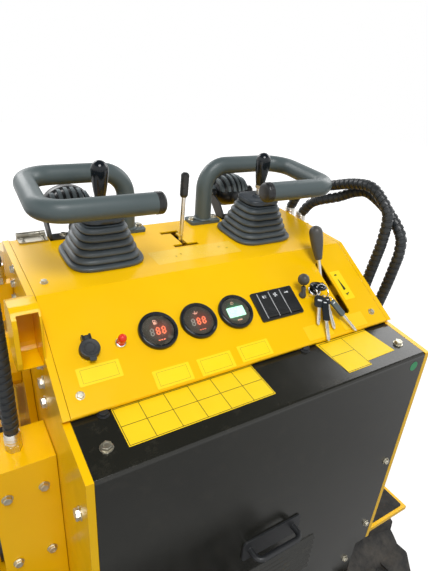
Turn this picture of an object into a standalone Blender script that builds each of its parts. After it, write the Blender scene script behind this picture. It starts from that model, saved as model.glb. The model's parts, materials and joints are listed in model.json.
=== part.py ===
"""Stand-on compact track loader, in metres, +Z up, +Y the way it travels.

The operator stands on the folding platform at the back and faces +Y. The console's place is set
by its crease, the bend between the flat top and the sloping instrument face. Lengths along the
travel direction are given from that crease, heights of the machine from the ground. Positive X
is the operator's right.
"""

import math

import bmesh
import bpy
from mathutils import Matrix, Vector

# Console, the driving part
CREASE_HEIGHT = 1.100
CONSOLE_HALF = 0.2896
FACE_TILT = math.radians(32.38)
FACE_LENGTH = 0.1818
TOP_RISE = math.radians(3.33)
TOP_LENGTH = 0.200
COVER_SHEET = 0.003
COVER_BACK_FLANGE = 0.032
COVER_LIP = 0.0055
CREASE_RADIUS = 0.006
COVER_OPENS = math.radians(40)

# Side panels and the black rear cover
PANEL_GAP = 0.0006
PANEL_RIM = 0.0098
PANEL_SHEET = 0.004
PANEL_RIM_DEPTH = 0.018
STEP_FRONT = (-0.145, -0.104)
STEP_BACK = (-0.2415, -0.115)
REAR_SHEET = 0.003
REAR_BOTTOM = 0.305
REAR_SKIRT_HALF = 0.260
DECK_TOP = 0.500
DECK_SHEET = 0.010
COWL_END = 0.300
COWL_TOP = CREASE_HEIGHT - 0.044
FIREWALL_Y = 0.208
FIREWALL_SHEET = 0.006

# Chassis tub between the tracks
TUB_HALF = 0.248
TUB_WALL = 0.012
TUB_BACK = -0.232
TUB_FRONT = 0.740
TUB_BOTTOM = 0.120
FRONT_GUARD_TOP = 0.615
DECK_HALF = 0.440
DECK_FRONT = 0.730

# Arm towers
TOWER_SHEET = 0.012
TOWER_INNER = 0.3008
TOWER_OUTER = 0.4204
TOWER_TOP_RADIUS = 0.058
TOWER_BACK = -0.020
TOWER_FRONT = 0.250
ARM_PIVOT = (0.120, 0.930)
ARM_PIN_RADIUS = 0.020
ARM_LIFT = math.radians(68)
PIN_CLEARANCE = 0.0003

# Loader arms
ARM_INNER = 0.3480
ARM_WIDTH = 0.066
ARM_BOSS_RADIUS = 0.046
ARM_BOSS_SIDE_GAP = 0.0006
ARM_PATH = ((0.120, 0.930, 0.050), (0.600, 0.868, 0.058), (0.935, 0.650, 0.056), (1.090, 0.180, 0.044))
CROSS_TUBES = ((0.905, 0.700, 0.030), (0.985, 0.500, 0.038))

# Lift cylinders: both pins lie at the same distance from the arm pivot
LIFT_REACH = 0.400
LIFT_ROD_ANGLE = math.radians(-26)
LIFT_SPREAD = math.radians(70)
LIFT_PIN_RADIUS = 0.0125
LIFT_BARREL_RADIUS = 0.028
LIFT_ROD_RADIUS = 0.015
LIFT_EYE_RADIUS = 0.027
LIFT_EYE_WIDTH = 0.032
LIFT_ENGAGED = 0.050

# Tilt cylinder: both pins lie at the same distance from the plate pin
PLATE_PIN = ARM_PATH[-1][:2]
TILT_REACH = 0.300
TILT_ROD_ANGLE = math.radians(67)
TILT_SPREAD = math.radians(90)
TILT_BACK = math.radians(20)
TILT_DUMP = math.radians(42)
TILT_PIN_RADIUS = 0.011
TILT_BARREL_RADIUS = 0.024
TILT_ROD_RADIUS = 0.0125
TILT_EYE_RADIUS = 0.023
TILT_EYE_WIDTH = 0.030
TILT_ENGAGED = 0.040
LUG_SHEET = 0.012
LUG_GAP = 0.0006

# Attachment plate and bucket
PLATE_FACE = 1.232
PLATE_SHEET = 0.014
PLATE_HALF = 0.330
PLATE_LOW = 0.105
PLATE_HIGH = 0.430
PLATE_LUG_RADIUS = 0.034
PLATE_PIN_RADIUS = 0.016
BUCKET_HALF = 0.470
BUCKET_SHEET = 0.008
BUCKET_DEPTH = 0.400
BUCKET_HEIGHT = 0.430
BUCKET_GROUND_GAP = 0.004
BUCKET_HEEL = 0.080
SEAT_GAP = 0.0004

# Hood over the engine
HOOD_BACK = 0.3025
HOOD_FRONT = 0.745
HOOD_REAR_TOP = COWL_TOP - 0.006
HOOD_FRONT_TOP = 0.905
HOOD_SHEET = 0.003
HOOD_HALF = 0.2890
HOOD_PIVOT_IN = 0.005
HOOD_OPENS = math.radians(50)
HOOD_SLANT_START = 0.560
HOOD_NOSE = 0.060

# Operator platform
PLATFORM_PIVOT = (-0.264, 0.235)
PLATFORM_LENGTH = 0.300
PLATFORM_HALF = 0.250
PLATFORM_THICK = 0.028
PLATFORM_FOLDS = math.radians(84)
PLATFORM_PIN_RADIUS = 0.009
PLATFORM_LUG_X = 0.200
PLATFORM_LUG_SHEET = 0.010

# Tracks
TRACK_CENTRE = 0.370
BELT_WIDTH = 0.170
BELT_THICK = 0.022
LUG_HEIGHT = 0.020
LUG_COUNT = 30
SPROCKET_AT = (-0.130, 0.255)
SPROCKET_RADIUS = 0.128
SPROCKET_TEETH = 12
SPROCKET_WIDTH = 0.046
IDLER_Y = 0.790
IDLER_RADIUS = 0.148
IDLER_WIDTH = 0.110
ROLLER_Y = (0.130, 0.450)
ROLLER_RADIUS = 0.056
ROLLER_WIDTH = 0.104
BELT_RUN = 0.0018
TRACK_PLATE_SHEET = 0.008
TRACK_PLATE_SIDE = 0.066
AXLE_RADIUS = 0.014

# Console fittings, in coordinates of the face (x, distance below the crease) or of the top
GAUGE_BEZEL = 0.060
GAUGE_BODY = 0.052
GAUGE_DEPTH = 0.045
GAUGE_PROUD = 0.0075
GAUGES = {"gauge_fuel": (-0.140, 0.094), "gauge_oil": (-0.072, 0.094), "gauge_hours": (-0.004, 0.094)}
BEZEL_X = (0.036, 0.122)
BEZEL_S = (0.070, 0.124)
BEZEL_PROUD = 0.0035
BEZEL_BORDER = 0.0035
BEZEL_BLANK = 0.0115
ROCKER_GAP = 0.0008
ROCKER_NAMES = ("rocker_lamp", "rocker_fan", "rocker_horn")
ROCKER_TILT = math.radians(7)
ROCKER_DEPTH = 0.012
LOCK_AT = (0.163, 0.092)
LOCK_RING = 0.0125
LOCK_BODY = 0.0105
LOCK_PROUD = 0.010
KEY_SHAFT = 0.0040
KEY_BOW_HEIGHT = 0.027
KEY_BOW_RADIUS = 0.0105
KEY_BOW_SHEET = 0.0030
KEY_HOLE = (0.0060, 0.0018)
KEY_RING = 0.0125
KEY_RING_WIRE = 0.0011
# Spare keys: place round the ring, tip on the face, grip's start, end and half width
SPARE_KEYS = (
    (-55, (0.1343, 0.1544, 0.0040), 0.000, 0.021, 0.0095),
    (-8, (0.1376, 0.1858, 0.0030), 0.004, 0.042, 0.0062),
    (14, (0.1624, 0.1689, 0.0030), 0.000, 0.014, 0.0060),
    (36, (0.2048, 0.1832, 0.0030), 0.012, 0.045, 0.0062),
)
CHOKE_AT = (0.1390, 0.0930)
CHOKE_STEM = 0.0035
CHOKE_HEAD = 0.0110
CHOKE_HEIGHT = 0.032
CHOKE_BEND = 0.006
CHOKE_LEAN = math.radians(44)
SOCKET_AT = (-0.243, 0.098)
SOCKET_RADIUS = 0.0140
SOCKET_BODY = 0.0125
SOCKET_PROUD = 0.0070
CAP_SHEET = 0.0040
LAMP_AT = (-0.197, 0.098)
LAMP_RING = 0.0070
LAMP_DOME = 0.0045
LAMP_HEIGHT = 0.0145
FIT_GAP = 0.0004

# Throttle
THROTTLE_X = 0.212
THROTTLE_SLOT = (0.035, 0.147)
THROTTLE_SLOT_WIDTH = 0.015
THROTTLE_ROD_X = 0.2090
THROTTLE_DEPTH = 0.030
THROTTLE_REST = 0.052
THROTTLE_ROD = 0.0035
THROTTLE_NECK = 0.024
THROTTLE_KNOB = 0.060
THROTTLE_KNOB_RADIUS = 0.0125

# Gate lever and its H gate
GATE_LINK_X = -0.007
GATE_BACK_SLOT = (-0.031, 0.006, 0.148)
GATE_FRONT_SLOT = (-0.031, 0.018, 0.089)
GATE_WIDTH = 0.0100
GATE_PIVOT_DEPTH = 0.085
GATE_REST = 0.110
GATE_ROD = 0.0038
GATE_GRIP = (0.092, 0.133)
GATE_GRIP_RADIUS = 0.0075

# Joysticks and gaiters
STICKS = {"left": (-0.163, 0.097), "right": (0.150, 0.099)}
STICK_PIVOT_DEPTH = 0.012
STICK_ROD = 0.0055
STICK_SWING = math.radians(13)
STICK_KNOB = (0.104, 0.164)
STICK_KNOB_RADIUS = 0.0135
GAITER_BASE = 0.0620
GAITER_CAP = 0.0340
GAITER_RIBS = 6
GAITER_FOOT = 0.006
GAITER_HEIGHT = 0.062
GAITER_CAP_HEIGHT = 0.014
GAITER_WALL = 0.0025
GAITER_RIB_DEPTH = 0.0050
VALVE_HALF = 0.045
VALVE_DEPTH = 0.072
VALVE_POCKET = 0.034
VALVE_POCKET_DEPTH = 0.028
GIMBAL_OUTER = 0.0200
GIMBAL_INNER = 0.0140
GIMBAL_HEIGHT = 0.0090
GIMBAL_PIN = 0.0030

# Handles
HANDLE_TUBE = 0.0165
HANDLE_POST = {"left": 0.086, "right": 0.080}
HANDLE_POST_T = 0.182
HANDLE_HEIGHT = 0.1226
HANDLE_TURN = 0.262
HANDLE_CORNER = {"left": 0.271, "right": 0.246}
HANDLE_FRONT = 0.007
HANDLE_BAR_HEIGHT = 0.115
HANDLE_END = 0.097
HANDLE_BEND = 0.045
HANDLE_PLATE = (0.068, 0.036, 0.006)

# Work lights
LIGHTS = {"left": (-0.175, 0.228, 0.050), "right": (0.176, 0.228, 0.054)}
LIGHT_HALF_HEIGHT = 0.036
LIGHT_HALF_WIDTH = 0.045
LIGHT_DEPTH = 0.062
LIGHT_FINS = 7
LIGHT_BOSS = 0.012
LIGHT_TILT = math.radians(20)
BRACKET_SHEET = 0.003

# Hinges of the console cover
HINGE_X = 0.253
HINGE_HALF = 0.024
HINGE_LEAF = 0.0025
HINGE_LEAF_LENGTH = 0.023
HINGE_KNUCKLE = 0.0045

# Guard bracket on the left side panel
GUARD_OUT = 0.033
GUARD_SHEET = 0.006
GUARD_Y = (-0.080, -0.020)
GUARD_Z = (CREASE_HEIGHT - 0.070, CREASE_HEIGHT + 0.022)

# Hoses with a spiral guard
HOSE_RADIUS = 0.0092
HOSE_RIB = 0.0018
HOSE_RIB_PITCH = 0.0240
# Points from the crease's height
HOSE_ROUTES = {
    "hose_right_outer": (
        (0.3195, 0.188, -0.015), (0.3195, 0.188, 0.012), (0.3240, 0.172, 0.050), (0.3340, 0.140, 0.074),
        (0.3450, 0.093, 0.089), (0.3500, 0.045, 0.104), (0.3500, -0.002, 0.109), (0.3500, -0.034, 0.092),
        (0.3500, -0.055, 0.068), (0.3500, -0.057, 0.020), (0.3500, -0.051, -0.027), (0.3500, -0.046, -0.060),
        (0.3500, -0.042, -0.088), (0.3500, -0.036, -0.130), (0.3500, -0.030, -0.175), (0.3500, -0.030, -0.210),
    ),
    "hose_right_inner": (
        (0.3195, 0.150, -0.015), (0.3195, 0.150, 0.007), (0.3270, 0.126, 0.044), (0.3560, 0.082, 0.066),
        (0.3680, 0.050, 0.084), (0.3740, 0.018, 0.089), (0.3760, -0.035, 0.066), (0.3750, -0.075, 0.032),
        (0.3745, -0.083, 0.000), (0.3740, -0.081, -0.029), (0.3740, -0.074, -0.080), (0.3720, -0.066, -0.133),
        (0.3700, -0.062, -0.175), (0.3700, -0.062, -0.210),
    ),
    "hose_left": (
        (-0.3195, 0.150, -0.040), (-0.3195, 0.150, -0.016), (-0.3270, 0.129, 0.030), (-0.3370, 0.088, 0.063),
        (-0.3460, 0.030, 0.081), (-0.3500, -0.020, 0.072), (-0.3500, -0.046, 0.040), (-0.3500, -0.054, 0.000),
        (-0.3500, -0.056, -0.060), (-0.3500, -0.054, -0.120), (-0.3500, -0.050, -0.175), (-0.3500, -0.050, -0.210),
    ),
}
HOSE_BLOCK_TOP = CREASE_HEIGHT - 0.2104

# Facets
COARSE = 8
MEDIUM = 14
FINE = 24


# Helpers that make and place shapes


def clear_scene():
    for obj in list(bpy.data.objects):
        bpy.data.objects.remove(obj, do_unlink=True)


def material(name, color, roughness, metallic=0.0):
    made = bpy.data.materials.new(name)
    made.use_nodes = True
    shader = made.node_tree.nodes["Principled BSDF"]
    shader.inputs["Base Color"].default_value = (*color, 1.0)
    shader.inputs["Roughness"].default_value = roughness
    shader.inputs["Metallic"].default_value = metallic
    return made


def empty(name, parent=None, location=(0, 0, 0), tilt=0.0):
    """A frame of reference, turned about X by tilt."""
    frame = bpy.data.objects.new(name, None)
    bpy.context.scene.collection.objects.link(frame)
    frame.parent = parent
    frame.location = location
    frame.rotation_euler = (tilt, 0, 0)
    return frame


def node(name, shape, finish, parent, origin=(0, 0, 0)):
    """An object made of a bmesh given in its parent's frame, with its origin on a joint axis."""
    bmesh.ops.translate(shape, verts=shape.verts, vec=-Vector(origin))
    bmesh.ops.recalc_face_normals(shape, faces=shape.faces)
    mesh = bpy.data.meshes.new(name)
    shape.to_mesh(mesh)
    shape.free()
    mesh.shade_smooth()
    mesh.set_sharp_from_angle(angle=math.radians(32))
    obj = bpy.data.objects.new(name, mesh)
    bpy.context.scene.collection.objects.link(obj)
    obj.parent = parent
    obj.location = origin
    if finish:
        mesh.materials.append(finish)
    return obj


def boolean(obj, shape, operation, parent=None, origin=(0, 0, 0)):
    tool = node(f"{obj.name}_{operation.lower()}_{len(obj.modifiers)}", shape, None, parent or obj.parent, origin)
    tool.hide_render = True
    tool.display_type = "WIRE"
    modifier = obj.modifiers.new(tool.name, "BOOLEAN")
    modifier.operation = operation
    modifier.object = tool


def cut(obj, shape, parent=None):
    boolean(obj, shape, "DIFFERENCE", parent)


def join(obj, shape, parent=None):
    boolean(obj, shape, "UNION", parent)


def closed(rings, wrap=False):
    """A closed surface through rings of equally many points; wrap joins the last ring to the first."""
    shape = bmesh.new()
    made = [[shape.verts.new(point) for point in ring] for ring in rings]
    pairs = list(zip(made, made[1:]))
    if wrap:
        pairs.append((made[-1], made[0]))
    for low, high in pairs:
        for i in range(len(low)):
            j = (i + 1) % len(low)
            shape.faces.new((low[i], low[j], high[j], high[i]))
    if not wrap:
        shape.faces.new(made[0][::-1])
        shape.faces.new(made[-1])
    return shape


def spaced(axis, across, up, along):
    """The point with these two coordinates across an axis, and this one along it."""
    if axis == "X":
        return (along, across, up)
    if axis == "Y":
        return (across, along, up)
    return (across, up, along)


def prism(outline, low, high, axis="X"):
    """An outline pushed along an axis: (y, z) points for X, (x, z) for Y, (x, y) for Z."""
    return closed([[spaced(axis, a, b, end) for a, b in outline] for end in (low, high)])


def block(x, y, z):
    """A box between two values along each axis."""
    return prism(((x[0], y[0]), (x[1], y[0]), (x[1], y[1]), (x[0], y[1])), z[0], z[1], "Z")


def circle(centre, radius, steps, start=0.0):
    return [
        (centre[0] + radius * math.cos(start + 2 * math.pi * i / steps),
         centre[1] + radius * math.sin(start + 2 * math.pi * i / steps))
        for i in range(steps)
    ]


def rod(centre, radius, low, high, axis="X", steps=COARSE):
    return prism(circle(centre, radius, steps), low, high, axis)


def bore(centre, radius, low, high, axis="X", steps=COARSE):
    """A round cutter whose flats clear a pin of this radius."""
    return rod(centre, (radius + PIN_CLEARANCE) / math.cos(math.pi / steps), low, high, axis, steps)


def turned(profile, centre, axis="Z", steps=MEDIUM):
    """A body turned about an axis through centre, from (radius, along) points; radius 0 ends in a point."""
    shape = bmesh.new()
    first = [shape.verts.new(spaced(axis, centre[0] + r, centre[1], along)) for r, along in profile]
    for a, b in zip(first, first[1:]):
        shape.edges.new((a, b))
    if profile[0][0] > 0 and profile[-1][0] > 0:
        shape.edges.new((first[-1], first[0]))
    about = Vector(spaced(axis, 0, 0, 1))
    bmesh.ops.spin(
        shape, geom=shape.verts[:] + shape.edges[:], cent=spaced(axis, centre[0], centre[1], 0),
        axis=about, angle=2 * math.pi, steps=steps, use_merge=True,
    )
    bmesh.ops.remove_doubles(shape, verts=shape.verts, dist=1e-6)
    return shape


def direction(angle):
    return math.cos(angle), math.sin(angle)


def polar(centre, reach, angle):
    return centre[0] + reach * math.cos(angle), centre[1] + reach * math.sin(angle)


def arc(centre, radius, start, end, steps):
    return [polar(centre, radius, start + (end - start) * i / steps) for i in range(steps + 1)]


def filleted(points, radii, steps=4, loop=True):
    """Corners of a path in any number of dimensions, each rounded to its radius."""
    count = len(points)
    result = []
    for i, here in enumerate(points):
        here = Vector(here)
        if radii[i] == 0 or (not loop and i in (0, count - 1)):
            result.append(tuple(here))
            continue
        back = (Vector(points[i - 1]) - here).normalized()
        onward = (Vector(points[(i + 1) % count]) - here).normalized()
        half = back.angle(onward) / 2
        middle = (back + onward).normalized()
        centre = here + middle * (radii[i] / math.sin(half))
        span = math.pi / 2 - half
        side = (onward - back).normalized()
        for k in range(steps + 1):
            turn = -span + 2 * span * k / steps
            result.append(tuple(centre + radii[i] * (math.sin(turn) * side - math.cos(turn) * middle)))
    return result


def rounded_box(x, y, radius, steps=3):
    corners = ((x[0], y[0]), (x[1], y[0]), (x[1], y[1]), (x[0], y[1]))
    return filleted(corners, (radius,) * 4, steps)


def offset(path, distance):
    """An open path moved to its left by a distance, with mitred corners."""
    result = []
    for i, here in enumerate(path):
        here = Vector(here)
        before = (here - Vector(path[i - 1])).normalized() if i else None
        after = (Vector(path[i + 1]) - here).normalized() if i < len(path) - 1 else None
        before, after = before or after, after or before
        normal = (Vector((-before.y, before.x)) + Vector((-after.y, after.x))).normalized()
        stretch = normal.dot(Vector((-after.y, after.x)))
        result.append(tuple(here + normal * (distance / stretch)))
    return result


def sheet(path, thickness):
    """The closed outline of a bent sheet whose right-hand side follows a path."""
    return list(path) + offset(path, thickness)[::-1]


def pipe(points, radius, steps=MEDIUM):
    """A round bar along 3-D points, its rings carried along without twist."""
    points = [Vector(point) for point in points]
    rings = []
    across = None
    for i, here in enumerate(points):
        before = (here - points[i - 1]).normalized() if i else None
        after = (points[i + 1] - here).normalized() if i < len(points) - 1 else None
        along = ((before or after) + (after or before)).normalized()
        if across is None:
            across = along.orthogonal()
        across = (across - along * across.dot(along)).normalized()
        up = along.cross(across)
        turns = [2 * math.pi * k / steps for k in range(steps)]
        rings.append([here + radius * (math.cos(a) * across + math.sin(a) * up) for a in turns])
    return closed(rings)


def both_sides(low, high):
    """The same X span on the left and on the right."""
    return ((-high, -low), (low, high))


def side_span(side, low, high):
    return (-high, -low) if side == "left" else (low, high)


# Wheels and belts of one track


def tangent_loop(wheels):
    """The belt line round wheels (y, z, radius) listed anticlockwise, as straight runs and arcs."""
    lines = []
    for one, two in zip(wheels, wheels[1:] + wheels[:1]):
        gap = math.dist(one[:2], two[:2])
        heading = math.atan2(two[1] - one[1], two[0] - one[0])
        lean = math.asin((one[2] - two[2]) / gap)
        lines.append(heading - math.pi / 2 + lean)
    pieces = []
    for i, wheel in enumerate(wheels):
        start, end = lines[i - 1], lines[i]
        while end < start:
            end += 2 * math.pi
        pieces.append((wheel, start, end))
    return pieces


def belt_point(pieces, distance):
    """The point at a distance along the belt line, and the outward direction there."""
    while True:
        for i, (wheel, start, end) in enumerate(pieces):
            length = wheel[2] * (end - start)
            if distance <= length:
                angle = start + distance / wheel[2]
                return polar(wheel, wheel[2], angle), direction(angle)
            distance -= length
            other, first = pieces[(i + 1) % len(pieces)][:2]
            leave, arrive = Vector(polar(wheel, wheel[2], end)), Vector(polar(other, other[2], first))
            run = (arrive - leave).length
            if distance <= run:
                return tuple(leave.lerp(arrive, distance / run)), direction(end)
            distance -= run


def belt_length(pieces):
    total = 0
    for i, (wheel, start, end) in enumerate(pieces):
        other, first = pieces[(i + 1) % len(pieces)][:2]
        total += wheel[2] * (end - start)
        total += math.dist(polar(wheel, wheel[2], end), polar(other, other[2], first))
    return total


def inner_bottom():
    return LUG_HEIGHT + BELT_THICK


def roller_at(y):
    return y, inner_bottom() + BELT_RUN + ROLLER_RADIUS


def idler_at():
    return IDLER_Y, inner_bottom() + BELT_RUN + IDLER_RADIUS


def track_wheels():
    """What the belt wraps, anticlockwise from the rear bottom roller, with the running gap added."""
    return [
        (*roller_at(ROLLER_Y[0]), ROLLER_RADIUS + BELT_RUN),
        (*idler_at(), IDLER_RADIUS + BELT_RUN),
        (*SPROCKET_AT, SPROCKET_RADIUS + BELT_RUN),
    ]


def belt_shape(low, high):
    """A belt with a tread bar every pitch; its inner face follows the wheels."""
    pieces = tangent_loop(track_wheels())
    total = belt_length(pieces)
    pitch = total / LUG_COUNT
    profile = ((0.00, LUG_HEIGHT), (0.38, LUG_HEIGHT), (0.50, 0.0), (0.88, 0.0))
    outer, inner = [], []
    for i in range(LUG_COUNT):
        for share, height in profile:
            (y, z), (dy, dz) = belt_point(pieces, (i + share) * pitch)
            reach = BELT_THICK + height
            inner.append((y, z))
            outer.append((y + dy * reach, z + dz * reach))
    return closed([[(x, *p) for p in loop] for x, loop in ((low, outer), (high, outer), (high, inner), (low, inner))], True)


def sprocket_shape(low, high):
    """A toothed disc with rounded gaps, and its hub."""
    outline = []
    root = SPROCKET_RADIUS * 0.86
    for i in range(SPROCKET_TEETH):
        for share, radius in ((-0.30, root), (-0.17, SPROCKET_RADIUS), (0.17, SPROCKET_RADIUS), (0.30, root)):
            outline.append(polar(SPROCKET_AT, radius, 2 * math.pi * (i + share) / SPROCKET_TEETH))
    return prism(outline, low, high)


def spool(centre, radius, half, hub, middle, side_x):
    """A roller or idler with two rims and a waist, turned about an axle along X."""
    rim = half * 0.55
    profile = (
        (hub, side_x - half), (radius, side_x - half), (radius, side_x - rim), (middle, side_x - rim * 0.7),
        (middle, side_x + rim * 0.7), (radius, side_x + rim), (radius, side_x + half), (hub, side_x + half),
    )
    return turned(profile, centre, "X", FINE if radius > 0.1 else MEDIUM)


def make_track(side, machine, finishes):
    sign = -1 if side == "left" else 1
    centre = sign * TRACK_CENTRE
    span = side_span(side, TRACK_CENTRE - BELT_WIDTH / 2, TRACK_CENTRE + BELT_WIDTH / 2)
    node(f"track_belt_{side}", belt_shape(*span), finishes["tread"], machine)

    half = SPROCKET_WIDTH / 2
    sprocket = node(
        f"drive_sprocket_{side}", sprocket_shape(centre - half, centre + half), finishes["steel"], machine,
        (centre, *SPROCKET_AT),
    )
    cut(sprocket, bore(SPROCKET_AT, AXLE_RADIUS * 2, centre - 2 * half, centre + 2 * half, "X", FINE))
    for i in range(5):
        hole = polar(SPROCKET_AT, SPROCKET_RADIUS * 0.56, math.pi / 2.5 * i)
        cut(sprocket, rod(hole, SPROCKET_RADIUS * 0.13, centre - 2 * half, centre + 2 * half))

    clearance = (AXLE_RADIUS + PIN_CLEARANCE) / math.cos(math.pi / FINE)
    small = (AXLE_RADIUS + PIN_CLEARANCE) / math.cos(math.pi / MEDIUM)
    idler = spool(idler_at(), IDLER_RADIUS, IDLER_WIDTH / 2, clearance, IDLER_RADIUS * 0.72, centre)
    node(f"front_idler_{side}", idler, finishes["steel"], machine, (centre, *idler_at()))
    for name, y in zip(("rear", "front"), ROLLER_Y):
        roller = spool(roller_at(y), ROLLER_RADIUS, ROLLER_WIDTH / 2, small, ROLLER_RADIUS * 0.6, centre)
        node(f"roller_{name}_{side}", roller, finishes["steel"], machine, (centre, *roller_at(y)))
    make_track_frame(side, centre, machine, finishes)


def make_track_frame(side, centre, machine, finishes):
    """Two side plates with a box between them, the fixed axles, the motor and two beams to the tub."""
    sign = -1 if side == "left" else 1
    inner_x = side_span(side, TRACK_CENTRE - TRACK_PLATE_SIDE - TRACK_PLATE_SHEET, TRACK_CENTRE - TRACK_PLATE_SIDE)
    outer_x = side_span(side, TRACK_CENTRE + TRACK_PLATE_SIDE, TRACK_CENTRE + TRACK_PLATE_SIDE + TRACK_PLATE_SHEET)
    idler, sprocket = idler_at(), SPROCKET_AT
    low, top = roller_at(0)[1] - 0.020, 0.262
    nose = arc(idler, 0.045, -math.pi / 2, math.pi / 2, 6)
    outer = [(0.060, low), (0.600, low), *nose, (0.640, top), (0.060, top), (0.030, top - 0.060), (0.030, low + 0.030)]
    tail = arc(sprocket, 0.062, math.pi / 2, 3 * math.pi / 2, 6)
    inner = [(0.060, low), (0.600, low), *nose, (0.640, top), (0.060, top + 0.025), *tail]
    frame = node(f"track_frame_{side}", prism(inner, *inner_x), finishes["yellow"], machine)
    join(frame, prism(outer, *outer_x))
    inside = sorted((inner_x[0] if sign < 0 else inner_x[1], outer_x[1] if sign < 0 else outer_x[0]))
    reach = (inside[0] - TRACK_PLATE_SHEET / 2, inside[1] + TRACK_PLATE_SHEET / 2)
    roller_top = roller_at(0)[1] + ROLLER_RADIUS
    box = [(0.045, roller_top + 0.012), (0.600, roller_top + 0.012), (0.560, top - 0.006), (0.045, top - 0.006)]
    join(frame, prism(box, *reach))
    for axle in (idler, *(roller_at(y) for y in ROLLER_Y)):
        join(frame, rod(axle, AXLE_RADIUS, *reach, "X", MEDIUM))
    motor = side_span(side, TRACK_CENTRE - TRACK_PLATE_SIDE - 0.020, TRACK_CENTRE - SPROCKET_WIDTH / 2 - 0.004)
    join(frame, rod(sprocket, 0.055, *motor, "X", MEDIUM))
    shaft = side_span(side, TRACK_CENTRE - SPROCKET_WIDTH, TRACK_CENTRE + SPROCKET_WIDTH / 2 + 0.006)
    join(frame, rod(sprocket, AXLE_RADIUS * 2, *shaft, "X", FINE))
    beam = side_span(side, TUB_HALF + SEAT_GAP, TRACK_CENTRE - TRACK_PLATE_SIDE - TRACK_PLATE_SHEET / 2)
    for y in (0.100, 0.480):
        join(frame, block(beam, (y, y + 0.110), (0.150, 0.235)))


# Chassis


def console_line(drop=0.0):
    """The console's outer line from the back edge to the bottom of the face, in (y, z) from the crease."""
    back = (TOP_LENGTH * math.cos(TOP_RISE), TOP_LENGTH * math.sin(TOP_RISE))
    low = (-FACE_LENGTH * math.cos(FACE_TILT), -FACE_LENGTH * math.sin(FACE_TILT))
    path = [back, (0.0, 0.0), low]
    return offset(path, drop) if drop else path


def lift_pins():
    """The lift cylinder's pins at rest: on the arm, and on the tower."""
    on_arm = polar(ARM_PIVOT, LIFT_REACH, LIFT_ROD_ANGLE)
    on_tower = polar(ARM_PIVOT, LIFT_REACH, LIFT_ROD_ANGLE - LIFT_SPREAD)
    return on_arm, on_tower


def tilt_pins():
    """The tilt cylinder's pins at rest: on the plate, and on the arms."""
    on_plate = polar(PLATE_PIN, TILT_REACH, TILT_ROD_ANGLE)
    on_arms = polar(PLATE_PIN, TILT_REACH, TILT_ROD_ANGLE + TILT_SPREAD)
    return on_plate, on_arms


def make_chassis(machine, finishes):
    """Tub, fenders, firewall with its cowl, front guard, towers, platform lugs and hose blocks."""
    deck_low = DECK_TOP - DECK_SHEET
    floor = block((-TUB_HALF, TUB_HALF), (TUB_BACK, TUB_FRONT), (TUB_BOTTOM, TUB_BOTTOM + TUB_WALL))
    chassis = node("chassis_frame", floor, finishes["yellow"], machine)
    for x in both_sides(TUB_HALF - TUB_WALL, TUB_HALF):
        join(chassis, block(x, (TUB_BACK, TUB_FRONT), (TUB_BOTTOM, DECK_TOP - DECK_SHEET / 2)))
    join(chassis, block((-TUB_HALF, TUB_HALF), (TUB_BACK, TUB_BACK + TUB_WALL), (TUB_BOTTOM, DECK_TOP)))
    front = ((TUB_FRONT - TUB_WALL, TUB_BOTTOM), (TUB_FRONT, TUB_BOTTOM), (TUB_FRONT, FRONT_GUARD_TOP),
             (TUB_FRONT - TUB_WALL, FRONT_GUARD_TOP))
    join(chassis, prism(front, -TUB_HALF, TUB_HALF))
    for x in both_sides(TUB_HALF - 2 * TUB_WALL, DECK_HALF):
        join(chassis, block(x, (TUB_BACK, DECK_FRONT), (deck_low, DECK_TOP)))
    wall = (FIREWALL_Y, FIREWALL_Y + FIREWALL_SHEET)
    join(chassis, block((-HOOD_HALF, HOOD_HALF), wall, (deck_low - 0.004, COWL_TOP - FIREWALL_SHEET / 2)))
    join(chassis, block((-HOOD_HALF, HOOD_HALF), (wall[0], COWL_END), (COWL_TOP - FIREWALL_SHEET, COWL_TOP)))
    for x in both_sides(HOOD_HALF - FIREWALL_SHEET, HOOD_HALF):
        join(chassis, block(x, (wall[0], COWL_END), (deck_low, COWL_TOP - FIREWALL_SHEET / 2)))
    for side in ("left", "right"):
        make_tower(chassis, side)
    lug = [*arc(PLATFORM_PIVOT, 0.020, math.pi / 2, 3 * math.pi / 2, 6)]
    lug += [(TUB_BACK + TUB_WALL / 2, lug[-1][1]), (TUB_BACK + TUB_WALL / 2, lug[0][1])]
    for x in both_sides(PLATFORM_LUG_X, PLATFORM_LUG_X + PLATFORM_LUG_SHEET):
        join(chassis, prism(lug, *x))
        middle = (x[0] + x[1]) / 2
        pin = (middle - PLATFORM_LUG_SHEET * 2, middle + PLATFORM_LUG_SHEET * 2)
        join(chassis, rod(PLATFORM_PIVOT, PLATFORM_PIN_RADIUS, *pin))
    return chassis


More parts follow.
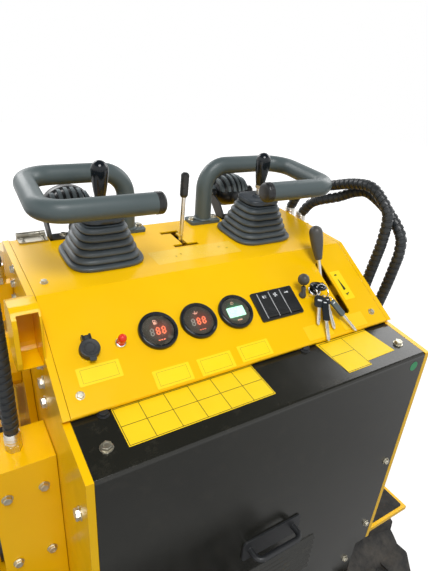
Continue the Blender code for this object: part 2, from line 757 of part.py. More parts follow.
def make_tower(chassis, side):
    """Two plates from the deck up to the arm pivot, the two pins between them, and the hose block."""
    top = arc(ARM_PIVOT, TOWER_TOP_RADIUS, 0.15, math.pi - 0.15, 6)
    outline = [(TOWER_BACK, DECK_TOP - DECK_SHEET / 2), (TOWER_FRONT, DECK_TOP - DECK_SHEET / 2), *top]
    inner = side_span(side, TOWER_INNER, TOWER_INNER + TOWER_SHEET)
    outer = side_span(side, TOWER_OUTER, TOWER_OUTER + TOWER_SHEET)
    for x in (inner, outer):
        join(chassis, prism(outline, *x))
    through = side_span(side, TOWER_INNER + TOWER_SHEET / 2, TOWER_OUTER + TOWER_SHEET + 0.006)
    join(chassis, rod(ARM_PIVOT, ARM_PIN_RADIUS, *through, "X", MEDIUM))
    join(chassis, rod(lift_pins()[1], LIFT_PIN_RADIUS, *through))
    post = side_span(side, TOWER_INNER, TOWER_OUTER - 0.030)
    join(chassis, block(post, (-0.090, -0.010), (DECK_TOP - DECK_SHEET / 2, HOSE_BLOCK_TOP)))
    for name, route in HOSE_ROUTES.items():
        if (route[0][0] < 0) == (side == "left"):
            x, y, z = route[0][0], route[0][1], CREASE_HEIGHT + route[0][2]
            post_y = (y - HOSE_RADIUS, y + HOSE_RADIUS)
            pad_low = ARM_PIVOT[1] + ARM_BOSS_RADIUS + 0.016
            join(chassis, block(inner, post_y, (ARM_PIVOT[1] - 0.070, z - SEAT_GAP)))
            pad = side_span(side, TOWER_INNER, abs(x) + HOSE_RADIUS)
            join(chassis, block(pad, post_y, (pad_low, z - SEAT_GAP)))


def make_panel(side, machine, finishes):
    """A side panel with the console's outline and a rim as wide as the edge seen beside the cover."""
    low_x = CONSOLE_HALF + PANEL_GAP
    out_x = low_x + PANEL_RIM
    crease = Vector((0.0, CREASE_HEIGHT))
    back, bend, low = (tuple(crease + Vector(p)) for p in console_line())
    step_front, step_back = (tuple(crease + Vector(p)) for p in (STEP_FRONT, STEP_BACK))
    rear = STEP_BACK[0]
    rim_line = [back, bend, low, step_front, step_back, (rear, DECK_TOP + SEAT_GAP)]
    outline = rim_line + [(FIREWALL_Y - 0.002, DECK_TOP + SEAT_GAP), (back[0], back[1] - 0.004)]
    plate = side_span(side, out_x - PANEL_SHEET, out_x)
    rim = side_span(side, low_x, out_x - PANEL_SHEET / 2)
    panel = node(f"side_panel_{side}", prism(outline, *plate), finishes["yellow"], machine)
    join(panel, prism(sheet(rim_line, PANEL_RIM_DEPTH), *rim))
    if side == "left":
        guard = rounded_box(GUARD_Y, GUARD_Z, 0.020)
        join(panel, prism(guard, -out_x - GUARD_OUT, -out_x + PANEL_SHEET / 2))
        hollow = rounded_box((GUARD_Y[0] - 0.1, GUARD_Y[1] - GUARD_SHEET), (GUARD_Z[0] + GUARD_SHEET, GUARD_Z[1] - GUARD_SHEET), 0.012)
        cut(panel, prism(hollow, -out_x - GUARD_OUT + GUARD_SHEET, -out_x - 0.0005))


def make_rear_cover(machine, finishes):
    """The black cover: a shallow step behind the instrument face, then straight down."""
    crease = Vector((0.0, CREASE_HEIGHT))
    front, back = (tuple(crease + Vector(p)) for p in (STEP_FRONT, STEP_BACK))
    lip = (front[0], front[1] - 0.020)
    path = [lip, front, back, (back[0], DECK_TOP + SEAT_GAP)]
    path = filleted(path, (0, 0.004, 0.006, 0), 3, loop=False)
    half = CONSOLE_HALF
    cover = node("rear_cover", prism(sheet(path, REAR_SHEET), -half, half), finishes["black_gloss"], machine)
    skirt = (back[0], back[0] + REAR_SHEET)
    join(cover, block((-REAR_SKIRT_HALF, REAR_SKIRT_HALF), skirt, (REAR_BOTTOM, DECK_TOP + 0.020)))


def make_engine(machine, finishes):
    """A twin-cylinder engine: crankcase, finned cylinders, fan shroud, muffler, and the pump behind it."""
    floor = TUB_BOTTOM + TUB_WALL + SEAT_GAP
    engine = node("engine", block((-0.150, 0.150), (0.380, 0.600), (floor + 0.050, 0.440)), finishes["engine"], machine)
    for x in (-0.130, 0.090):
        join(engine, block((x, x + 0.040), (0.360, 0.620), (floor, floor + 0.060)))
    for side in (-1, 1):
        join(engine, block(sorted((side * 0.020, side * 0.140)), (0.400, 0.560), (0.430, 0.640)))
        for i in range(5):
            z = 0.470 + 0.032 * i
            join(engine, block(sorted((side * 0.010, side * 0.152)), (0.388, 0.572), (z, z + 0.008)))
    join(engine, rod((0.0, 0.440), 0.150, 0.590, 0.650, "Y", FINE))
    join(engine, rod((0.480, 0.725), 0.055, -0.160, 0.160, "X", MEDIUM))
    for x in (-0.080, 0.056):
        join(engine, block((x, x + 0.024), (0.468, 0.492), (0.630, 0.700)))
    join(engine, block((-0.060, 0.060), (0.280, 0.390), (0.190, 0.320)))


def make_hood(machine, finishes):
    """A sheet hood hinged at its back edge, louvred at the front and on both sides."""
    front = [(HOOD_BACK, DECK_TOP + SEAT_GAP), (HOOD_SLANT_START, DECK_TOP + SEAT_GAP),
             (HOOD_FRONT, FRONT_GUARD_TOP + 0.004), (HOOD_FRONT, HOOD_FRONT_TOP),
             (HOOD_BACK, HOOD_REAR_TOP)]
    outline = filleted(front, (0, 0, 0, HOOD_NOSE, 0), 5)
    pivot = (0.0, HOOD_BACK + HOOD_PIVOT_IN, HOOD_REAR_TOP - HOOD_PIVOT_IN)
    hood = node("engine_hood", prism(outline, -HOOD_HALF, HOOD_HALF), finishes["yellow"], machine, pivot)
    inner = [(HOOD_BACK - 0.020, DECK_TOP - 0.050), (HOOD_FRONT - HOOD_SHEET, DECK_TOP - 0.050),
             (HOOD_FRONT - HOOD_SHEET, HOOD_FRONT_TOP), (HOOD_BACK - 0.020, HOOD_REAR_TOP + 0.020 * hood_slope())]
    shift = HOOD_SHEET / math.cos(math.atan(hood_slope()))
    inner = [(y, z if z < 0.7 else z - shift) for y, z in inner]
    inner = filleted(inner, (0, 0, HOOD_NOSE - HOOD_SHEET, 0), 5)
    cut(hood, prism(inner, -HOOD_HALF + HOOD_SHEET, HOOD_HALF - HOOD_SHEET))
    for i in range(5):
        z = FRONT_GUARD_TOP + 0.045 + 0.036 * i
        cut(hood, block((-0.190, 0.190), (HOOD_FRONT - 0.020, HOOD_FRONT + 0.020), (z, z + 0.016)))
    for i in range(5):
        y = 0.400 + 0.048 * i
        slot = [(y, 0.640), (y + 0.018, 0.640), (y + 0.050, 0.760), (y + 0.032, 0.760)]
        cut(hood, prism(slot, -HOOD_HALF - 0.010, HOOD_HALF + 0.010))


def hood_slope():
    return (HOOD_REAR_TOP - HOOD_FRONT_TOP) / (HOOD_FRONT - HOOD_BACK)


def make_platform(machine, finishes):
    """The operator's tread plate with a raised rim, hinged under the rear cover."""
    pivot_y, pivot_z = PLATFORM_PIVOT
    top = pivot_z + 0.010
    back = pivot_y - PLATFORM_LENGTH
    profile = [(pivot_y - 0.012, top - PLATFORM_THICK), (pivot_y - 0.012, top), (back + 0.012, top),
               (back + 0.006, top + 0.010), (back, top + 0.010), (back, top - PLATFORM_THICK)]
    platform = node(
        "operator_platform", prism(profile, -PLATFORM_HALF, PLATFORM_HALF), finishes["black"], machine,
        (0.0, *PLATFORM_PIVOT),
    )
    ear = [*arc(PLATFORM_PIVOT, 0.018, -math.pi / 2, math.pi / 2, 6)]
    ear += [(pivot_y - 0.030, ear[-1][1] - 0.008), (pivot_y - 0.030, ear[0][1] - 0.001)]
    inner = PLATFORM_LUG_X - PLATFORM_LUG_SHEET - LUG_GAP
    for x in both_sides(inner, PLATFORM_LUG_X - LUG_GAP):
        join(platform, prism(ear, *x))
    cut(platform, bore(PLATFORM_PIVOT, PLATFORM_PIN_RADIUS, -PLATFORM_HALF, PLATFORM_HALF))
    for x in both_sides(PLATFORM_LUG_X - LUG_GAP, PLATFORM_HALF + 0.010):
        cut(platform, block(x, (pivot_y - 0.026, pivot_y + 0.1), (top - 2 * PLATFORM_THICK, top + 0.010)))
    for i in range(4):
        for x in (-0.195, -0.050, 0.095):
            y = back + 0.050 + 0.054 * i
            slot = rounded_box((x, x + 0.100), (y, y + 0.020), 0.0085, 1)
            cut(platform, prism(slot, top - 2 * PLATFORM_THICK, top + 0.010, "Z"))


# Arms, cylinders, plate and bucket


def beam_outline(stations, steps=8):
    """The outline of a beam of changing depth through (y, z, half depth) points, with round ends."""
    path = [station[:2] for station in stations]
    left, right = [], []
    for i, (y, z, half) in enumerate(stations):
        left.append(offset(path, half)[i])
        right.append(offset(path, -half)[i])
    first = math.atan2(path[0][1] - path[1][1], path[0][0] - path[1][0])
    last = math.atan2(path[-1][1] - path[-2][1], path[-1][0] - path[-2][0])
    start = arc(path[0], stations[0][2], first - math.pi / 2, first + math.pi / 2, steps)
    end = arc(path[-1], stations[-1][2], last - math.pi / 2, last + math.pi / 2, steps)
    return [*start, *right[1:-1], *end, *left[1:-1][::-1]]


def lug_outline(eye, radius, foot_a, foot_b, steps=6):
    """A lug with a round end about an eye, widening to two points inside what carries it."""
    spread = math.atan2((foot_a[1] + foot_b[1]) / 2 - eye[1], (foot_a[0] + foot_b[0]) / 2 - eye[0])
    return [*arc(eye, radius, spread + math.pi / 2, spread + 3 * math.pi / 2, steps), foot_a, foot_b]


def make_arms(machine, finishes):
    """Two box beams joined by cross tubes, with the pivot bosses, rod lugs and the tilt cylinder's bracket."""
    outline = beam_outline(ARM_PATH)
    low, high = ARM_INNER, ARM_INNER + ARM_WIDTH
    arms = node("loader_arms", prism(outline, low, high), finishes["yellow"], machine, (0.0, *ARM_PIVOT))
    join(arms, prism(outline, -high, -low))
    middle = (low + high) / 2
    for y, z, radius in CROSS_TUBES:
        join(arms, rod((y, z), radius, -middle, middle, "X", MEDIUM))
    boss = (TOWER_INNER + TOWER_SHEET + ARM_BOSS_SIDE_GAP, TOWER_OUTER - ARM_BOSS_SIDE_GAP)
    rod_pin, _ = lift_pins()
    feet = (rod_pin[0] + 0.050, rod_pin[1] + 0.095), (rod_pin[0] - 0.060, rod_pin[1] + 0.095)
    lug = lug_outline(rod_pin, LIFT_EYE_RADIUS, *feet)
    gap = LIFT_EYE_WIDTH / 2 + LUG_GAP
    for x in both_sides(*boss):
        join(arms, rod(ARM_PIVOT, ARM_BOSS_RADIUS, *x, "X", MEDIUM))
        cut(arms, bore(ARM_PIVOT, ARM_PIN_RADIUS, x[0] - 0.01, x[1] + 0.01, "X", MEDIUM))
    for sign in (-1, 1):
        centre = sign * middle
        for start in (centre - gap - LUG_SHEET, centre + gap):
            join(arms, prism(lug, start, start + LUG_SHEET))
        pin = (centre - gap - LUG_SHEET / 2, centre + gap + LUG_SHEET / 2)
        join(arms, rod(rod_pin, LIFT_PIN_RADIUS, *pin))
        inward = sorted((sign * (low - 0.042), sign * (low + 0.010)))
        join(arms, rod(PLATE_PIN, PLATE_PIN_RADIUS, *inward, "X", MEDIUM))
    _, barrel_pin = tilt_pins()
    tube_y, tube_z, tube_radius = CROSS_TUBES[1]
    feet = (tube_y - tube_radius * 0.2, tube_z - tube_radius * 0.6), (tube_y - tube_radius * 0.9, tube_z + tube_radius * 0.3)
    bracket = lug_outline(barrel_pin, TILT_EYE_RADIUS + 0.004, *feet)
    gap = TILT_BARREL_RADIUS + 0.0045
    for start in (-gap - LUG_SHEET, gap):
        join(arms, prism(bracket, start, start + LUG_SHEET))
    join(arms, rod(barrel_pin, TILT_PIN_RADIUS, -gap - LUG_SHEET / 2, gap + LUG_SHEET / 2))


def along(centre, heading, distance, side=0.0):
    """A point at a distance along a heading from centre, and a little to its left."""
    return (centre[0] + distance * math.cos(heading) - side * math.sin(heading),
            centre[1] + distance * math.sin(heading) + side * math.cos(heading))


def cylinder_body(profile, pin, heading, x):
    """A body turned about the line that leaves a pin under a heading in the plane at x."""
    shape = turned(profile, (0.0, 0.0), "Y", MEDIUM)
    turn = Matrix.Translation((x, *pin)) @ Matrix.Rotation(heading, 4, "X")
    bmesh.ops.transform(shape, matrix=turn, verts=shape.verts)
    return shape


def make_cylinder(names, pins, lengths, sizes, x, machine, finishes):
    """A hydraulic cylinder: its barrel turns on one pin, its rod on the other, the rod inside the gland."""
    rod_pin, barrel_pin = pins
    shortest, rest, longest = lengths
    barrel_radius, rod_radius, eye_radius, eye_width, pin_radius, engaged = sizes
    heading = math.atan2(rod_pin[1] - barrel_pin[1], rod_pin[0] - barrel_pin[0])
    mouth = shortest - eye_radius - 0.012
    rod_length = longest - mouth + engaged
    bottom = shortest - rod_length - 0.006
    gap = (rod_radius + PIN_CLEARANCE) / math.cos(math.pi / MEDIUM)
    profile = (
        (0.0, eye_radius * 0.75), (barrel_radius, eye_radius * 0.95), (barrel_radius, mouth - 0.022),
        (barrel_radius + 0.003, mouth - 0.020), (barrel_radius + 0.003, mouth - 0.003), (barrel_radius, mouth),
        (gap, mouth), (gap, bottom), (0.0, bottom),
    )
    half = eye_width / 2
    barrel = node(names[0], cylinder_body(profile, barrel_pin, heading, x), finishes["black"], machine, (x, *barrel_pin))
    join(barrel, rod(barrel_pin, eye_radius, x - half, x + half, "X", MEDIUM))
    cut(barrel, bore(barrel_pin, pin_radius, x - 2 * half, x + 2 * half))
    profile = ((0.0, -eye_radius * 0.8), (rod_radius, -eye_radius * 0.8), (rod_radius, -rod_length), (0.0, -rod_length))
    piston = node(names[1], cylinder_body(profile, rod_pin, heading, x), finishes["chrome"], machine, (x, *rod_pin))
    join(piston, rod(rod_pin, eye_radius, x - half, x + half, "X", MEDIUM))
    cut(piston, bore(rod_pin, pin_radius, x - 2 * half, x + 2 * half))


def chord(reach, spread):
    return 2 * reach * math.sin(spread / 2)


def make_cylinders(machine, finishes):
    middle = ARM_INNER + ARM_WIDTH / 2
    lengths = (chord(LIFT_REACH, LIFT_SPREAD), chord(LIFT_REACH, LIFT_SPREAD), chord(LIFT_REACH, LIFT_SPREAD + ARM_LIFT))
    sizes = (LIFT_BARREL_RADIUS, LIFT_ROD_RADIUS, LIFT_EYE_RADIUS, LIFT_EYE_WIDTH, LIFT_PIN_RADIUS, LIFT_ENGAGED)
    for side, sign in (("left", -1), ("right", 1)):
        names = (f"lift_barrel_{side}", f"lift_rod_{side}")
        make_cylinder(names, lift_pins(), lengths, sizes, sign * middle, machine, finishes)
    lengths = (chord(TILT_REACH, TILT_SPREAD - TILT_BACK), chord(TILT_REACH, TILT_SPREAD),
               chord(TILT_REACH, TILT_SPREAD + TILT_DUMP))
    sizes = (TILT_BARREL_RADIUS, TILT_ROD_RADIUS, TILT_EYE_RADIUS, TILT_EYE_WIDTH, TILT_PIN_RADIUS, TILT_ENGAGED)
    make_cylinder(("tilt_barrel", "tilt_rod"), tilt_pins(), lengths, sizes, 0.0, machine, finishes)


def make_plate(machine, finishes):
    """The attachment plate: a face, two pin lugs beside the arms, ears for the rod and a top hook."""
    back = PLATE_FACE - PLATE_SHEET
    face = [(back, PLATE_LOW), (PLATE_FACE, PLATE_LOW), (PLATE_FACE, PLATE_HIGH), (back, PLATE_HIGH)]
    plate = node("attachment_plate", prism(face, -PLATE_HALF, PLATE_HALF), finishes["black"], machine, (0.0, *PLATE_PIN))
    lug = lug_outline(PLATE_PIN, PLATE_LUG_RADIUS, (back + 0.004, PLATE_LOW), (back + 0.004, 0.330))
    lug_low = ARM_INNER - 0.038
    for x in both_sides(lug_low, ARM_INNER - LUG_GAP):
        join(plate, prism(lug, *x))
        cut(plate, bore(PLATE_PIN, PLATE_PIN_RADIUS, x[0] - 0.02, x[1] + 0.02, "X", MEDIUM))
    rod_pin, _ = tilt_pins()
    ear = lug_outline(rod_pin, TILT_EYE_RADIUS, (back + 0.004, 0.300), (back + 0.010, PLATE_HIGH))
    ear = [*arc(rod_pin, TILT_EYE_RADIUS, 0.0, math.pi, 8), (rod_pin[0] - TILT_EYE_RADIUS, 0.400), (back + 0.004, 0.300),
           (PLATE_FACE - 0.002, 0.300)]
    gap = TILT_EYE_WIDTH / 2 + LUG_GAP
    for start in (-gap - LUG_SHEET, gap):
        join(plate, prism(ear, start, start + LUG_SHEET))
    join(plate, rod(rod_pin, TILT_PIN_RADIUS, -gap - LUG_SHEET / 2, gap + LUG_SHEET / 2))
    cut(plate, block((-gap, gap), (back - 0.1, PLATE_FACE + 0.1), (rod_pin[1] - 0.075, PLATE_HIGH + 0.1)))
    join(plate, rod(rod_pin, TILT_PIN_RADIUS, -gap - LUG_SHEET / 2, gap + LUG_SHEET / 2))


def make_bucket(machine, finishes):
    """An open bucket: floor, curved back, raised spill edge, side plates and a thicker cutting edge."""
    back = PLATE_FACE + SEAT_GAP
    floor = BUCKET_GROUND_GAP
    lip = back + BUCKET_DEPTH
    top = floor + BUCKET_HEIGHT
    shell = [(lip, floor), (back, floor), (back, top), (back + 0.050, top + 0.030)]
    path = filleted(shell, (0, BUCKET_HEEL, 0.020, 0), 6, loop=False)
    bucket = node("bucket", prism(sheet(path, -BUCKET_SHEET), -BUCKET_HALF, BUCKET_HALF), finishes["yellow"], machine,
                  (0.0, *PLATE_PIN))
    side = [*path, (back + 0.110, top + 0.010), (lip - 0.030, floor + 0.110), (lip, floor + 0.030)]
    for x in both_sides(BUCKET_HALF - BUCKET_SHEET, BUCKET_HALF):
        join(bucket, prism(side, *x))
    edge = [(lip - 0.070, floor), (lip + 0.025, floor), (lip + 0.025, floor + 0.004), (lip + 0.010, floor + 0.014),
            (lip - 0.070, floor + 0.014)]
    join(bucket, prism(edge, -BUCKET_HALF, BUCKET_HALF))


# Console


def make_cover(top, face, console, finishes):
    """The bent sheet that carries the controls, hinged at its back edge, with its cut-outs and valve blocks."""
    line = console_line()
    back, bend, low = line
    flange = (back[0], back[1] - COVER_BACK_FLANGE)
    normal = Vector((math.sin(FACE_TILT), -math.cos(FACE_TILT)))
    lip = tuple(Vector(low) + normal * COVER_LIP)
    path = filleted([flange, back, bend, low, lip], (0, 0.004, CREASE_RADIUS, 0.003, 0), 3, loop=False)
    cover = node("console_cover", prism(sheet(path, COVER_SHEET), -CONSOLE_HALF, CONSOLE_HALF), finishes["yellow"], console,
                 cover_axis())
    for side, (x, t) in STICKS.items():
        join(cover, block((x - VALVE_HALF, x + VALVE_HALF), (t - VALVE_HALF, t + VALVE_HALF), (-VALVE_DEPTH, -COVER_SHEET / 2)), top)
        cut(cover, rod((x, t), VALVE_POCKET, -VALVE_POCKET_DEPTH, 0.02, "Z", MEDIUM), top)
        for low_x, high_x in both_sides(GIMBAL_OUTER + 0.002, GIMBAL_OUTER + 0.008):
            ear = block((x + low_x, x + high_x), (t - 0.007, t + 0.007), (-VALVE_POCKET_DEPTH - 0.004, -STICK_PIVOT_DEPTH + 0.007))
            join(cover, ear, top)
        cut(cover, bore((t, -STICK_PIVOT_DEPTH), GIMBAL_PIN, x - 0.031, x + 0.031), top)
    hole = (GAUGE_BODY / 2 + FIT_GAP) / math.cos(math.pi / FINE)
    for x, s in GAUGES.values():
        cut(cover, rod((x, -s), hole, -0.02, 0.02, "Z", FINE), face)
    bezel = (BEZEL_X[0] + 0.003, BEZEL_X[1] - 0.003), (-BEZEL_S[1] + 0.003, -BEZEL_S[0] - 0.003)
    cut(cover, block(*bezel, (-0.02, 0.02)), face)
    for (x, s), radius in ((LOCK_AT, LOCK_BODY), (SOCKET_AT, SOCKET_BODY), (CHOKE_AT, CHOKE_STEM), (LAMP_AT, LAMP_DOME)):
        wide = (radius + FIT_GAP) / math.cos(math.pi / MEDIUM)
        cut(cover, rod((x, -s), wide, -0.02, 0.02, "Z", MEDIUM), face)
    half = THROTTLE_SLOT_WIDTH / 2
    slot = rounded_box((THROTTLE_X - half, THROTTLE_X + half), (-THROTTLE_SLOT[1], -THROTTLE_SLOT[0]), half - 0.0005, 4)
    cut(cover, prism(slot, -0.02, 0.02, "Z"), face)
    cut(cover, prism(gate_outline(), -0.02, 0.02, "Z"), top)
    make_lever_brackets(cover, top, face)
    for side, (x, y, z) in LIGHTS.items():
        make_light_bracket(cover, x, y, z, console)


def gate_outline():
    """The gate: a cross slot at each end of a link, as one outline."""
    half = GATE_WIDTH / 2
    x0, x1, t_back = GATE_BACK_SLOT
    x2, x3, t_front = GATE_FRONT_SLOT
    link = GATE_LINK_X
    return [
        (x2, t_front - half), (x3, t_front - half), (x3, t_front + half), (link + half, t_front + half),
        (link + half, t_back - half), (x1, t_back - half), (x1, t_back + half), (x0, t_back + half),
        (x0, t_back - half), (link - half, t_back - half), (link - half, t_front + half), (x2, t_front + half),
    ]


def throttle_middle():
    return (THROTTLE_SLOT[0] + THROTTLE_SLOT[1]) / 2


def make_lever_brackets(cover, top, face):
    """Under the sheet: a pin between two cheeks for the throttle, and the same for the gate lever."""
    s = throttle_middle()
    for low, high in ((THROTTLE_X - 0.0200, THROTTLE_X - 0.0140), (THROTTLE_X + 0.0140, THROTTLE_X + 0.0200)):
        join(cover, block((low, high), (-s - 0.012, -s + 0.012), (-THROTTLE_DEPTH - 0.010, -COVER_SHEET / 2)), face)
    join(cover, rod((-s, -THROTTLE_DEPTH), 0.0040, THROTTLE_X - 0.016, THROTTLE_X + 0.016), face)
    t = GATE_REST
    for low, high in ((GATE_LINK_X - 0.0240, GATE_LINK_X - 0.0180), (GATE_LINK_X + 0.0140, GATE_LINK_X + 0.0200)):
        join(cover, block((low, high), (t - 0.008, t + 0.008), (-GATE_PIVOT_DEPTH - 0.010, -COVER_SHEET / 2)), top)
    join(cover, rod((t, -GATE_PIVOT_DEPTH), 0.0040, GATE_LINK_X - 0.020, GATE_LINK_X + 0.016), top)


def make_light_bracket(cover, x, y, z, console):
    """A U bracket under a work light, bolted to the top; its pins are the light's tilt axis."""
    out = LIGHT_HALF_WIDTH + 0.003
    rear, base = console_line()[0]
    rear -= 0.0005
    low = base - 0.001
    join(cover, block((x - out - BRACKET_SHEET, x + out + BRACKET_SHEET), (rear - 0.024, rear), (low, low + BRACKET_SHEET)), console)
    for start in (x - out - BRACKET_SHEET, x + out):
        cheek = [(rear - 0.024, low), (rear, low), (y + 0.007, z - 0.008), *arc((y, z), 0.009, 0, math.pi, 5),
                 (rear - 0.006, z - 0.012), (rear - 0.024, low + 0.010)]
        join(cover, prism(cheek, start, start + BRACKET_SHEET), console)
        pin = (start - 0.002, start + 0.001) if start > x else (start + BRACKET_SHEET - 0.001, start + BRACKET_SHEET + 0.002)
        join(cover, rod((y, z), 0.0035, *pin), console)


def cover_axis():
    """The hinge axis of the console cover, just above its back edge, in (x, y, z) from the crease."""
    back = console_line()[0]
    return (0.0, back[0] + 0.0045, back[1] + HINGE_KNUCKLE + 0.0005)


def make_hinges(console, finishes):
    """Two hinge leaves with their knuckles, on the cover."""
    _, y, z = cover_axis()
    back = console_line()[0]
    for side, sign in (("left", -1), ("right", 1)):
        x = sign * HINGE_X
        slope = math.tan(TOP_RISE)
        reach = back[0] - HINGE_LEAF_LENGTH
        drop = back[1] - HINGE_LEAF_LENGTH * slope + SEAT_GAP
        leaf = [(reach, drop), (back[0] - 0.001, back[1] + SEAT_GAP), (back[0] + 0.001, back[1] + SEAT_GAP + 0.0012),
                (y, z), (back[0] - 0.003, back[1] + SEAT_GAP + HINGE_LEAF), (reach, drop + HINGE_LEAF)]
        hinge = node(f"cover_hinge_{side}", prism(leaf, x - HINGE_HALF, x + HINGE_HALF), finishes["stainless"], console,
                     cover_axis())
        join(hinge, rod((y, z), HINGE_KNUCKLE, x - HINGE_HALF, x + HINGE_HALF))


def make_instruments(face, finishes):
    for name, (x, s) in GAUGES.items():
        radius, body = GAUGE_BEZEL / 2, GAUGE_BODY / 2
        profile = ((0.0, -GAUGE_DEPTH), (body, -GAUGE_DEPTH), (body, SEAT_GAP), (radius, SEAT_GAP),
                   (radius, GAUGE_PROUD - 0.002), (radius - 0.002, GAUGE_PROUD), (radius - 0.0045, GAUGE_PROUD),
                   (radius - 0.0055, GAUGE_PROUD - 0.0015), (0.0, GAUGE_PROUD - 0.0015))
        node(name, turned(profile, (x, -s), "Z", FINE), finishes["black"], face)
    x, s = LOCK_AT
    bore_radius = (KEY_SHAFT + PIN_CLEARANCE) / math.cos(math.pi / MEDIUM)
    profile = ((0.0, -0.035), (LOCK_BODY, -0.035), (LOCK_BODY, SEAT_GAP), (LOCK_RING, SEAT_GAP),
               (LOCK_RING, LOCK_PROUD - 0.003), (LOCK_RING - 0.002, LOCK_PROUD), (bore_radius, LOCK_PROUD),
               (bore_radius, -0.015), (0.0, -0.015))
    node("ignition_lock", turned(profile, (x, -s)), finishes["chrome"], face)
    x, s = LAMP_AT
    profile = ((0.0, -0.018), (LAMP_DOME, -0.018), (LAMP_DOME, SEAT_GAP), (LAMP_RING, SEAT_GAP), (LAMP_RING, 0.003),
               (LAMP_DOME + 0.0005, 0.0042), (LAMP_DOME, LAMP_HEIGHT - 0.005), (LAMP_DOME * 0.7, LAMP_HEIGHT - 0.0015),
               (0.0, LAMP_HEIGHT))
    node("indicator_lamp", turned(profile, (x, -s), "Z", COARSE), finishes["red"], face)
    x, s = SOCKET_AT
    profile = ((SOCKET_BODY - 0.002, -0.030), (SOCKET_BODY, -0.030), (SOCKET_BODY, SEAT_GAP), (SOCKET_RADIUS, SEAT_GAP),
               (SOCKET_RADIUS, SOCKET_PROUD), (SOCKET_BODY - 0.002, SOCKET_PROUD))
    socket = node("power_socket", turned(profile, (x, -s)), finishes["black"], face)
    join(socket, rod((x, -s), SOCKET_BODY - 0.001, -0.032, -0.028, "Z"))
    axis_s, axis_h = s - SOCKET_RADIUS - 0.004, SOCKET_PROUD + 0.0005
    rim, out = -s + SOCKET_RADIUS, -axis_s + 0.003
    cheek = [(rim - 0.003, SEAT_GAP), (out, SEAT_GAP), (out, axis_h + 0.003), (rim + 0.001, axis_h + 0.003),
             (rim + 0.001, SOCKET_PROUD - 0.001), (rim - 0.003, SOCKET_PROUD - 0.001)]
    for low, high in ((x - 0.0065, x - 0.0035), (x + 0.0035, x + 0.0065)):
        join(socket, prism(cheek, low, high))
    join(socket, rod((-axis_s, axis_h), 0.0012, x - 0.005, x + 0.005))
    low = SOCKET_PROUD + SEAT_GAP
    cap = node("socket_cap", rod((x, -s), SOCKET_RADIUS, low, low + CAP_SHEET, "Z", MEDIUM), finishes["rubber"], face,
               (x, -axis_s, axis_h))
    join(cap, block((x - 0.0030, x + 0.0030), (rim - 0.003, -axis_s), (low, low + CAP_SHEET - 0.0012)))
    join(cap, rod((-axis_s, axis_h), 0.0026, x - 0.0030, x + 0.0030, "X", MEDIUM))
    cut(cap, bore((-axis_s, axis_h), 0.0012, x - 0.01, x + 0.01))
    join(cap, block((x - 0.0045, x + 0.0045), (-s - SOCKET_RADIUS - 0.005, -s - SOCKET_RADIUS + 0.004), (low, low + CAP_SHEET - 0.001)))


def rocker_bays():
    """The X span of each rocker's pocket in the bezel."""
    start = BEZEL_X[0] + BEZEL_BLANK
    width = (BEZEL_X[1] - BEZEL_BORDER - start) / len(ROCKER_NAMES)
    return [(start + i * width, start + (i + 1) * width) for i in range(len(ROCKER_NAMES))]


def make_switches(face, finishes):
    """The switch bezel with a pocket for each rocker, and the rockers, each lying in its off position."""
    y = (-BEZEL_S[1], -BEZEL_S[0])
    inside = (BEZEL_X[0] + 0.0035, BEZEL_X[1] - 0.0035), (y[0] + 0.0035, y[1] - 0.0035)
    bezel = node("switch_bezel", prism(rounded_box(BEZEL_X, y, 0.0025, 2), SEAT_GAP, BEZEL_PROUD, "Z"), finishes["black"], face)
    join(bezel, block(*inside, (-0.026, SEAT_GAP + 0.001)))
    middle = -(BEZEL_S[0] + BEZEL_S[1]) / 2
    half = (BEZEL_S[1] - BEZEL_S[0]) / 2 - BEZEL_BORDER
    pivot_h = -0.004
    for name, (low, high) in zip(ROCKER_NAMES, rocker_bays()):
        wall = ROCKER_GAP / 2
        cut(bezel, block((low + wall, high - wall), (middle - half, middle + half), (-0.022, 0.02)))
        join(bezel, rod((middle, pivot_h), 0.0018, low - wall, high + wall))
        reach = half - 0.0024
        outline = [(-reach, pivot_h + 0.004), (-reach, pivot_h + 0.0105), (0.0, pivot_h + 0.0082), (reach, pivot_h + 0.0105),
                   (reach, pivot_h + 0.004), (reach * 0.45, pivot_h - 0.006), (-reach * 0.45, pivot_h - 0.006)]
        turn = -ROCKER_TILT
        outline = [(middle + a * math.cos(turn) - (h - pivot_h) * math.sin(turn),
                    pivot_h + a * math.sin(turn) + (h - pivot_h) * math.cos(turn)) for a, h in outline]
        rocker = node(name, prism(outline, low + ROCKER_GAP, high - ROCKER_GAP), finishes["black"], face,
                      ((low + high) / 2, middle, pivot_h))
        cut(rocker, bore((middle, pivot_h), 0.0018, low, high))


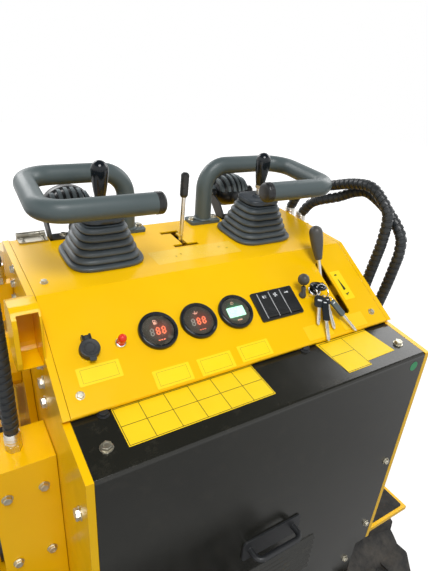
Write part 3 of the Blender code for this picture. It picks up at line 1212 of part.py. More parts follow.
def make_key(face, finishes):
    """The ignition key in its lock, and the ring with its spare keys that hangs from the bow."""
    x, s = LOCK_AT
    shaft = rod((x, -s), KEY_SHAFT, -0.012, KEY_BOW_HEIGHT - 0.005, "Z")
    key = node("ignition_key", shaft, finishes["black"], face, (x, -s, 0.0))
    half = KEY_BOW_SHEET / 2
    join(key, rod((-s, KEY_BOW_HEIGHT), KEY_BOW_RADIUS, x - half, x + half, "X", MEDIUM))
    long, tall = KEY_HOLE
    slot = rounded_box((-s - long, -s + long), (KEY_BOW_HEIGHT - tall, KEY_BOW_HEIGHT + tall), tall * 0.95, 2)
    cut(key, prism(slot, x - 0.01, x + 0.01))
    drop = math.radians(15)
    centre = Vector((x, -s - KEY_RING * math.cos(drop), KEY_BOW_HEIGHT - KEY_RING * math.sin(drop)))
    down = Vector((0.0, -math.cos(drop), -math.sin(drop)))
    steps = 16
    points = []
    for i in range(steps):
        turn = 2 * math.pi * i / steps
        points.append(centre + KEY_RING * (math.sin(turn) * Vector((1, 0, 0)) - math.cos(turn) * down))
    wire = []
    for i, point in enumerate(points):
        outward = (point - centre).normalized()
        side = Vector((1, 0, 0)).cross(down)
        wire.append([point + KEY_RING_WIRE * (math.cos(a) * outward + math.sin(a) * side)
                     for a in (2 * math.pi * k / 6 for k in range(6))])
    bunch = node("key_bunch", closed(wire, True), finishes["chrome"], face)
    for turn, tip, grip_start, grip_end, grip_half in SPARE_KEYS:
        turn = math.radians(turn)
        hole = centre + (KEY_RING - 0.001) * (math.cos(turn) * down + math.sin(turn) * Vector((1, 0, 0)))
        join(bunch, hanging_key(hole, Vector((tip[0], -tip[1], tip[2])), grip_start, grip_end, grip_half))


def hanging_key(hole, tip, grip_start, grip_end, grip_half):
    """A flat key from its hole on the ring to its tip: a neck, a rounded grip and a blade."""
    heading = (tip - hole).normalized()
    across = heading.cross(Vector((0, 0, 1))).normalized()
    up = across.cross(heading).normalized()
    length = (tip - hole).length
    neck, blade, corner = 0.0032, 0.0034, grip_half * 0.55
    half = [(-0.003, neck * 0.6), (grip_start + 0.001, neck), (grip_start + corner * 0.4, grip_half * 0.62), (grip_start + corner, grip_half),
            (grip_end - corner, grip_half), (grip_end - corner * 0.3, grip_half * 0.62), (grip_end, blade),
            (length - 0.004, blade), (length, blade * 0.3)]
    outline = [(-a, b) for b, a in half] + [(a, b) for b, a in reversed(half)]
    return closed([
        [hole + across * a + heading * b + up * height for a, b in outline]
        for height in (-0.0011, 0.0011)
    ])


def knob(centre, low, high, radius, axis="Z", foot=0.55, steps=MEDIUM):
    """A tapered knob, widest near its rounded top."""
    length = high - low
    profile = [(0.0, low), (radius * foot, low), (radius * foot * 1.08, low + length * 0.10)]
    for turn in range(0, 4):
        angle = math.pi / 2 * turn / 3
        profile.append((radius * math.cos(angle), high - radius * (1 - math.sin(angle))))
    profile[-1] = (0.0, high)
    return turned(profile, centre, axis, steps)


def make_choke(face, finishes):
    x, s = CHOKE_AT
    choke = node("choke_knob", rod((x, -s), CHOKE_STEM, -0.045, CHOKE_BEND, "Z"), finishes["grey"], face, (x, -s, 0.0))
    join(choke, rod((x, -s), CHOKE_STEM + 0.003, 0.0008, CHOKE_BEND + 0.001, "Z"))
    neck = rod((x, -s), CHOKE_STEM, CHOKE_BEND - 0.002, CHOKE_HEIGHT - 0.004, "Z")
    head = rod((-s, CHOKE_HEIGHT), CHOKE_HEAD, x - 0.0045, x + 0.0045, "X", MEDIUM)
    for shape in (neck, head):
        join(choke, tilted(shape, (-s, CHOKE_BEND), -CHOKE_LEAN))


def tilted(shape, pivot, angle):
    """A shape in a face or top frame, turned about the X axis through a pivot (y, z)."""
    about = Matrix.Translation((0, *pivot)) @ Matrix.Rotation(angle, 4, "X") @ Matrix.Translation((0, -pivot[0], -pivot[1]))
    bmesh.ops.transform(shape, matrix=about, verts=shape.verts)
    return shape


def throttle_lean():
    """How far the throttle leans up the face at rest."""
    return math.atan((throttle_middle() - THROTTLE_REST) / THROTTLE_DEPTH)


def make_throttle(face, finishes):
    """A lever on a pivot under the face, leaning up the slot, with a tapered grey knob."""
    s = throttle_middle()
    x = THROTTLE_ROD_X
    pivot = (-s, -THROTTLE_DEPTH)
    reach = math.hypot(THROTTLE_DEPTH, s - THROTTLE_REST)
    boss = rod(pivot, 0.0090, THROTTLE_X - 0.0135, THROTTLE_X + 0.0135, "X", MEDIUM)
    lever = node("throttle_lever", boss, finishes["grey"], face, (x, *pivot))
    low = reach - THROTTLE_DEPTH + THROTTLE_NECK
    stem = rod((x, -s), THROTTLE_ROD, -THROTTLE_DEPTH + 0.005, low + 0.010, "Z")
    grip = knob((x, -s), low, low + THROTTLE_KNOB, THROTTLE_KNOB_RADIUS, "Z", 0.50)
    for shape in (stem, grip):
        join(lever, tilted(shape, pivot, -throttle_lean()))
    cut(lever, bore(pivot, 0.0040, THROTTLE_X - 0.03, THROTTLE_X + 0.03))


def make_gate_lever(top, finishes):
    pivot = (GATE_REST, -GATE_PIVOT_DEPTH)
    x = GATE_LINK_X
    lever = node("gate_lever", rod(pivot, 0.0090, x - 0.0175, x + 0.0135, "X", MEDIUM), finishes["steel"], top, (x, *pivot))
    base = GATE_REST * math.tan(TOP_RISE)
    join(lever, rod((x, GATE_REST), GATE_ROD, -GATE_PIVOT_DEPTH + 0.004, GATE_GRIP[0] - base, "Z"))
    cut(lever, bore(pivot, 0.0040, x - 0.03, x + 0.03))
    low, high, radius = GATE_GRIP[0] - base, GATE_GRIP[1] - base, GATE_GRIP_RADIUS
    profile = ((0.0, low - 0.002), (radius * 0.8, low - 0.002), (radius, low + 0.002), (radius, high - 0.004),
               (radius * 0.7, high), (0.0, high + 0.001))
    join(lever, turned(profile, (x, GATE_REST), "Z", COARSE))


def gaiter_rings():
    """The half width and height of each rounded square up the bellows and its cap."""
    steps = 2 * GAITER_RIBS
    levels = [(GAITER_BASE, SEAT_GAP), (GAITER_BASE, GAITER_FOOT)]
    for i in range(1, steps + 1):
        share = i / steps
        height = GAITER_FOOT + (GAITER_HEIGHT - GAITER_FOOT) * share
        half = GAITER_BASE - 0.004 + (GAITER_CAP - GAITER_BASE + 0.004) * share
        levels.append((half - (GAITER_RIB_DEPTH if i % 2 else 0.0), height))
    top = GAITER_HEIGHT + GAITER_CAP_HEIGHT
    return levels + [(GAITER_CAP, top - 0.004), (GAITER_CAP - 0.006, top)]


def gaiter_shape(x, t):
    """A hollow ribbed boot, open below, with a hole for the stick."""
    hole = STICK_ROD + 3 * FIT_GAP
    outer = gaiter_rings()
    top = outer[-1][1]
    neck = GAITER_CAP - GAITER_RIB_DEPTH - GAITER_WALL
    foot = GAITER_BASE - 2 * GAITER_RIB_DEPTH - GAITER_WALL
    inner = [(neck, top - 0.006), (neck, GAITER_HEIGHT), (foot, GAITER_FOOT), (foot, SEAT_GAP)]
    levels = outer + [(hole, top), (hole, top - 0.006)] + inner
    rings = []
    for half, height in levels:
        ring = rounded_box((x - half, x + half), (t - half * 0.95, t + half * 0.95), half * (0.42 if half > hole else 0.9), 2)
        rings.append([(a, b, height) for a, b in ring])
    return closed(rings, True)


def make_stick(side, top, finishes):
    x, t = STICKS[side]
    pivot = (x, t, -STICK_PIVOT_DEPTH)
    node(f"gaiter_{side}", gaiter_shape(x, t), finishes["rubber"], top)
    half = GIMBAL_HEIGHT / 2
    profile = ((GIMBAL_INNER, pivot[2] - half), (GIMBAL_OUTER, pivot[2] - half), (GIMBAL_OUTER, pivot[2] + half),
               (GIMBAL_INNER, pivot[2] + half))
    gimbal = node(f"gimbal_{side}", turned(profile, (x, t)), finishes["steel"], top, pivot)
    for low, high in both_sides(GIMBAL_OUTER - 0.003, GIMBAL_OUTER + 0.0075):
        join(gimbal, rod((t, pivot[2]), GIMBAL_PIN, x + low, x + high))
    cut(gimbal, bore((x, pivot[2]), GIMBAL_PIN, t - 0.025, t + 0.025, "Y"))
    stick = node(f"joystick_{side}", rod((x, pivot[2]), GIMBAL_PIN, t - GIMBAL_OUTER + 0.001, t + GIMBAL_OUTER - 0.001, "Y"),
                 finishes["black_gloss"], top, pivot)
    base = t * math.tan(TOP_RISE)
    low, high = STICK_KNOB[0] - base, STICK_KNOB[1] - base
    profile = ((0.0, pivot[2] - 0.009), (0.0095, pivot[2] - 0.006), (0.0095, pivot[2] + 0.004), (STICK_ROD, pivot[2] + 0.010),
               (STICK_ROD, low + 0.004), (0.0, low + 0.004))
    join(stick, turned(profile, (x, t)))
    join(stick, knob((x, t), low, high, STICK_KNOB_RADIUS, "Z", 0.55))


def make_handle(side, console, top, finishes):
    """A bent tube: up from a bolted flange, out along the back, forward to the corner, in along the front."""
    sign = -1 if side == "left" else 1
    base = HANDLE_POST_T * math.sin(TOP_RISE) + 0.003
    corner = HANDLE_CORNER[side]
    middle = sign * HANDLE_POST[side]
    post_y = HANDLE_POST_T * math.cos(TOP_RISE)
    points = [
        (middle, post_y, base), (middle, post_y, HANDLE_HEIGHT),
        (sign * HANDLE_TURN, post_y, HANDLE_HEIGHT), (sign * corner, HANDLE_FRONT, HANDLE_BAR_HEIGHT),
        (sign * HANDLE_END, HANDLE_FRONT, HANDLE_BAR_HEIGHT),
    ]
    radii = (0, HANDLE_BEND, HANDLE_BEND, HANDLE_BEND * 0.8, 0)
    bar = pipe(filleted(points, radii, 4, loop=False), HANDLE_TUBE, MEDIUM)
    handle = node(f"handle_{side}", bar, finishes["grey"], console)
    long, wide, thick = HANDLE_PLATE
    plate = rounded_box((middle - long / 2, middle + long / 2), (HANDLE_POST_T - wide / 2, HANDLE_POST_T + wide / 2), 0.006, 2)
    join(handle, prism(plate, SEAT_GAP, thick, "Z"), top)


def make_work_light(side, console, finishes):
    """An oval lamp head: finned dome behind, lens in front, on the tilt pins of its bracket."""
    x, y, z = LIGHTS[side]
    radius, half, depth = LIGHT_HALF_HEIGHT, LIGHT_HALF_WIDTH, LIGHT_DEPTH
    back = y - depth * 0.45
    profile = [(0.0, back)]
    for turn in range(1, 5):
        angle = math.pi / 2 * turn / 4
        profile.append((radius * 0.94 * math.sin(angle), back + depth * 0.62 * (1 - math.cos(angle))))
    profile += [(radius, back + depth * 0.66), (radius, back + depth * 0.96), (radius - 0.002, back + depth),
                (radius - 0.004, back + depth), (radius - 0.0055, back + depth * 0.95), (0.0, back + depth * 0.95)]
    shell = turned(profile, (0.0, z), "Y", MEDIUM)
    bmesh.ops.transform(shell, matrix=Matrix.Translation((x, 0, 0)) @ Matrix.Scale(half / radius, 4, (1, 0, 0)), verts=shell.verts)
    head = node(f"work_light_{side}", shell, finishes["black"], console, (x, y, z))
    for i in range(LIGHT_FINS):
        place = x + (i - (LIGHT_FINS - 1) / 2) * 2 * half / (LIGHT_FINS + 0.6)
        cut(head, block((place - 0.0026, place + 0.0026), (back - 0.01, back + depth * 0.50), (z + radius * 0.30, z + radius + 0.01)))
    join(head, rod((x, z - 0.006), LIGHT_BOSS, back - 0.006, back + depth * 0.30, "Y"))
    for low, high in both_sides(half - 0.005, half + 0.0015):
        join(head, rod((y, z), 0.0085, x + low, x + high))
    cut(head, bore((y, z), 0.0035, x - half - 0.01, x - half + 0.002))
    cut(head, bore((y, z), 0.0035, x + half - 0.002, x + half + 0.01))


# Hoses


def smooth_route(route, spacing):
    """Evenly spaced points on a Catmull-Rom curve through a route."""
    points = [Vector(p) for p in route]
    points.insert(1, points[0].lerp(points[1], 0.5))
    points.insert(-1, points[-1].lerp(points[-2], 0.5))
    fine = []
    for i in range(len(points) - 1):
        p0, p1 = points[max(i - 1, 0)], points[i]
        p2, p3 = points[i + 1], points[min(i + 2, len(points) - 1)]
        for k in range(16):
            u = k / 16
            fine.append(0.5 * (2 * p1 + (p2 - p0) * u + (2 * p0 - 5 * p1 + 4 * p2 - p3) * u * u
                               + (3 * p1 - p0 - 3 * p2 + p3) * u ** 3))
    fine.append(points[-1])
    total = sum((b - a).length for a, b in zip(fine, fine[1:]))
    count = round(total / spacing)
    result, walked, target = [fine[0]], 0.0, total / count
    for a, b in zip(fine, fine[1:]):
        step = (b - a).length
        while walked + step >= target - 1e-9 and len(result) < count:
            result.append(a.lerp(b, (target - walked) / step))
            target += total / count
        walked += step
    result.append(fine[-1])
    return result


def make_hose(name, route, machine, finishes):
    """A hydraulic hose in a spiral guard: the guard's turns show as ribs, and both ends run plain."""
    points = smooth_route([(x, y, CREASE_HEIGHT + z) for x, y, z in route], HOSE_RIB_PITCH / 2)
    plain = math.ceil(2 * HOSE_RADIUS / (HOSE_RIB_PITCH / 2))
    curve = bpy.data.curves.new(name, "CURVE")
    curve.dimensions = "3D"
    curve.bevel_depth = HOSE_RADIUS
    curve.bevel_resolution = 2
    curve.use_fill_caps = True
    spline = curve.splines.new("POLY")
    spline.points.add(len(points) - 1)
    for i, point in enumerate(points):
        ribbed = plain <= i < len(points) - plain
        spline.points[i].co = (*point, 1.0)
        spline.points[i].radius = 1 + HOSE_RIB / HOSE_RADIUS if ribbed and i % 2 else 1.0
    curve.materials.append(finishes["rubber"])
    hose = bpy.data.objects.new(name, curve)
    bpy.context.scene.collection.objects.link(hose)
    hose.parent = machine


def overall():
    """The length behind the crease and the length ahead of it."""
    return PLATFORM_PIVOT[0] - PLATFORM_LENGTH, PLATE_FACE + SEAT_GAP + BUCKET_DEPTH + 0.025


def main():
    clear_scene()
    finishes = {
        "yellow": material("powder_yellow", (0.90, 0.52, 0.01), 0.35),
        "black": material("satin_black", (0.025, 0.027, 0.030), 0.45),
        "black_gloss": material("gloss_black", (0.012, 0.013, 0.010), 0.15),
        "grey": material("dark_grey_paint", (0.070, 0.078, 0.080), 0.40),
        "rubber": material("rubber", (0.045, 0.050, 0.055), 0.75),
        "tread": material("track_rubber", (0.020, 0.020, 0.021), 0.85),
        "steel": material("steel", (0.35, 0.35, 0.36), 0.45, 0.9),
        "stainless": material("stainless", (0.55, 0.55, 0.55), 0.35, 1.0),
        "chrome": material("chrome", (0.75, 0.76, 0.78), 0.12, 1.0),
        "engine": material("cast_grey", (0.10, 0.10, 0.11), 0.60, 0.3),
        "red": material("red_lens", (0.55, 0.01, 0.01), 0.25),
    }
    rear, front = overall()
    crease_y = -(rear + front) / 2
    machine = empty("machine", location=(0.0, crease_y, 0.0))
    console = empty("console", machine, (0.0, 0.0, CREASE_HEIGHT))
    top = empty("console_top", console, tilt=TOP_RISE)
    face = empty("instrument_face", console, tilt=FACE_TILT)

    make_chassis(machine, finishes)
    for side in ("left", "right"):
        make_panel(side, machine, finishes)
        make_track(side, machine, finishes)
    make_rear_cover(machine, finishes)
    make_engine(machine, finishes)
    make_hood(machine, finishes)
    make_platform(machine, finishes)
    make_arms(machine, finishes)
    make_cylinders(machine, finishes)
    make_plate(machine, finishes)
    make_bucket(machine, finishes)
    for name, route in HOSE_ROUTES.items():
        make_hose(name, route, machine, finishes)

    make_cover(top, face, console, finishes)
    make_hinges(console, finishes)
    make_instruments(face, finishes)
    make_switches(face, finishes)
    make_key(face, finishes)
    make_choke(face, finishes)
    make_throttle(face, finishes)
    make_gate_lever(top, finishes)
    for side in ("left", "right"):
        make_stick(side, top, finishes)
        make_handle(side, console, top, finishes)
        make_work_light(side, console, finishes)


main()
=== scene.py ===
"""Finish and fine detail of the stand-on compact track loader, in metres, in the frame of its CAD solids.

The operator faces +Y. CREASE_Y and CREASE_Z place the bend between the console's flat top and its
sloping instrument face. A point of the face is (x, distance below the crease), a point of the top
is (x, distance ahead of the crease).
"""

import json
import math
import random

import bmesh
import bpy
from mathutils import Matrix, Vector

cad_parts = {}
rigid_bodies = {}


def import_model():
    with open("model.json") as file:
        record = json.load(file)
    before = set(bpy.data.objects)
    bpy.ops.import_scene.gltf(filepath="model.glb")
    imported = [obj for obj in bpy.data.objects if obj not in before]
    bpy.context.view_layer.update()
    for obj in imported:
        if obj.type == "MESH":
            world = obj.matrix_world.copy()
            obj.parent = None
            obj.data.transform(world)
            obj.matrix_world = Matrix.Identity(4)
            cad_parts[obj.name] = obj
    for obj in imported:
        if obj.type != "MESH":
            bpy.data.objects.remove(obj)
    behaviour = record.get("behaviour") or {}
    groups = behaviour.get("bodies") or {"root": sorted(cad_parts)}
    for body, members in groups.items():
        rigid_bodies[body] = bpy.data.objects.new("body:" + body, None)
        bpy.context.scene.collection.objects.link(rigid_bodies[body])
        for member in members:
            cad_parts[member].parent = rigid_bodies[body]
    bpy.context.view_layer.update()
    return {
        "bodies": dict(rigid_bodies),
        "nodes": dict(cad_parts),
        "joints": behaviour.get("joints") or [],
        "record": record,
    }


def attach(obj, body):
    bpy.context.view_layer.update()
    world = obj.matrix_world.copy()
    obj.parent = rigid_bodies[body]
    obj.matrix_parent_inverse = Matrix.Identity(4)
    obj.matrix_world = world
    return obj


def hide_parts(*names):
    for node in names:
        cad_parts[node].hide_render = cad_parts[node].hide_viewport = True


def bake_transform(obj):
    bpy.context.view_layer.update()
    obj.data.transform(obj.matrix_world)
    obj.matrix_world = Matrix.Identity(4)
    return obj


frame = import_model()
NODES = frame["nodes"]


def spin(angle, axis):
    return Matrix.Rotation(angle, 4, axis)


CREASE_Y = -0.5467
CREASE_Z = 1.1
FACE_TILT = math.radians(32.38)
TOP_RISE = math.radians(3.33)
TOP_LENGTH = 0.2
# The far edge of the cover's flat top, from the crease
COVER_END_Y = TOP_LENGTH * math.cos(TOP_RISE)
COVER_END_Z = TOP_LENGTH * math.sin(TOP_RISE)
MACHINE = Matrix.Translation((0, CREASE_Y, 0))
CONSOLE = Matrix.Translation((0, CREASE_Y, CREASE_Z))
TOP = CONSOLE @ spin(TOP_RISE, "X")
FACE = CONSOLE @ spin(FACE_TILT, "X")
STEP_FRONT = Vector((0, -0.145, -0.104))
STEP_BACK = Vector((0, -0.2415, -0.115))
STEP_TILT = math.atan2(STEP_FRONT.z - STEP_BACK.z, STEP_FRONT.y - STEP_BACK.y)
STEP = CONSOLE @ Matrix.Translation(STEP_FRONT) @ spin(STEP_TILT, "X")
IDENTITY = Matrix.Identity(4)
SIDES = (("left", -1), ("right", 1))
UPWARD = (0, 0, 1)
REARWARD = (0, -1, 0)
FORWARD = (0, 1, 0)
REAR_FACE = -0.2415
PANEL_SIDE = 0.3
CURVED = math.radians(32)
PHOTO_WIDTH_MM = 36
PHOTO_FOCUS = 460.18 / 571


# Camera, at the photograph's place


def make_camera():
    yaw, pitch, roll = 0.576, 0.4577, 0.0781
    place = Vector((-0.3872, -1.148, 1.4133))
    forward = Vector((math.sin(yaw) * math.cos(pitch), math.cos(yaw) * math.cos(pitch), -math.sin(pitch)))
    level = Vector((math.cos(yaw), -math.sin(yaw), 0))
    above = level.cross(forward)
    right = level * math.cos(roll) + above * math.sin(roll)
    up = above * math.cos(roll) - level * math.sin(roll)
    data = bpy.data.cameras.new("photo_camera")
    data.sensor_width = PHOTO_WIDTH_MM
    data.lens = PHOTO_WIDTH_MM * PHOTO_FOCUS
    data.clip_start = 0.02
    camera = bpy.data.objects.new("photo_camera", data)
    bpy.context.scene.collection.objects.link(camera)
    turn = Matrix((right, up, -forward)).transposed().to_4x4()
    camera.matrix_world = Matrix.Translation(place) @ turn
    bpy.context.scene.camera = camera


# Materials


class Nodes:
    """A node tree, built with short calls."""

    def __init__(self, tree):
        self.tree = tree

    def node(self, kind, **settings):
        made = self.tree.nodes.new(kind)
        for key, value in settings.items():
            setattr(made, key, value)
        return made

    def link(self, output, target):
        self.tree.links.new(output, target)
        return output

    def ramp(self, value, low, high, to_low=0.0, to_high=1.0):
        made = self.node("ShaderNodeMapRange")
        made.inputs["From Min"].default_value = low
        made.inputs["From Max"].default_value = high
        made.inputs["To Min"].default_value = to_low
        made.inputs["To Max"].default_value = to_high
        self.link(value, made.inputs["Value"])
        return made.outputs["Result"]

    def math(self, operation, a, b):
        made = self.node("ShaderNodeMath", operation=operation)
        for socket, value in zip(made.inputs, (a, b)):
            if isinstance(value, float):
                socket.default_value = value
            else:
                self.link(value, socket)
        return made.outputs["Value"]

    def mix(self, share, a, b):
        made = self.node("ShaderNodeMix", data_type="RGBA")
        self.link(share, made.inputs["Factor"])
        for socket, value in ((made.inputs["A"], a), (made.inputs["B"], b)):
            if isinstance(value, tuple):
                socket.default_value = (*value, 1.0)
            else:
                self.link(value, socket)
        return made.outputs["Result"]

    def levels(self, value, stops):
        """A smooth grey level from a value between 0 and 1."""
        made = self.node("ShaderNodeValToRGB")
        made.color_ramp.interpolation = "EASE"
        elements = made.color_ramp.elements
        while len(elements) < len(stops):
            elements.new(0.5)
        for element, (place, level) in zip(elements, stops):
            element.position = place
            element.color = (level, level, level, 1)
        self.link(value, made.inputs["Fac"])
        return made.outputs["Color"]

    def rays(self, *kinds):
        """One where the ray is of any of the named kinds."""
        paths = self.node("ShaderNodeLightPath").outputs
        result = paths[kinds[0]]
        for kind in kinds[1:]:
            result = self.math("MAXIMUM", result, paths[kind])
        return result


class Shader(Nodes):
    """One material. Its textures are in object coordinates, in metres."""

    def __init__(self, name):
        self.material = bpy.data.materials.new(name)
        self.material.use_nodes = True
        super().__init__(self.material.node_tree)
        self.surface = self.tree.nodes["Principled BSDF"]
        self.coordinates = self.node("ShaderNodeTexCoord").outputs["Object"]

    def noise(self, scale, detail=3.0, roughness=0.55, stretch=None):
        made = self.node("ShaderNodeTexNoise")
        made.inputs["Scale"].default_value = scale
        made.inputs["Detail"].default_value = detail
        made.inputs["Roughness"].default_value = roughness
        source = self.coordinates
        if stretch:
            mapping = self.node("ShaderNodeMapping")
            mapping.inputs["Scale"].default_value = stretch
            self.link(source, mapping.inputs["Vector"])
            source = mapping.outputs["Vector"]
        self.link(source, made.inputs["Vector"])
        return made.outputs["Fac"]

    def near(self, point, reach):
        """One at a point, falling evenly to nothing at a distance from it."""
        made = self.node("ShaderNodeVectorMath", operation="DISTANCE")
        self.link(self.coordinates, made.inputs[0])
        made.inputs[1].default_value = point
        return self.ramp(made.outputs["Value"], reach, 0.0)

    def cells(self, scale):
        made = self.node("ShaderNodeTexVoronoi")
        made.inputs["Scale"].default_value = scale
        self.link(self.coordinates, made.inputs["Vector"])
        return made.outputs["Distance"]

    def edges(self, radius):
        """Rounded normals at the edges, and how near the surface is to an edge."""
        bevel = self.node("ShaderNodeBevel", samples=4)
        bevel.inputs["Radius"].default_value = radius
        geometry = self.node("ShaderNodeNewGeometry")
        dot = self.node("ShaderNodeVectorMath", operation="DOT_PRODUCT")
        self.link(bevel.outputs["Normal"], dot.inputs[0])
        self.link(geometry.outputs["Normal"], dot.inputs[1])
        return bevel.outputs["Normal"], self.ramp(dot.outputs["Value"], 0.995, 0.86)

    def bump(self, height, distance, strength=1.0, normal=None):
        made = self.node("ShaderNodeBump")
        made.inputs["Distance"].default_value = distance
        made.inputs["Strength"].default_value = strength
        self.link(height, made.inputs["Height"])
        if normal:
            self.link(normal, made.inputs["Normal"])
        return made.outputs["Normal"]

    def set(self, **values):
        for key, value in values.items():
            socket = self.surface.inputs[key.replace("_", " ")]
            if isinstance(value, (int, float)):
                socket.default_value = value
            elif isinstance(value, tuple):
                socket.default_value = (*value, 1.0)
            else:
                self.link(value, socket)
        return self.material


PAINT_EDGE = 0.001
METAL_EDGE = 0.0006
WEAR_SHARE = 0.3


def painted(name, colour, deep, gloss, wear=(0.2, 0.18, 0.15), specular=0.5, dust=0.05):
    """Powder coat: orange-peel skin, uneven tone and gloss, dust, and wear where edges are rubbed."""
    s = Shader(name)
    normal, edge = s.edges(PAINT_EDGE)
    tone = s.mix(s.ramp(s.noise(5.0), 0.35, 0.7), colour, deep)
    dusty = tuple(c * 0.7 + 0.3 * d for c, d in zip(colour, (0.42, 0.36, 0.26)))
    tone = s.mix(s.ramp(s.noise(42.0, 5.0, 0.7), 0.55, 0.85, 0.0, dust), tone, dusty)
    rubbed = s.math("MULTIPLY", edge, s.ramp(s.noise(85.0, 4.0, 0.65), 0.5, 0.66, 0.0, WEAR_SHARE))
    tone = s.mix(rubbed, tone, wear)
    rough = s.math("ADD", s.ramp(s.noise(14.0, 4.0), 0.3, 0.8, gloss, gloss + 0.12),
                   s.ramp(rubbed, 0.0, 1.0, 0.0, 0.3))
    skin = s.bump(s.noise(520.0, 2.0), 0.00012, 0.35, normal)
    return s.set(Base_Color=tone, Roughness=rough, Normal=skin, Specular_IOR_Level=specular)


def moulded(name, colour, worn, roughness, grain, depth, sheen=0.0, specular=0.5):
    """Rubber or moulded plastic: a fine grain, uneven gloss and slightly pale rubbed places."""
    s = Shader(name)
    tone = s.mix(s.ramp(s.noise(26.0, 5.0, 0.65), 0.4, 0.78), colour, worn)
    rough = s.ramp(s.noise(60.0, 4.0), 0.3, 0.75, roughness - 0.07, roughness + 0.08)
    skin = s.bump(s.cells(grain), depth, 0.6)
    skin = s.bump(s.noise(grain * 0.22, 3.0), depth * 2, 0.4, skin)
    return s.set(Base_Color=tone, Roughness=rough, Normal=skin, Sheen_Weight=sheen,
                 Specular_IOR_Level=specular)


def metal(name, colour, dull, roughness, brushed=None, depth=0.00002, rust=0.0):
    """Bare or plated metal: brushing or fine casting grain, patchy gloss, and a little rust if asked."""
    s = Shader(name)
    normal, edge = s.edges(METAL_EDGE)
    tone = s.mix(s.ramp(s.noise(34.0, 5.0, 0.65), 0.38, 0.75), colour, dull)
    rubbed = s.math("MULTIPLY", edge, s.ramp(s.noise(120.0), 0.3, 0.7, 0.1, 0.6))
    tone = s.mix(rubbed, tone, tuple(min(1.0, c * 1.35) for c in colour))
    if rust:
        tone = s.mix(s.ramp(s.noise(19.0, 6.0, 0.75), 0.58, 0.74, 0.0, rust), tone, (0.17, 0.065, 0.025))
    rough = s.ramp(s.noise(48.0, 4.0), 0.3, 0.75, roughness - 0.06, roughness + 0.12)
    grain = s.noise(700.0, 2.0, 0.5, brushed) if brushed else s.noise(420.0, 3.0)
    return s.set(Base_Color=tone, Roughness=rough, Metallic=1.0, Normal=s.bump(grain, depth, 0.5, normal))


def printed(name, colour, shade, roughness=0.35):
    """A printed film or a printed mark, with a faint unevenness and scuffs."""
    s = Shader(name)
    tone = s.mix(s.ramp(s.noise(30.0, 4.0), 0.45, 0.8, 0.0, 0.8), colour, shade)
    rough = s.ramp(s.noise(90.0), 0.3, 0.7, roughness, roughness + 0.15)
    return s.set(Base_Color=tone, Roughness=rough, Normal=s.bump(s.noise(300.0), 0.00002, 0.3),
                 Specular_IOR_Level=0.3)


def glowing(name, colour, strength):
    """A lit display element with a slightly uneven brightness."""
    s = Shader(name)
    tone = s.mix(s.ramp(s.noise(260.0), 0.3, 0.7), colour, tuple(c * 0.8 for c in colour))
    s.link(tone, s.surface.inputs["Emission Color"])
    return s.set(Base_Color=tone, Emission_Strength=strength, Roughness=0.4)


def lit_dial(name, centre, glow, reach):
    """A dial's face with the glow that its display throws on it round a point."""
    s = Shader(name)
    tone = s.mix(s.ramp(s.noise(30.0, 4.0), 0.45, 0.8), (0.12, 0.108, 0.082), (0.098, 0.094, 0.074))
    share = s.near(centre, reach)
    tone = s.mix(share, tone, glow)
    s.link(s.mix(share, (0.0, 0.0, 0.0), glow), s.surface.inputs["Emission Color"])
    rough = s.ramp(s.noise(90.0), 0.3, 0.7, 0.28, 0.42)
    return s.set(Base_Color=tone, Emission_Strength=0.35, Roughness=rough, Specular_IOR_Level=0.3)


def clear(name, tint, roughness=0.03, transmission=1.0):
    """Clear glass or a coloured lens, with smears that change its gloss."""
    s = Shader(name)
    rough = s.ramp(s.noise(70.0, 4.0), 0.4, 0.8, roughness, roughness + 0.05)
    tone = s.mix(s.ramp(s.noise(120.0), 0.4, 0.7), tint, tuple(c * 0.92 for c in tint))
    return s.set(Base_Color=tone, Roughness=rough, Transmission_Weight=transmission, IOR=1.46)


YELLOW = painted("powder_yellow", (0.96, 0.56, 0.001), (0.92, 0.52, 0.001), 0.17, specular=0.26, dust=0.012)
MACHINE_BLACK = painted("satin_black_paint", (0.022, 0.024, 0.026), (0.016, 0.017, 0.019), 0.38,
                        wear=(0.3, 0.29, 0.27))
GLOSS_BLACK = painted("gloss_black_paint", (0.016, 0.016, 0.012), (0.012, 0.012, 0.009), 0.13,
                      wear=(0.22, 0.21, 0.19), dust=0.2)
GREY_PAINT = painted("dark_grey_paint", (0.092, 0.12, 0.123), (0.074, 0.098, 0.102), 0.34,
                     wear=(0.3, 0.31, 0.31), specular=0.4)
GAITER_RUBBER = moulded("slate_rubber", (0.06, 0.078, 0.09), (0.092, 0.11, 0.12), 0.4, 1500.0, 0.00006,
                        sheen=0.12)
# The collar is a darker copy of the boot's rubber: painted shade, as under the handle bar.
SHADED_COLLAR_RUBBER = moulded("collar_rubber_painted_shade", (0.024, 0.033, 0.043), (0.04, 0.05, 0.06), 0.42, 1500.0, 0.00005)
RUBBER = moulded("black_rubber", (0.02, 0.022, 0.024), (0.045, 0.048, 0.05), 0.55, 1300.0, 0.00006)
HOSE_GUARD = moulded("spiral_guard_plastic", (0.02, 0.024, 0.027), (0.038, 0.043, 0.046), 0.36, 1100.0,
                     0.00003)
TREAD = moulded("track_rubber", (0.022, 0.022, 0.022), (0.085, 0.076, 0.064), 0.78, 420.0, 0.0003)
PLASTIC = moulded("black_plastic", (0.014, 0.015, 0.016), (0.026, 0.028, 0.03), 0.34, 1900.0, 0.00003)
GLOSS_PLASTIC = moulded("gloss_black_plastic", (0.007, 0.01, 0.014), (0.012, 0.016, 0.021), 0.13, 900.0,
                        0.00001, specular=0.4)
FIN_PLASTIC = moulded("lamp_fin_grey", (0.13, 0.16, 0.172), (0.2, 0.232, 0.245), 0.34, 1300.0, 0.00004)
GREY_PLASTIC = moulded("grey_plastic", (0.062, 0.06, 0.055), (0.085, 0.083, 0.078), 0.42, 1700.0, 0.00004)
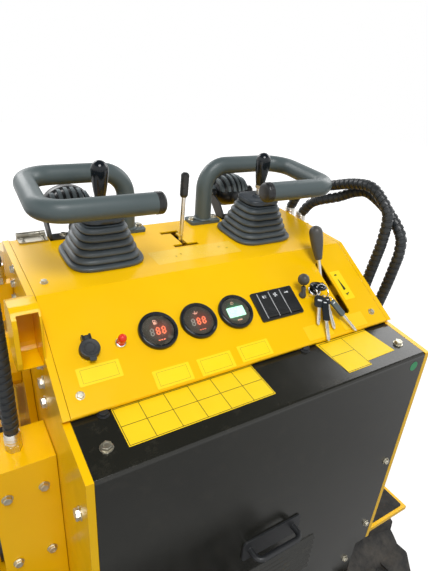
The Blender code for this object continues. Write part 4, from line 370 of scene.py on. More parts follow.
GRIT = moulded("anti_slip_grit", (0.018, 0.018, 0.018), (0.05, 0.05, 0.048), 0.85, 260.0, 0.0006)
STEEL = metal("worn_steel", (0.42, 0.41, 0.4), (0.26, 0.25, 0.24), 0.38, rust=0.35)
BRIGHT_STEEL = metal("ground_steel", (0.8, 0.77, 0.71), (0.62, 0.59, 0.53), 0.28, (1.0, 1.0, 0.06))
STAINLESS = metal("stainless_steel", (0.55, 0.52, 0.44), (0.4, 0.38, 0.32), 0.34, (0.05, 1.0, 1.0))
CHROME = metal("chrome_plate", (0.8, 0.8, 0.82), (0.7, 0.7, 0.72), 0.09, depth=0.000005)
ZINC = metal("zinc_plate", (0.66, 0.62, 0.5), (0.5, 0.47, 0.38), 0.3, rust=0.1)
CAST = metal("cast_iron", (0.2, 0.2, 0.2), (0.13, 0.13, 0.13), 0.55, depth=0.00015, rust=0.25)
BRASS = metal("key_brass", (0.6, 0.52, 0.36), (0.48, 0.42, 0.3), 0.28, (1.0, 0.05, 1.0))
LABEL = printed("label_yellow", (0.97, 0.72, 0.002), (0.95, 0.68, 0.002))
FILM = printed("film_yellow", (0.96, 0.61, 0.002), (0.94, 0.58, 0.002))
DECAL = printed("decal_yellow", (0.93, 0.64, 0.008), (0.9, 0.6, 0.006))
BROWN_INK = printed("brown_print", (0.42, 0.27, 0.01), (0.34, 0.21, 0.008))
INK = printed("black_print", (0.018, 0.016, 0.012), (0.035, 0.032, 0.026))
# A real glossy film on the top; its paler tint is a painted reflection.
REFLECTION_TINTED_FILM = printed("film_painted_reflection", (0.95, 0.62, 0.06), (0.94, 0.59, 0.04), 0.16)
WHITE_PRINT = printed("white_print", (0.72, 0.74, 0.76), (0.6, 0.62, 0.64))
DIAL = printed("dial_face", (0.11, 0.1, 0.075), (0.09, 0.086, 0.068), 0.3)
RED_DIGITS = glowing("red_digits", (1.0, 0.22, 0.1), 1.1)
PALE_DIGIT = glowing("pale_digit", (0.42, 0.42, 0.36), 0.3)
PINK_SIGN = glowing("pink_sign", (0.95, 0.5, 0.36), 0.55)
GREEN_LCD = glowing("green_display", (0.62, 1.0, 0.76), 0.95)
GREEN_SPOT = printed("green_dot", (0.04, 0.3, 0.12), (0.03, 0.24, 0.1))
GLASS = clear("dial_glass", (1.0, 1.0, 1.0))
RED_LENS = clear("red_lens", (0.92, 0.04, 0.014), 0.08, 0.12)
LAMP_LENS = clear("lamp_lens", (0.95, 0.96, 0.97), 0.04)
REFLECTOR = metal("lamp_reflector", (0.85, 0.85, 0.86), (0.8, 0.8, 0.8), 0.12)
# Near-black sheets that stand in for the shade inside holes, slots and sockets: painted shadow.
PAINTED_SHADOW = printed("deep_shadow", (0.006, 0.006, 0.006), (0.01, 0.01, 0.01), 0.8)


# Shapes


def rings_shape(rings, wrap=False):
    """A surface through rings of equally many points."""
    shape = bmesh.new()
    made = [[shape.verts.new(point) for point in ring] for ring in rings]
    pairs = list(zip(made, made[1:]))
    if wrap:
        pairs.append((made[-1], made[0]))
    for low, high in pairs:
        for i in range(len(low)):
            j = (i + 1) % len(low)
            shape.faces.new((low[i], low[j], high[j], high[i]))
    if not wrap:
        shape.faces.new(made[0][::-1])
        shape.faces.new(made[-1])
    return shape


def lathe(profile, steps=40):
    """A body turned about Z from (radius, height) points; a radius of 0 closes it with a point."""
    shape = bmesh.new()
    turns = [2 * math.pi * k / steps for k in range(steps)]
    made = []
    for radius, height in profile:
        if radius < 1e-7:
            made.append([shape.verts.new((0, 0, height))])
        else:
            made.append([shape.verts.new((radius * math.cos(a), radius * math.sin(a), height))
                         for a in turns])
    pairs = list(zip(made, made[1:]))
    if len(made[0]) > 1 and len(made[-1]) > 1:
        pairs.append((made[-1], made[0]))
    for low, high in pairs:
        for k in range(steps):
            j = (k + 1) % steps
            corners = [low[0]] if len(low) == 1 else [low[k], low[j]]
            corners += [high[0]] if len(high) == 1 else [high[j], high[k]]
            if len(corners) > 2:
                shape.faces.new(corners)
    return shape


def bevelled(shape, width, segments=2):
    """Rounds the edges whose faces meet at more than 35 degrees."""
    if width:
        sharp = math.radians(35)
        edges = [e for e in shape.edges if len(e.link_faces) == 2 and e.calc_face_angle(0) > sharp]
        bmesh.ops.bevel(shape, geom=edges, offset=width, segments=segments, profile=0.5, affect="EDGES")
    return shape


def prism(outline, low, high, bevel=0.0, segments=2):
    """An outline in X and Y pushed along Z."""
    return bevelled(rings_shape([[(a, b, end) for a, b in outline] for end in (low, high)]), bevel, segments)


def block(x, y, z, bevel=0.0, segments=2):
    return prism(((x[0], y[0]), (x[1], y[0]), (x[1], y[1]), (x[0], y[1])), z[0], z[1], bevel, segments)


def beam(outline, span, bevel=0.0):
    """An outline in Y and Z pushed along X between two ends."""
    return bevelled(rings_shape([[(end, a, b) for a, b in outline] for end in span]), bevel)


def hexagon(radius):
    return [(radius * math.cos(math.pi / 3 * k), radius * math.sin(math.pi / 3 * k)) for k in range(6)]


def solid(*points):
    """A lathe profile that is closed flat to the axis at both ends."""
    return [(0.0, points[0][1]), *points, (0.0, points[-1][1])]


def disc(radius, low, high):
    return solid((radius, low), (radius, high))


def round_outline(x, y, radius, steps=6):
    """A rectangle with round corners."""
    result = []
    corners = ((x[1], y[1], 0), (x[0], y[1], 1), (x[0], y[0], 2), (x[1], y[0], 3))
    for cx, cy, quarter in corners:
        sx = -1 if quarter in (0, 3) else 1
        sy = -1 if quarter in (0, 1) else 1
        for k in range(steps + 1):
            a = math.pi / 2 * (quarter + k / steps)
            result.append((cx + sx * radius + radius * math.cos(a), cy + sy * radius + radius * math.sin(a)))
    return result


def ball(radius, steps=24):
    half = steps // 2
    return lathe([(radius * math.sin(math.pi * k / half), -radius * math.cos(math.pi * k / half))
                  for k in range(half + 1)], steps)


def filleted(points, radii, steps=8):
    """An open path whose corners are each rounded to a radius."""
    result = []
    for i, here in enumerate(points):
        here = Vector(here)
        if radii[i] == 0 or i in (0, len(points) - 1):
            result.append(here)
            continue
        back = (Vector(points[i - 1]) - here).normalized()
        onward = (Vector(points[i + 1]) - here).normalized()
        half = back.angle(onward) / 2
        middle = (back + onward).normalized()
        centre = here + middle * (radii[i] / math.sin(half))
        span = math.pi / 2 - half
        side = (onward - back).normalized()
        for k in range(steps + 1):
            turn = -span + 2 * span * k / steps
            result.append(centre + radii[i] * (math.sin(turn) * side - math.cos(turn) * middle))
    return result


def travel(points):
    """For each point of a path: the point, and two directions across the path that don't twist."""
    points = [Vector(point) for point in points]
    across = None
    for i, here in enumerate(points):
        before = (here - points[i - 1]).normalized() if i else None
        after = (points[i + 1] - here).normalized() if i < len(points) - 1 else None
        along = ((before or after) + (after or before)).normalized()
        if across is None:
            across = along.orthogonal()
        across = (across - along * across.dot(along)).normalized()
        yield here, across, along.cross(across)


def tube(points, radius, steps=16):
    """A round bar along a path; radius is one number, or one for each point."""
    rings = []
    for i, (here, across, up) in enumerate(travel(points)):
        r = radius[i] if isinstance(radius, (list, tuple)) else radius
        turns = [2 * math.pi * k / steps for k in range(steps)]
        rings.append([here + r * (math.cos(a) * across + math.sin(a) * up) for a in turns])
    return rings_shape(rings)


def along_x(shape):
    """Turns a shape made about Z so that it lies about X."""
    shape.transform(spin(math.pi / 2, "Y"))
    return shape


class Piece:
    """A mesh gathered from shapes, each with its own material and place, that rides on one body."""

    def __init__(self, name):
        self.name = name
        self.mesh = bpy.data.meshes.new(name)
        self.whole = bmesh.new()
        self.materials = []

    def add(self, shape, material, place=IDENTITY):
        if material not in self.materials:
            self.materials.append(material)
        index = self.materials.index(material)
        shape.transform(place)
        bmesh.ops.recalc_face_normals(shape, faces=shape.faces)
        for face in shape.faces:
            face.material_index = index
        part = bpy.data.meshes.new("part")
        shape.to_mesh(part)
        shape.free()
        self.whole.from_mesh(part)
        bpy.data.meshes.remove(part)
        return self

    def turned(self, profile, material, place, steps):
        return self.add(lathe(profile, steps), material, place)

    def box(self, x, y, z, material, place, bevel=0.0, segments=2):
        return self.add(block(x, y, z, bevel, segments), material, place)

    def flat(self, outline, low, high, material, place, bevel=0.0, segments=2):
        return self.add(prism(outline, low, high, bevel, segments), material, place)

    def plate(self, x, y, corner, low, high, material, place, bevel=0.0, segments=2):
        """A flat plate with round corners."""
        return self.flat(round_outline(x, y, corner), low, high, material, place, bevel, segments)

    def bar(self, path, radius, material, place, steps):
        return self.add(tube(path, radius, steps), material, place)

    def made(self, angle=CURVED):
        self.whole.to_mesh(self.mesh)
        self.whole.free()
        for material in self.materials:
            self.mesh.materials.append(material)
        self.mesh.shade_smooth()
        self.mesh.set_sharp_from_angle(angle=angle)
        obj = bpy.data.objects.new(self.name, self.mesh)
        bpy.context.scene.collection.objects.link(obj)
        return obj

    def ride(self, body, replaces=(), slot=None):
        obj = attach(self.made(), body)
        if replaces:
            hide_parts(*replaces)
        return obj


def shift(x, y, z=0.0):
    return Matrix.Translation((x, y, z))


def facing(point, direction):
    """A place at a point whose Z looks along a direction."""
    return Matrix.Translation(point) @ Vector(direction).to_track_quat("Z", "Y").to_matrix().to_4x4()


def console_spot(x, y, z, direction):
    return facing(CONSOLE @ Vector((x, y, z)), direction)


def add_bolt(piece, place, size=0.008, material=None, turn=0.4):
    """A hexagon bolt head on its washer; size is the thread's diameter."""
    material = material or ZINC
    high = 0.16 * size
    outer = 1.12 * size
    piece.turned(solid((outer, 0.0), (outer * 1.02, high * 0.5), (outer, high)), material, place, 24)
    radius = 0.95 * size
    levels = ((1.0, 0.0), (1.0, 0.52), (0.9, 0.66), (0.55, 0.68), (0.5, 0.64))
    corners = [turn + math.pi / 3 * k for k in range(6)]
    rings = [[(radius * share * math.cos(a), radius * share * math.sin(a), high + rise * size)
              for a in corners] for share, rise in levels]
    piece.add(rings_shape(rings), material, place)


def add_bolt_circle(piece, place, radius, count, size, start=0.5):
    """Bolts round a middle, turned by a share of their step."""
    for k in range(count):
        a = 2 * math.pi * (k + start) / count
        add_bolt(piece, place @ shift(radius * math.cos(a), radius * math.sin(a)), size, turn=a)


def add_screw(piece, place, radius=0.004, material=None):
    """A domed screw head with a hexagon socket."""
    material = material or ZINC
    profile = [(0.0, 0.0), (radius, 0.0), (radius, 0.18 * radius), (0.86 * radius, 0.42 * radius),
               (0.6 * radius, 0.58 * radius), (0.0, 0.62 * radius)]
    piece.turned(profile, material, place, 20)
    # The socket is a dark hexagon: painted shade where its recess is.
    socket = hexagon(0.36 * radius)
    piece.flat(socket, 0.5 * radius, 0.635 * radius, PAINTED_SHADOW, place)


# Hoses with their spiral guard, which go back into the machine at both ends

HOSE_RADIUS = 0.0092
HOSE_SPACING = 0.006
GUARD_WIDE = 0.0088
GUARD_HIGH = 0.0016
GUARD_PITCH = 0.0118
GUARD_END = 0.034
HOSE_ROUTES = {
    "hose_right_outer": (
        (0.3195, 0.188, 1.085), (0.3195, 0.188, 1.112), (0.324, 0.172, 1.15), (0.334, 0.14, 1.174),
        (0.345, 0.093, 1.189), (0.35, 0.045, 1.204), (0.35, -0.002, 1.209), (0.35, -0.034, 1.192),
        (0.35, -0.055, 1.168), (0.35, -0.057, 1.12), (0.35, -0.051, 1.073), (0.35, -0.046, 1.04),
        (0.35, -0.042, 1.012), (0.35, -0.036, 0.97), (0.35, -0.03, 0.925), (0.35, -0.03, 0.89),
    ),
    "hose_right_inner": (
        (0.3195, 0.15, 1.085), (0.3195, 0.15, 1.107), (0.327, 0.126, 1.144), (0.356, 0.082, 1.166),
        (0.368, 0.05, 1.184), (0.374, 0.018, 1.189), (0.376, -0.035, 1.166), (0.375, -0.075, 1.132),
        (0.3745, -0.083, 1.1), (0.374, -0.081, 1.071), (0.374, -0.074, 1.02), (0.372, -0.066, 0.967),
        (0.37, -0.062, 0.925), (0.37, -0.062, 0.89),
    ),
    "hose_left": (
        (-0.3195, 0.15, 1.06), (-0.3195, 0.15, 1.084), (-0.327, 0.129, 1.13), (-0.337, 0.088, 1.163),
        (-0.346, 0.03, 1.181), (-0.35, -0.02, 1.172), (-0.35, -0.046, 1.14), (-0.35, -0.054, 1.1),
        (-0.35, -0.056, 1.04), (-0.35, -0.054, 0.98), (-0.35, -0.05, 0.925), (-0.35, -0.05, 0.89),
    ),
}


def smooth_route(route, spacing):
    """Evenly spaced points on a Catmull-Rom curve through a route."""
    points = [Vector(p) for p in route]
    points.insert(1, points[0].lerp(points[1], 0.5))
    points.insert(-1, points[-1].lerp(points[-2], 0.5))
    fine = []
    for i in range(len(points) - 1):
        p0, p1 = points[max(i - 1, 0)], points[i]
        p2, p3 = points[i + 1], points[min(i + 2, len(points) - 1)]
        for k in range(16):
            u = k / 16
            fine.append(0.5 * (2 * p1 + (p2 - p0) * u + (2 * p0 - 5 * p1 + 4 * p2 - p3) * u * u
                               + (3 * p1 - p0 - 3 * p2 + p3) * u ** 3))
    fine.append(points[-1])
    total = sum((b - a).length for a, b in zip(fine, fine[1:]))
    count = round(total / spacing)
    result, walked, target = [fine[0]], 0.0, total / count
    for a, b in zip(fine, fine[1:]):
        step = (b - a).length
        while walked + step >= target - 1e-9 and len(result) < count:
            result.append(a.lerp(b, (target - walked) / step))
            target += total / count
        walked += step
    result.append(fine[-1])
    return result


def path_length(points):
    return sum((b - a).length for a, b in zip(points, points[1:]))


def add_spiral(piece, path, material, start, end):
    """A flat strip wound round a hose between two distances along it."""
    total = path_length(path)
    stations = list(travel(path))
    spacing = total / (len(path) - 1)
    steps = int((end - start) / GUARD_PITCH * 18)
    rings = []
    for i in range(steps + 1):
        distance = start + (end - start) * i / steps
        index = min(int(distance / spacing), len(path) - 2)
        share = distance / spacing - index
        here = stations[index][0].lerp(stations[index + 1][0], share)
        across = stations[index][1].lerp(stations[index + 1][1], share).normalized()
        up = stations[index][2].lerp(stations[index + 1][2], share).normalized()
        along = across.cross(up)
        turn = 2 * math.pi * (distance - start) / GUARD_PITCH
        out = math.cos(turn) * across + math.sin(turn) * up
        lean = (along * math.cos(0.35) + out.cross(along) * math.sin(0.35)).normalized()
        low, high = HOSE_RADIUS - 0.0006, HOSE_RADIUS + GUARD_HIGH
        half = GUARD_WIDE / 2
        rings.append([here + out * low - lean * half, here + out * low + lean * half,
                      here + out * high + lean * half * 0.82, here + out * high - lean * half * 0.82])
    piece.add(rings_shape(rings), material)


def add_coupling(piece, point, direction):
    """The crimped ferrule and hexagon nut at a hose's end; direction leads into the hose."""
    place = facing(point, direction)
    nut_high = 0.0105
    ferrule = solid((0.0105, 0.0), (0.0112, 0.001), (0.0112, 0.0195), (0.0104, 0.021))
    piece.turned(ferrule, BRIGHT_STEEL, place @ shift(0, 0, nut_high), 28)
    for k in range(3):
        z = 0.0135 + 0.005 * k
        piece.turned([(0.0108, z), (0.0118, z + 0.0012), (0.0108, z + 0.0024)], BRIGHT_STEEL, place, 28)
    piece.flat(hexagon(0.0118), 0.0, nut_high, ZINC, place, 0.0008)


def make_hoses():
    for name, route in HOSE_ROUTES.items():
        path = [MACHINE @ p for p in smooth_route(route, HOSE_SPACING)]
        length = path_length(path)
        piece = Piece(f"{name}_dressed")
        piece.add(tube(path, HOSE_RADIUS, 20), RUBBER)
        add_spiral(piece, path, HOSE_GUARD, GUARD_END, length - GUARD_END)
        hose = piece.ride("machine_body", (name,), "rubber")
        ends = Piece(f"{name}_couplings")
        add_coupling(ends, path[0], path[1] - path[0])
        add_coupling(ends, path[-1], path[-2] - path[-1])
        couplings = ends.ride("machine_body")
        tuple(path[0])
        [tuple(p) for p in path]


# Console fittings: places on the face, x from the middle, the rest down the slope from the crease
SOCKET_X = -0.243
LAMP_X = -0.1985
CHOKE_X = 0.1376
THROTTLE_SLOT = (0.035, 0.147)

GAUGES = {"gauge_fuel": (-0.14, 0.094), "gauge_oil": (-0.072, 0.094), "gauge_hours": (-0.004, 0.094)}


def add_digit(piece, place, height, material):
    """A seven-segment figure with all its segments lit, lying in the place's XY plane."""
    wide = height * 0.52
    bar = height * 0.15
    half = bar / 2
    lean = Matrix.Identity(4)
    lean[0][1] = 0.1
    top = height / 2 - half
    side = wide / 2 - half
    level, upright = side - bar * 0.12, top / 2 - bar * 0.12
    for x, y, long in ((0, top, level), (side, top / 2, upright), (side, -top / 2, upright), (0, -top, level),
                       (-side, -top / 2, upright), (-side, top / 2, upright), (0, 0.0, level)):
        outline = ((-long, 0), (-long + half, -half), (long - half, -half), (long, 0), (long - half, half),
                   (-long + half, half))
        if long == upright:
            outline = ((0, -long), (half, -long + half), (half, long - half), (0, long), (-half, long - half),
                       (-half, -long + half))
        piece.flat(outline, 0.0, 0.00025, material, place @ lean @ shift(x, y))


def add_fuel_icon(piece, place, material):
    piece.box((-0.0022, 0.001), (-0.0026, 0.003), (0, 0.0002), material, place)
    piece.box((-0.0014, 0.0002), (0.0008, 0.0022), (0.0001, 0.0003), DIAL, place)
    hose = [(0.0012, -0.0018), (0.0022, -0.0018), (0.0022, 0.0012), (0.0013, 0.0024)]
    for (x0, y0), (x1, y1) in zip(hose, hose[1:]):
        piece.bar([(x0, y0, 0.0001), (x1, y1, 0.0001)], 0.00025, material, place, 6)


def add_oil_icon(piece, place, material):
    can = ((-0.002, -0.0016), (0.0016, -0.0016), (0.0036, 0.001), (0.003, 0.0014), (0.0014, -0.0002),
           (-0.002, 0.0004))
    piece.flat(can, 0, 0.0002, material, place)
    piece.bar([(-0.002, -0.0004, 0.0001), (-0.0036, 0.0008, 0.0001)], 0.00025, material, place, 6)
    piece.box((-0.0006, 0.0002), (0.0004, 0.0026), (0, 0.0002), material, place)


def add_clock_icon(piece, place, material):
    ring = [(0.0024 * math.cos(a), 0.0024 * math.sin(a), 0.0001)
            for a in (2 * math.pi * k / 20 for k in range(21))]
    piece.bar(ring, 0.00028, material, place, 6)
    piece.box((-0.0002, 0.0002), (0, 0.0016), (0, 0.0002), material, place)
    piece.box((0, 0.0013), (-0.0002, 0.0002), (0, 0.0002), material, place)


def add_hours_face(piece, mark):
    """The display, the clock's sign and a dash of the hour meter."""
    piece.plate((-0.0155, 0.0155), (-0.0098, 0.0078), 0.001, 0.0001, 0.0004, GREEN_LCD, mark)
    add_clock_icon(piece, mark @ shift(-0.001, 0.015, 0.0001), PINK_SIGN)
    piece.box((-0.004, 0.0046), (-0.0168, -0.0146), (0.0001, 0.0002), PINK_SIGN, mark)


def add_level_face(piece, mark, icon):
    """The sign, three lit figures and the unit's dashes of a fuel or oil gauge."""
    icon(piece, mark @ shift(-0.001, 0.013) @ Matrix.Scale(1.3, 4), PINK_SIGN)
    figures = (PALE_DIGIT, RED_DIGITS, RED_DIGITS)
    add_digits(piece, mark @ shift(-0.001, -0.0015), 0.0122, 0.0092, figures)
    for k in (-1, 0, 1):
        dash = mark @ shift(k * 0.004, -0.016)
        piece.box((-0.0014, 0.0014), (-0.0007, 0.0007), (0, 0.0002), RED_DIGITS, dash)


def make_gauges():
    """Bezel, housing, dial, studs and glass of each gauge, with its plain signs."""
    bezel = [(0.0, 0.0004), (0.0296, 0.0004), (0.03, 0.0009), (0.03, 0.0044), (0.0297, 0.0058),
             (0.0289, 0.007), (0.0277, 0.0077), (0.0268, 0.0077), (0.0262, 0.0071), (0.0257, 0.007),
             (0.0251, 0.0064), (0.024, 0.0038), (0.0, 0.0038)]
    glass = [(0.0, 0.0056), (0.0246, 0.0056), (0.0246, 0.006), (0.0, 0.0063)]
    dial_top = 0.0039
    for name, (x, s) in GAUGES.items():
        place = FACE @ shift(x, -s)
        hours = name == "gauge_hours"
        middle = place @ Vector((0.0 if hours else 0.004, 0.0, 0.004))
        dial = lit_dial(f"{name}_dial", middle, (0.03, 0.3, 0.13) if hours else (0.26, 0.06, 0.04), 0.019)
        piece = Piece(f"{name}_dressed")
        piece.turned(bezel, GLOSS_PLASTIC, place, 72)
        piece.turned(solid((0.0255, -0.045), (0.026, -0.044), (0.026, 0.0004)), PLASTIC, place, 48)
        piece.turned(disc(0.0239, 0.0034, dial_top), dial, place, 48)
        for dx in (-0.012, 0.012):
            piece.turned(disc(0.003, -0.045, -0.0447), ZINC, place @ shift(dx, 0), 8)
        mark = place @ shift(0, 0, dial_top)
        if hours:
            add_hours_face(piece, mark)
        else:
            add_level_face(piece, mark, add_fuel_icon if name == "gauge_fuel" else add_oil_icon)
        piece.turned(glass, GLASS, place, 48)
        piece.ride("console", (name,), "black_plastic")


def add_digits(piece, place, height, step, materials):
    start = -(len(materials) - 1) / 2 * step
    for i, material in enumerate(materials):
        add_digit(piece, place @ shift(start + i * step, 0), height, material)


def make_socket():
    """The power socket with its bore, contact and hinge ears, and its rubber lid."""
    place = FACE @ shift(SOCKET_X, -0.098)
    body = Piece("power_socket_dressed")
    shell = [(0.0105, -0.03), (0.0125, -0.03), (0.0125, 0.0004), (0.0135, 0.0004), (0.014, 0.001),
             (0.014, 0.0058), (0.0134, 0.0068), (0.012, 0.007), (0.0108, 0.0066), (0.0105, 0.0055)]
    liner = [(0.0105, -0.0284), (0.0105, 0.005), (0.0099, 0.005), (0.0099, -0.0284)]
    contact = [(0.0, -0.0286), (0.0026, -0.0286), (0.0022, -0.02), (0.0, -0.0195)]
    for profile, material, steps in ((shell, PLASTIC, 48), (disc(0.0115, -0.032, -0.0285), PLASTIC, 32),
                                     (liner, BRIGHT_STEEL, 40), (contact, BRASS, 16)):
        body.turned(profile, material, place, steps)
    for low in (0.0036, -0.0064):
        body.box((low, low + 0.0028), (0.0112, 0.0208), (0.0004, 0.01), PLASTIC, place, 0.0005)
    body.ride("console", ("power_socket",), "black_plastic")
    cap = Piece("socket_cap_dressed")
    dome = [(0.0, 0.0074), (0.0138, 0.0074), (0.014, 0.0078), (0.014, 0.01), (0.0134, 0.011),
            (0.0122, 0.0114), (0.0112, 0.011), (0.0104, 0.0108), (0.0, 0.011)]
    cap.turned(dome, RUBBER, place, 48)
    cap.turned([(0.0064, 0.0108), (0.0068, 0.0114), (0.0074, 0.0108)], RUBBER, place, 32)
    for k in range(12):
        tooth = place @ spin(math.pi / 6 * k, "Z")
        cap.box((-0.0005, 0.0005), (0.0082, 0.01), (0.0106, 0.0113), RUBBER, tooth, 0.0002, 1)
    cap.box((-0.003, 0.003), (0.011, 0.0178), (0.0074, 0.0103), RUBBER, place, 0.0006)
    cap.add(along_x(lathe(disc(0.0024, -0.003, 0.003), 20)), RUBBER, place @ shift(0, 0.018, 0.0075))
    cap.plate((-0.0045, 0.0045), (-0.0188, -0.01), 0.0022, 0.0074, 0.0104, RUBBER, place, 0.0006)
    cap.ride("socket_lid", ("socket_cap",), "rubber")


def make_lamp():
    place = FACE @ shift(LAMP_X, -0.098)
    lamp = Piece("indicator_lamp_dressed")
    lamp.turned(solid((0.0045, -0.018), (0.0045, 0.0004), (0.0078, 0.0004), (0.008, 0.001), (0.008, 0.0024),
                    (0.0074, 0.0036), (0.0066, 0.0042), (0.0062, 0.0042), (0.0062, 0.002)), CHROME, place, 36)
    radius, shoulder = 0.0061, 0.0155
    dome = [(0.0, 0.0022), (radius, 0.0022), (radius, 0.0075), (radius * 0.95, 0.008),
            (radius * 0.95, 0.0088), (radius, 0.0094), (radius, shoulder)]
    dome += [(radius * math.cos(a), shoulder + radius * math.sin(a))
             for a in (math.pi / 2 * k / 8 for k in range(1, 8))]
    lamp.turned(dome + [(0.0, shoulder + radius)], RED_LENS, place, 36)
    lamp.ride("console", ("indicator_lamp",), "red_lens")


BEZEL_MIDDLE = 0.097
ROCKER_START = 0.0475
ROCKER_WIDE = (0.122 - 0.0035 - ROCKER_START) / 3
ROCKER_REST = math.radians(-7)


def add_rocker_sign(piece, name, place):
    """The plain sign on a rocker: a lamp with its rays, a fan or a horn."""
    ink = 0.0002
    if name == "lamp":
        turns = (math.pi / 2 + math.pi * i / 10 for i in range(11))
        bowl = [(0.003 * math.cos(a) - 0.0004, 0.0028 * math.sin(a)) for a in turns]
        piece.flat(bowl, 0, ink, WHITE_PRINT, place)
        for i in (-1, 0, 1):
            piece.box((0.0006, 0.0042), (i * 0.0018 - 0.0004, i * 0.0018 + 0.0004), (0, ink), WHITE_PRINT,
                      place)
    elif name == "fan":
        blade = [(0.0, 0.0), (0.0016, 0.001), (0.0028, 0.0034), (0.0002, 0.004)]
        for i in range(4):
            piece.flat(blade, 0, ink, WHITE_PRINT, place @ spin(math.pi / 2 * i, "Z"))
    else:
        horn = ((-0.004, -0.0009), (0.0012, -0.0009), (0.004, -0.0022), (0.004, 0.0022), (0.0012, 0.0009),
                (-0.004, 0.0009))
        piece.flat(horn, 0, ink, WHITE_PRINT, place)


def make_rockers():
    """Three rockers, each nearly flush in its off position, between thin white painted highlights on the
    bezel's ribs.
    """
    # Painted highlights: thin white strips where light catches the edges of the bezel's ribs.
    lines = Piece("switch_bezel_painted_highlights")
    for k in range(3):
        x = ROCKER_START + ROCKER_WIDE * k
        span = (-BEZEL_MIDDLE - 0.0235, -BEZEL_MIDDLE + 0.0235)
        lines.box((x - 0.00028, x + 0.00028), span, (0.0034, 0.0052), WHITE_PRINT, FACE)
    lines.ride("console")
    side = [(-0.0228, 0.002), (-0.0228, 0.0058), (-0.0222, 0.0066), (-0.006, 0.0078), (0.0, 0.008),
            (0.006, 0.0084), (0.0214, 0.0103), (0.022, 0.0097), (0.022, 0.004), (0.0095, -0.006),
            (-0.0095, -0.006)]
    for k, name in enumerate(("lamp", "fan", "horn")):
        rocker = Piece(f"rocker_{name}_dressed")
        low = ROCKER_START + ROCKER_WIDE * k + 0.0007
        high = low + ROCKER_WIDE - 0.0014
        pivot = FACE @ shift(0, -BEZEL_MIDDLE, -0.004) @ spin(ROCKER_REST, "X")
        rocker.add(beam(side, (low, high), 0.0004), PLASTIC, pivot)
        for i in range(3):
            rib = (-0.017 + 0.0022 * i, -0.016 + 0.0022 * i)
            rocker.box((low + 0.004, high - 0.004), rib, (0.0065, 0.00735), PLASTIC, pivot, 0.0002, 1)
        sign_place = pivot @ shift((low + high) / 2, 0.015, 0.00955) @ spin(-ROCKER_REST, "X")
        add_rocker_sign(rocker, name, sign_place)
        rocker.ride(f"{name}_switch", (f"rocker_{name}",), "black_plastic")


# Ignition lock, key and the spare keys on the ring

LOCK = (0.163, 0.092)
KEY_BOW = 0.027
KEY_HEAD = 0.0205


def key_blade(start, end):
    """The outline of a key's blade along +Y, with a cut edge."""
    wide = 0.0034
    points = [(-wide, start)]
    steps = 9
    length = end - start
    for k in range(steps):
        y = start + length * (0.14 + 0.74 * k / steps)
        dip = random.uniform(0.0003, 0.0015)
        points += [(-wide + dip, y), (-wide + dip, y + length * 0.74 / steps * 0.6)]
    points += [(-wide * 0.3, end), (wide * 0.3, end), (wide, end - length * 0.08), (wide, start)]
    return points


def make_ignition():
    x, s = LOCK
    place = FACE @ shift(x, -s)
    lock = Piece("ignition_lock_dressed")
    lock.turned(solid((0.0105, -0.035), (0.0105, 0.0004), (0.0125, 0.0004), (0.0125, 0.0062),
                      (0.0121, 0.0084), (0.011, 0.0097), (0.0098, 0.01), (0.009, 0.0094), (0.0088, 0.0086)),
                CHROME, place, 48)
    lock.turned(solid((0.0088, 0.0084), (0.0086, 0.0091)), GLOSS_PLASTIC, place, 36)
    lock.ride("console", ("ignition_lock",), "chrome")
    key = Piece("ignition_key_dressed")
    key.turned([(0.0, 0.0088), (0.0052, 0.0088), (0.005, 0.0108), (0.0, 0.011)], CHROME, place, 28)
    key.box((-0.0036, 0.0036), (-0.0011, 0.0011), (0.01, KEY_HEAD), BRASS, place, 0.0003)
    level = place @ shift(0, 0, KEY_HEAD) @ spin(-FACE_TILT, "X")
    head = [(0.0, -0.0024), (0.0138, -0.0024), (0.015, -0.0014), (0.0152, 0.0006), (0.0144, 0.002),
            (0.012, 0.0026), (0.0108, 0.0022), (0.0, 0.002)]
    key.turned(head, GLOSS_PLASTIC, level, 48)
    key.box((-0.0105, 0.0105), (-0.0016, 0.0016), (0.0018, 0.0052), GLOSS_PLASTIC, level, 0.0007)
    key.box((-0.0005, 0.0005), (-0.011, -0.002), (0.0019, 0.0026), CHROME, level, 0.0002)
    key.ride("key", ("ignition_key",), "black_plastic")


# Spare keys: place round the ring, tip on the face, grip's start, end and half width, and the grip's material
SPARE_KEYS = (
    (-55, (0.1343, 0.1544, 0.004), 0.0, 0.021, 0.0095, GLOSS_PLASTIC),
    (-8, (0.1376, 0.1858, 0.003), 0.004, 0.042, 0.0062, GLOSS_PLASTIC),
    (14, (0.1624, 0.1689, 0.003), 0.0, 0.014, 0.006, GLOSS_PLASTIC),
    (36, (0.2048, 0.1832, 0.003), 0.012, 0.045, 0.0062, GREY_PAINT),
)


def add_spare_key(bunch, hole, tip, start, end, half, grip):
    """One key from its hole on the ring to its tip: blade, groove, bow with its inset, and any link."""
    heading = (tip - hole).normalized()
    across = heading.cross(Vector((0, 0, 1))).normalized()
    up = across.cross(heading).normalized()
    length = (tip - hole).length
    place = FACE @ Matrix.Translation(hole) @ Matrix((across, heading, up)).transposed().to_4x4()
    bunch.flat(key_blade(end - 0.006, length), -0.001, 0.001, BRIGHT_STEEL, place)
    bunch.box((-0.0007, 0.0007), (end, length - 0.004), (0.0009, 0.0012), STEEL, place)
    bow = round_outline((-half, half), (start, end), half * 0.6)
    bunch.flat(bow, -0.0018, 0.0018, grip, place, 0.0007)
    inset = round_outline((-half * 0.5, half * 0.5), (start + half * 0.75, start + half * 1.05),
                          half * 0.12, 4)
    bunch.flat(inset, 0.0016, 0.0019, WHITE_PRINT, place)
    link = 0.003
    if start > link:
        turns = [2 * math.pi * k / 24 for k in range(25)]
        loop = [(0.0042 * math.cos(a), start - link + 0.005 * math.sin(a), 0.0) for a in turns]
        bunch.bar(loop, 0.0008, CHROME, place, 8)


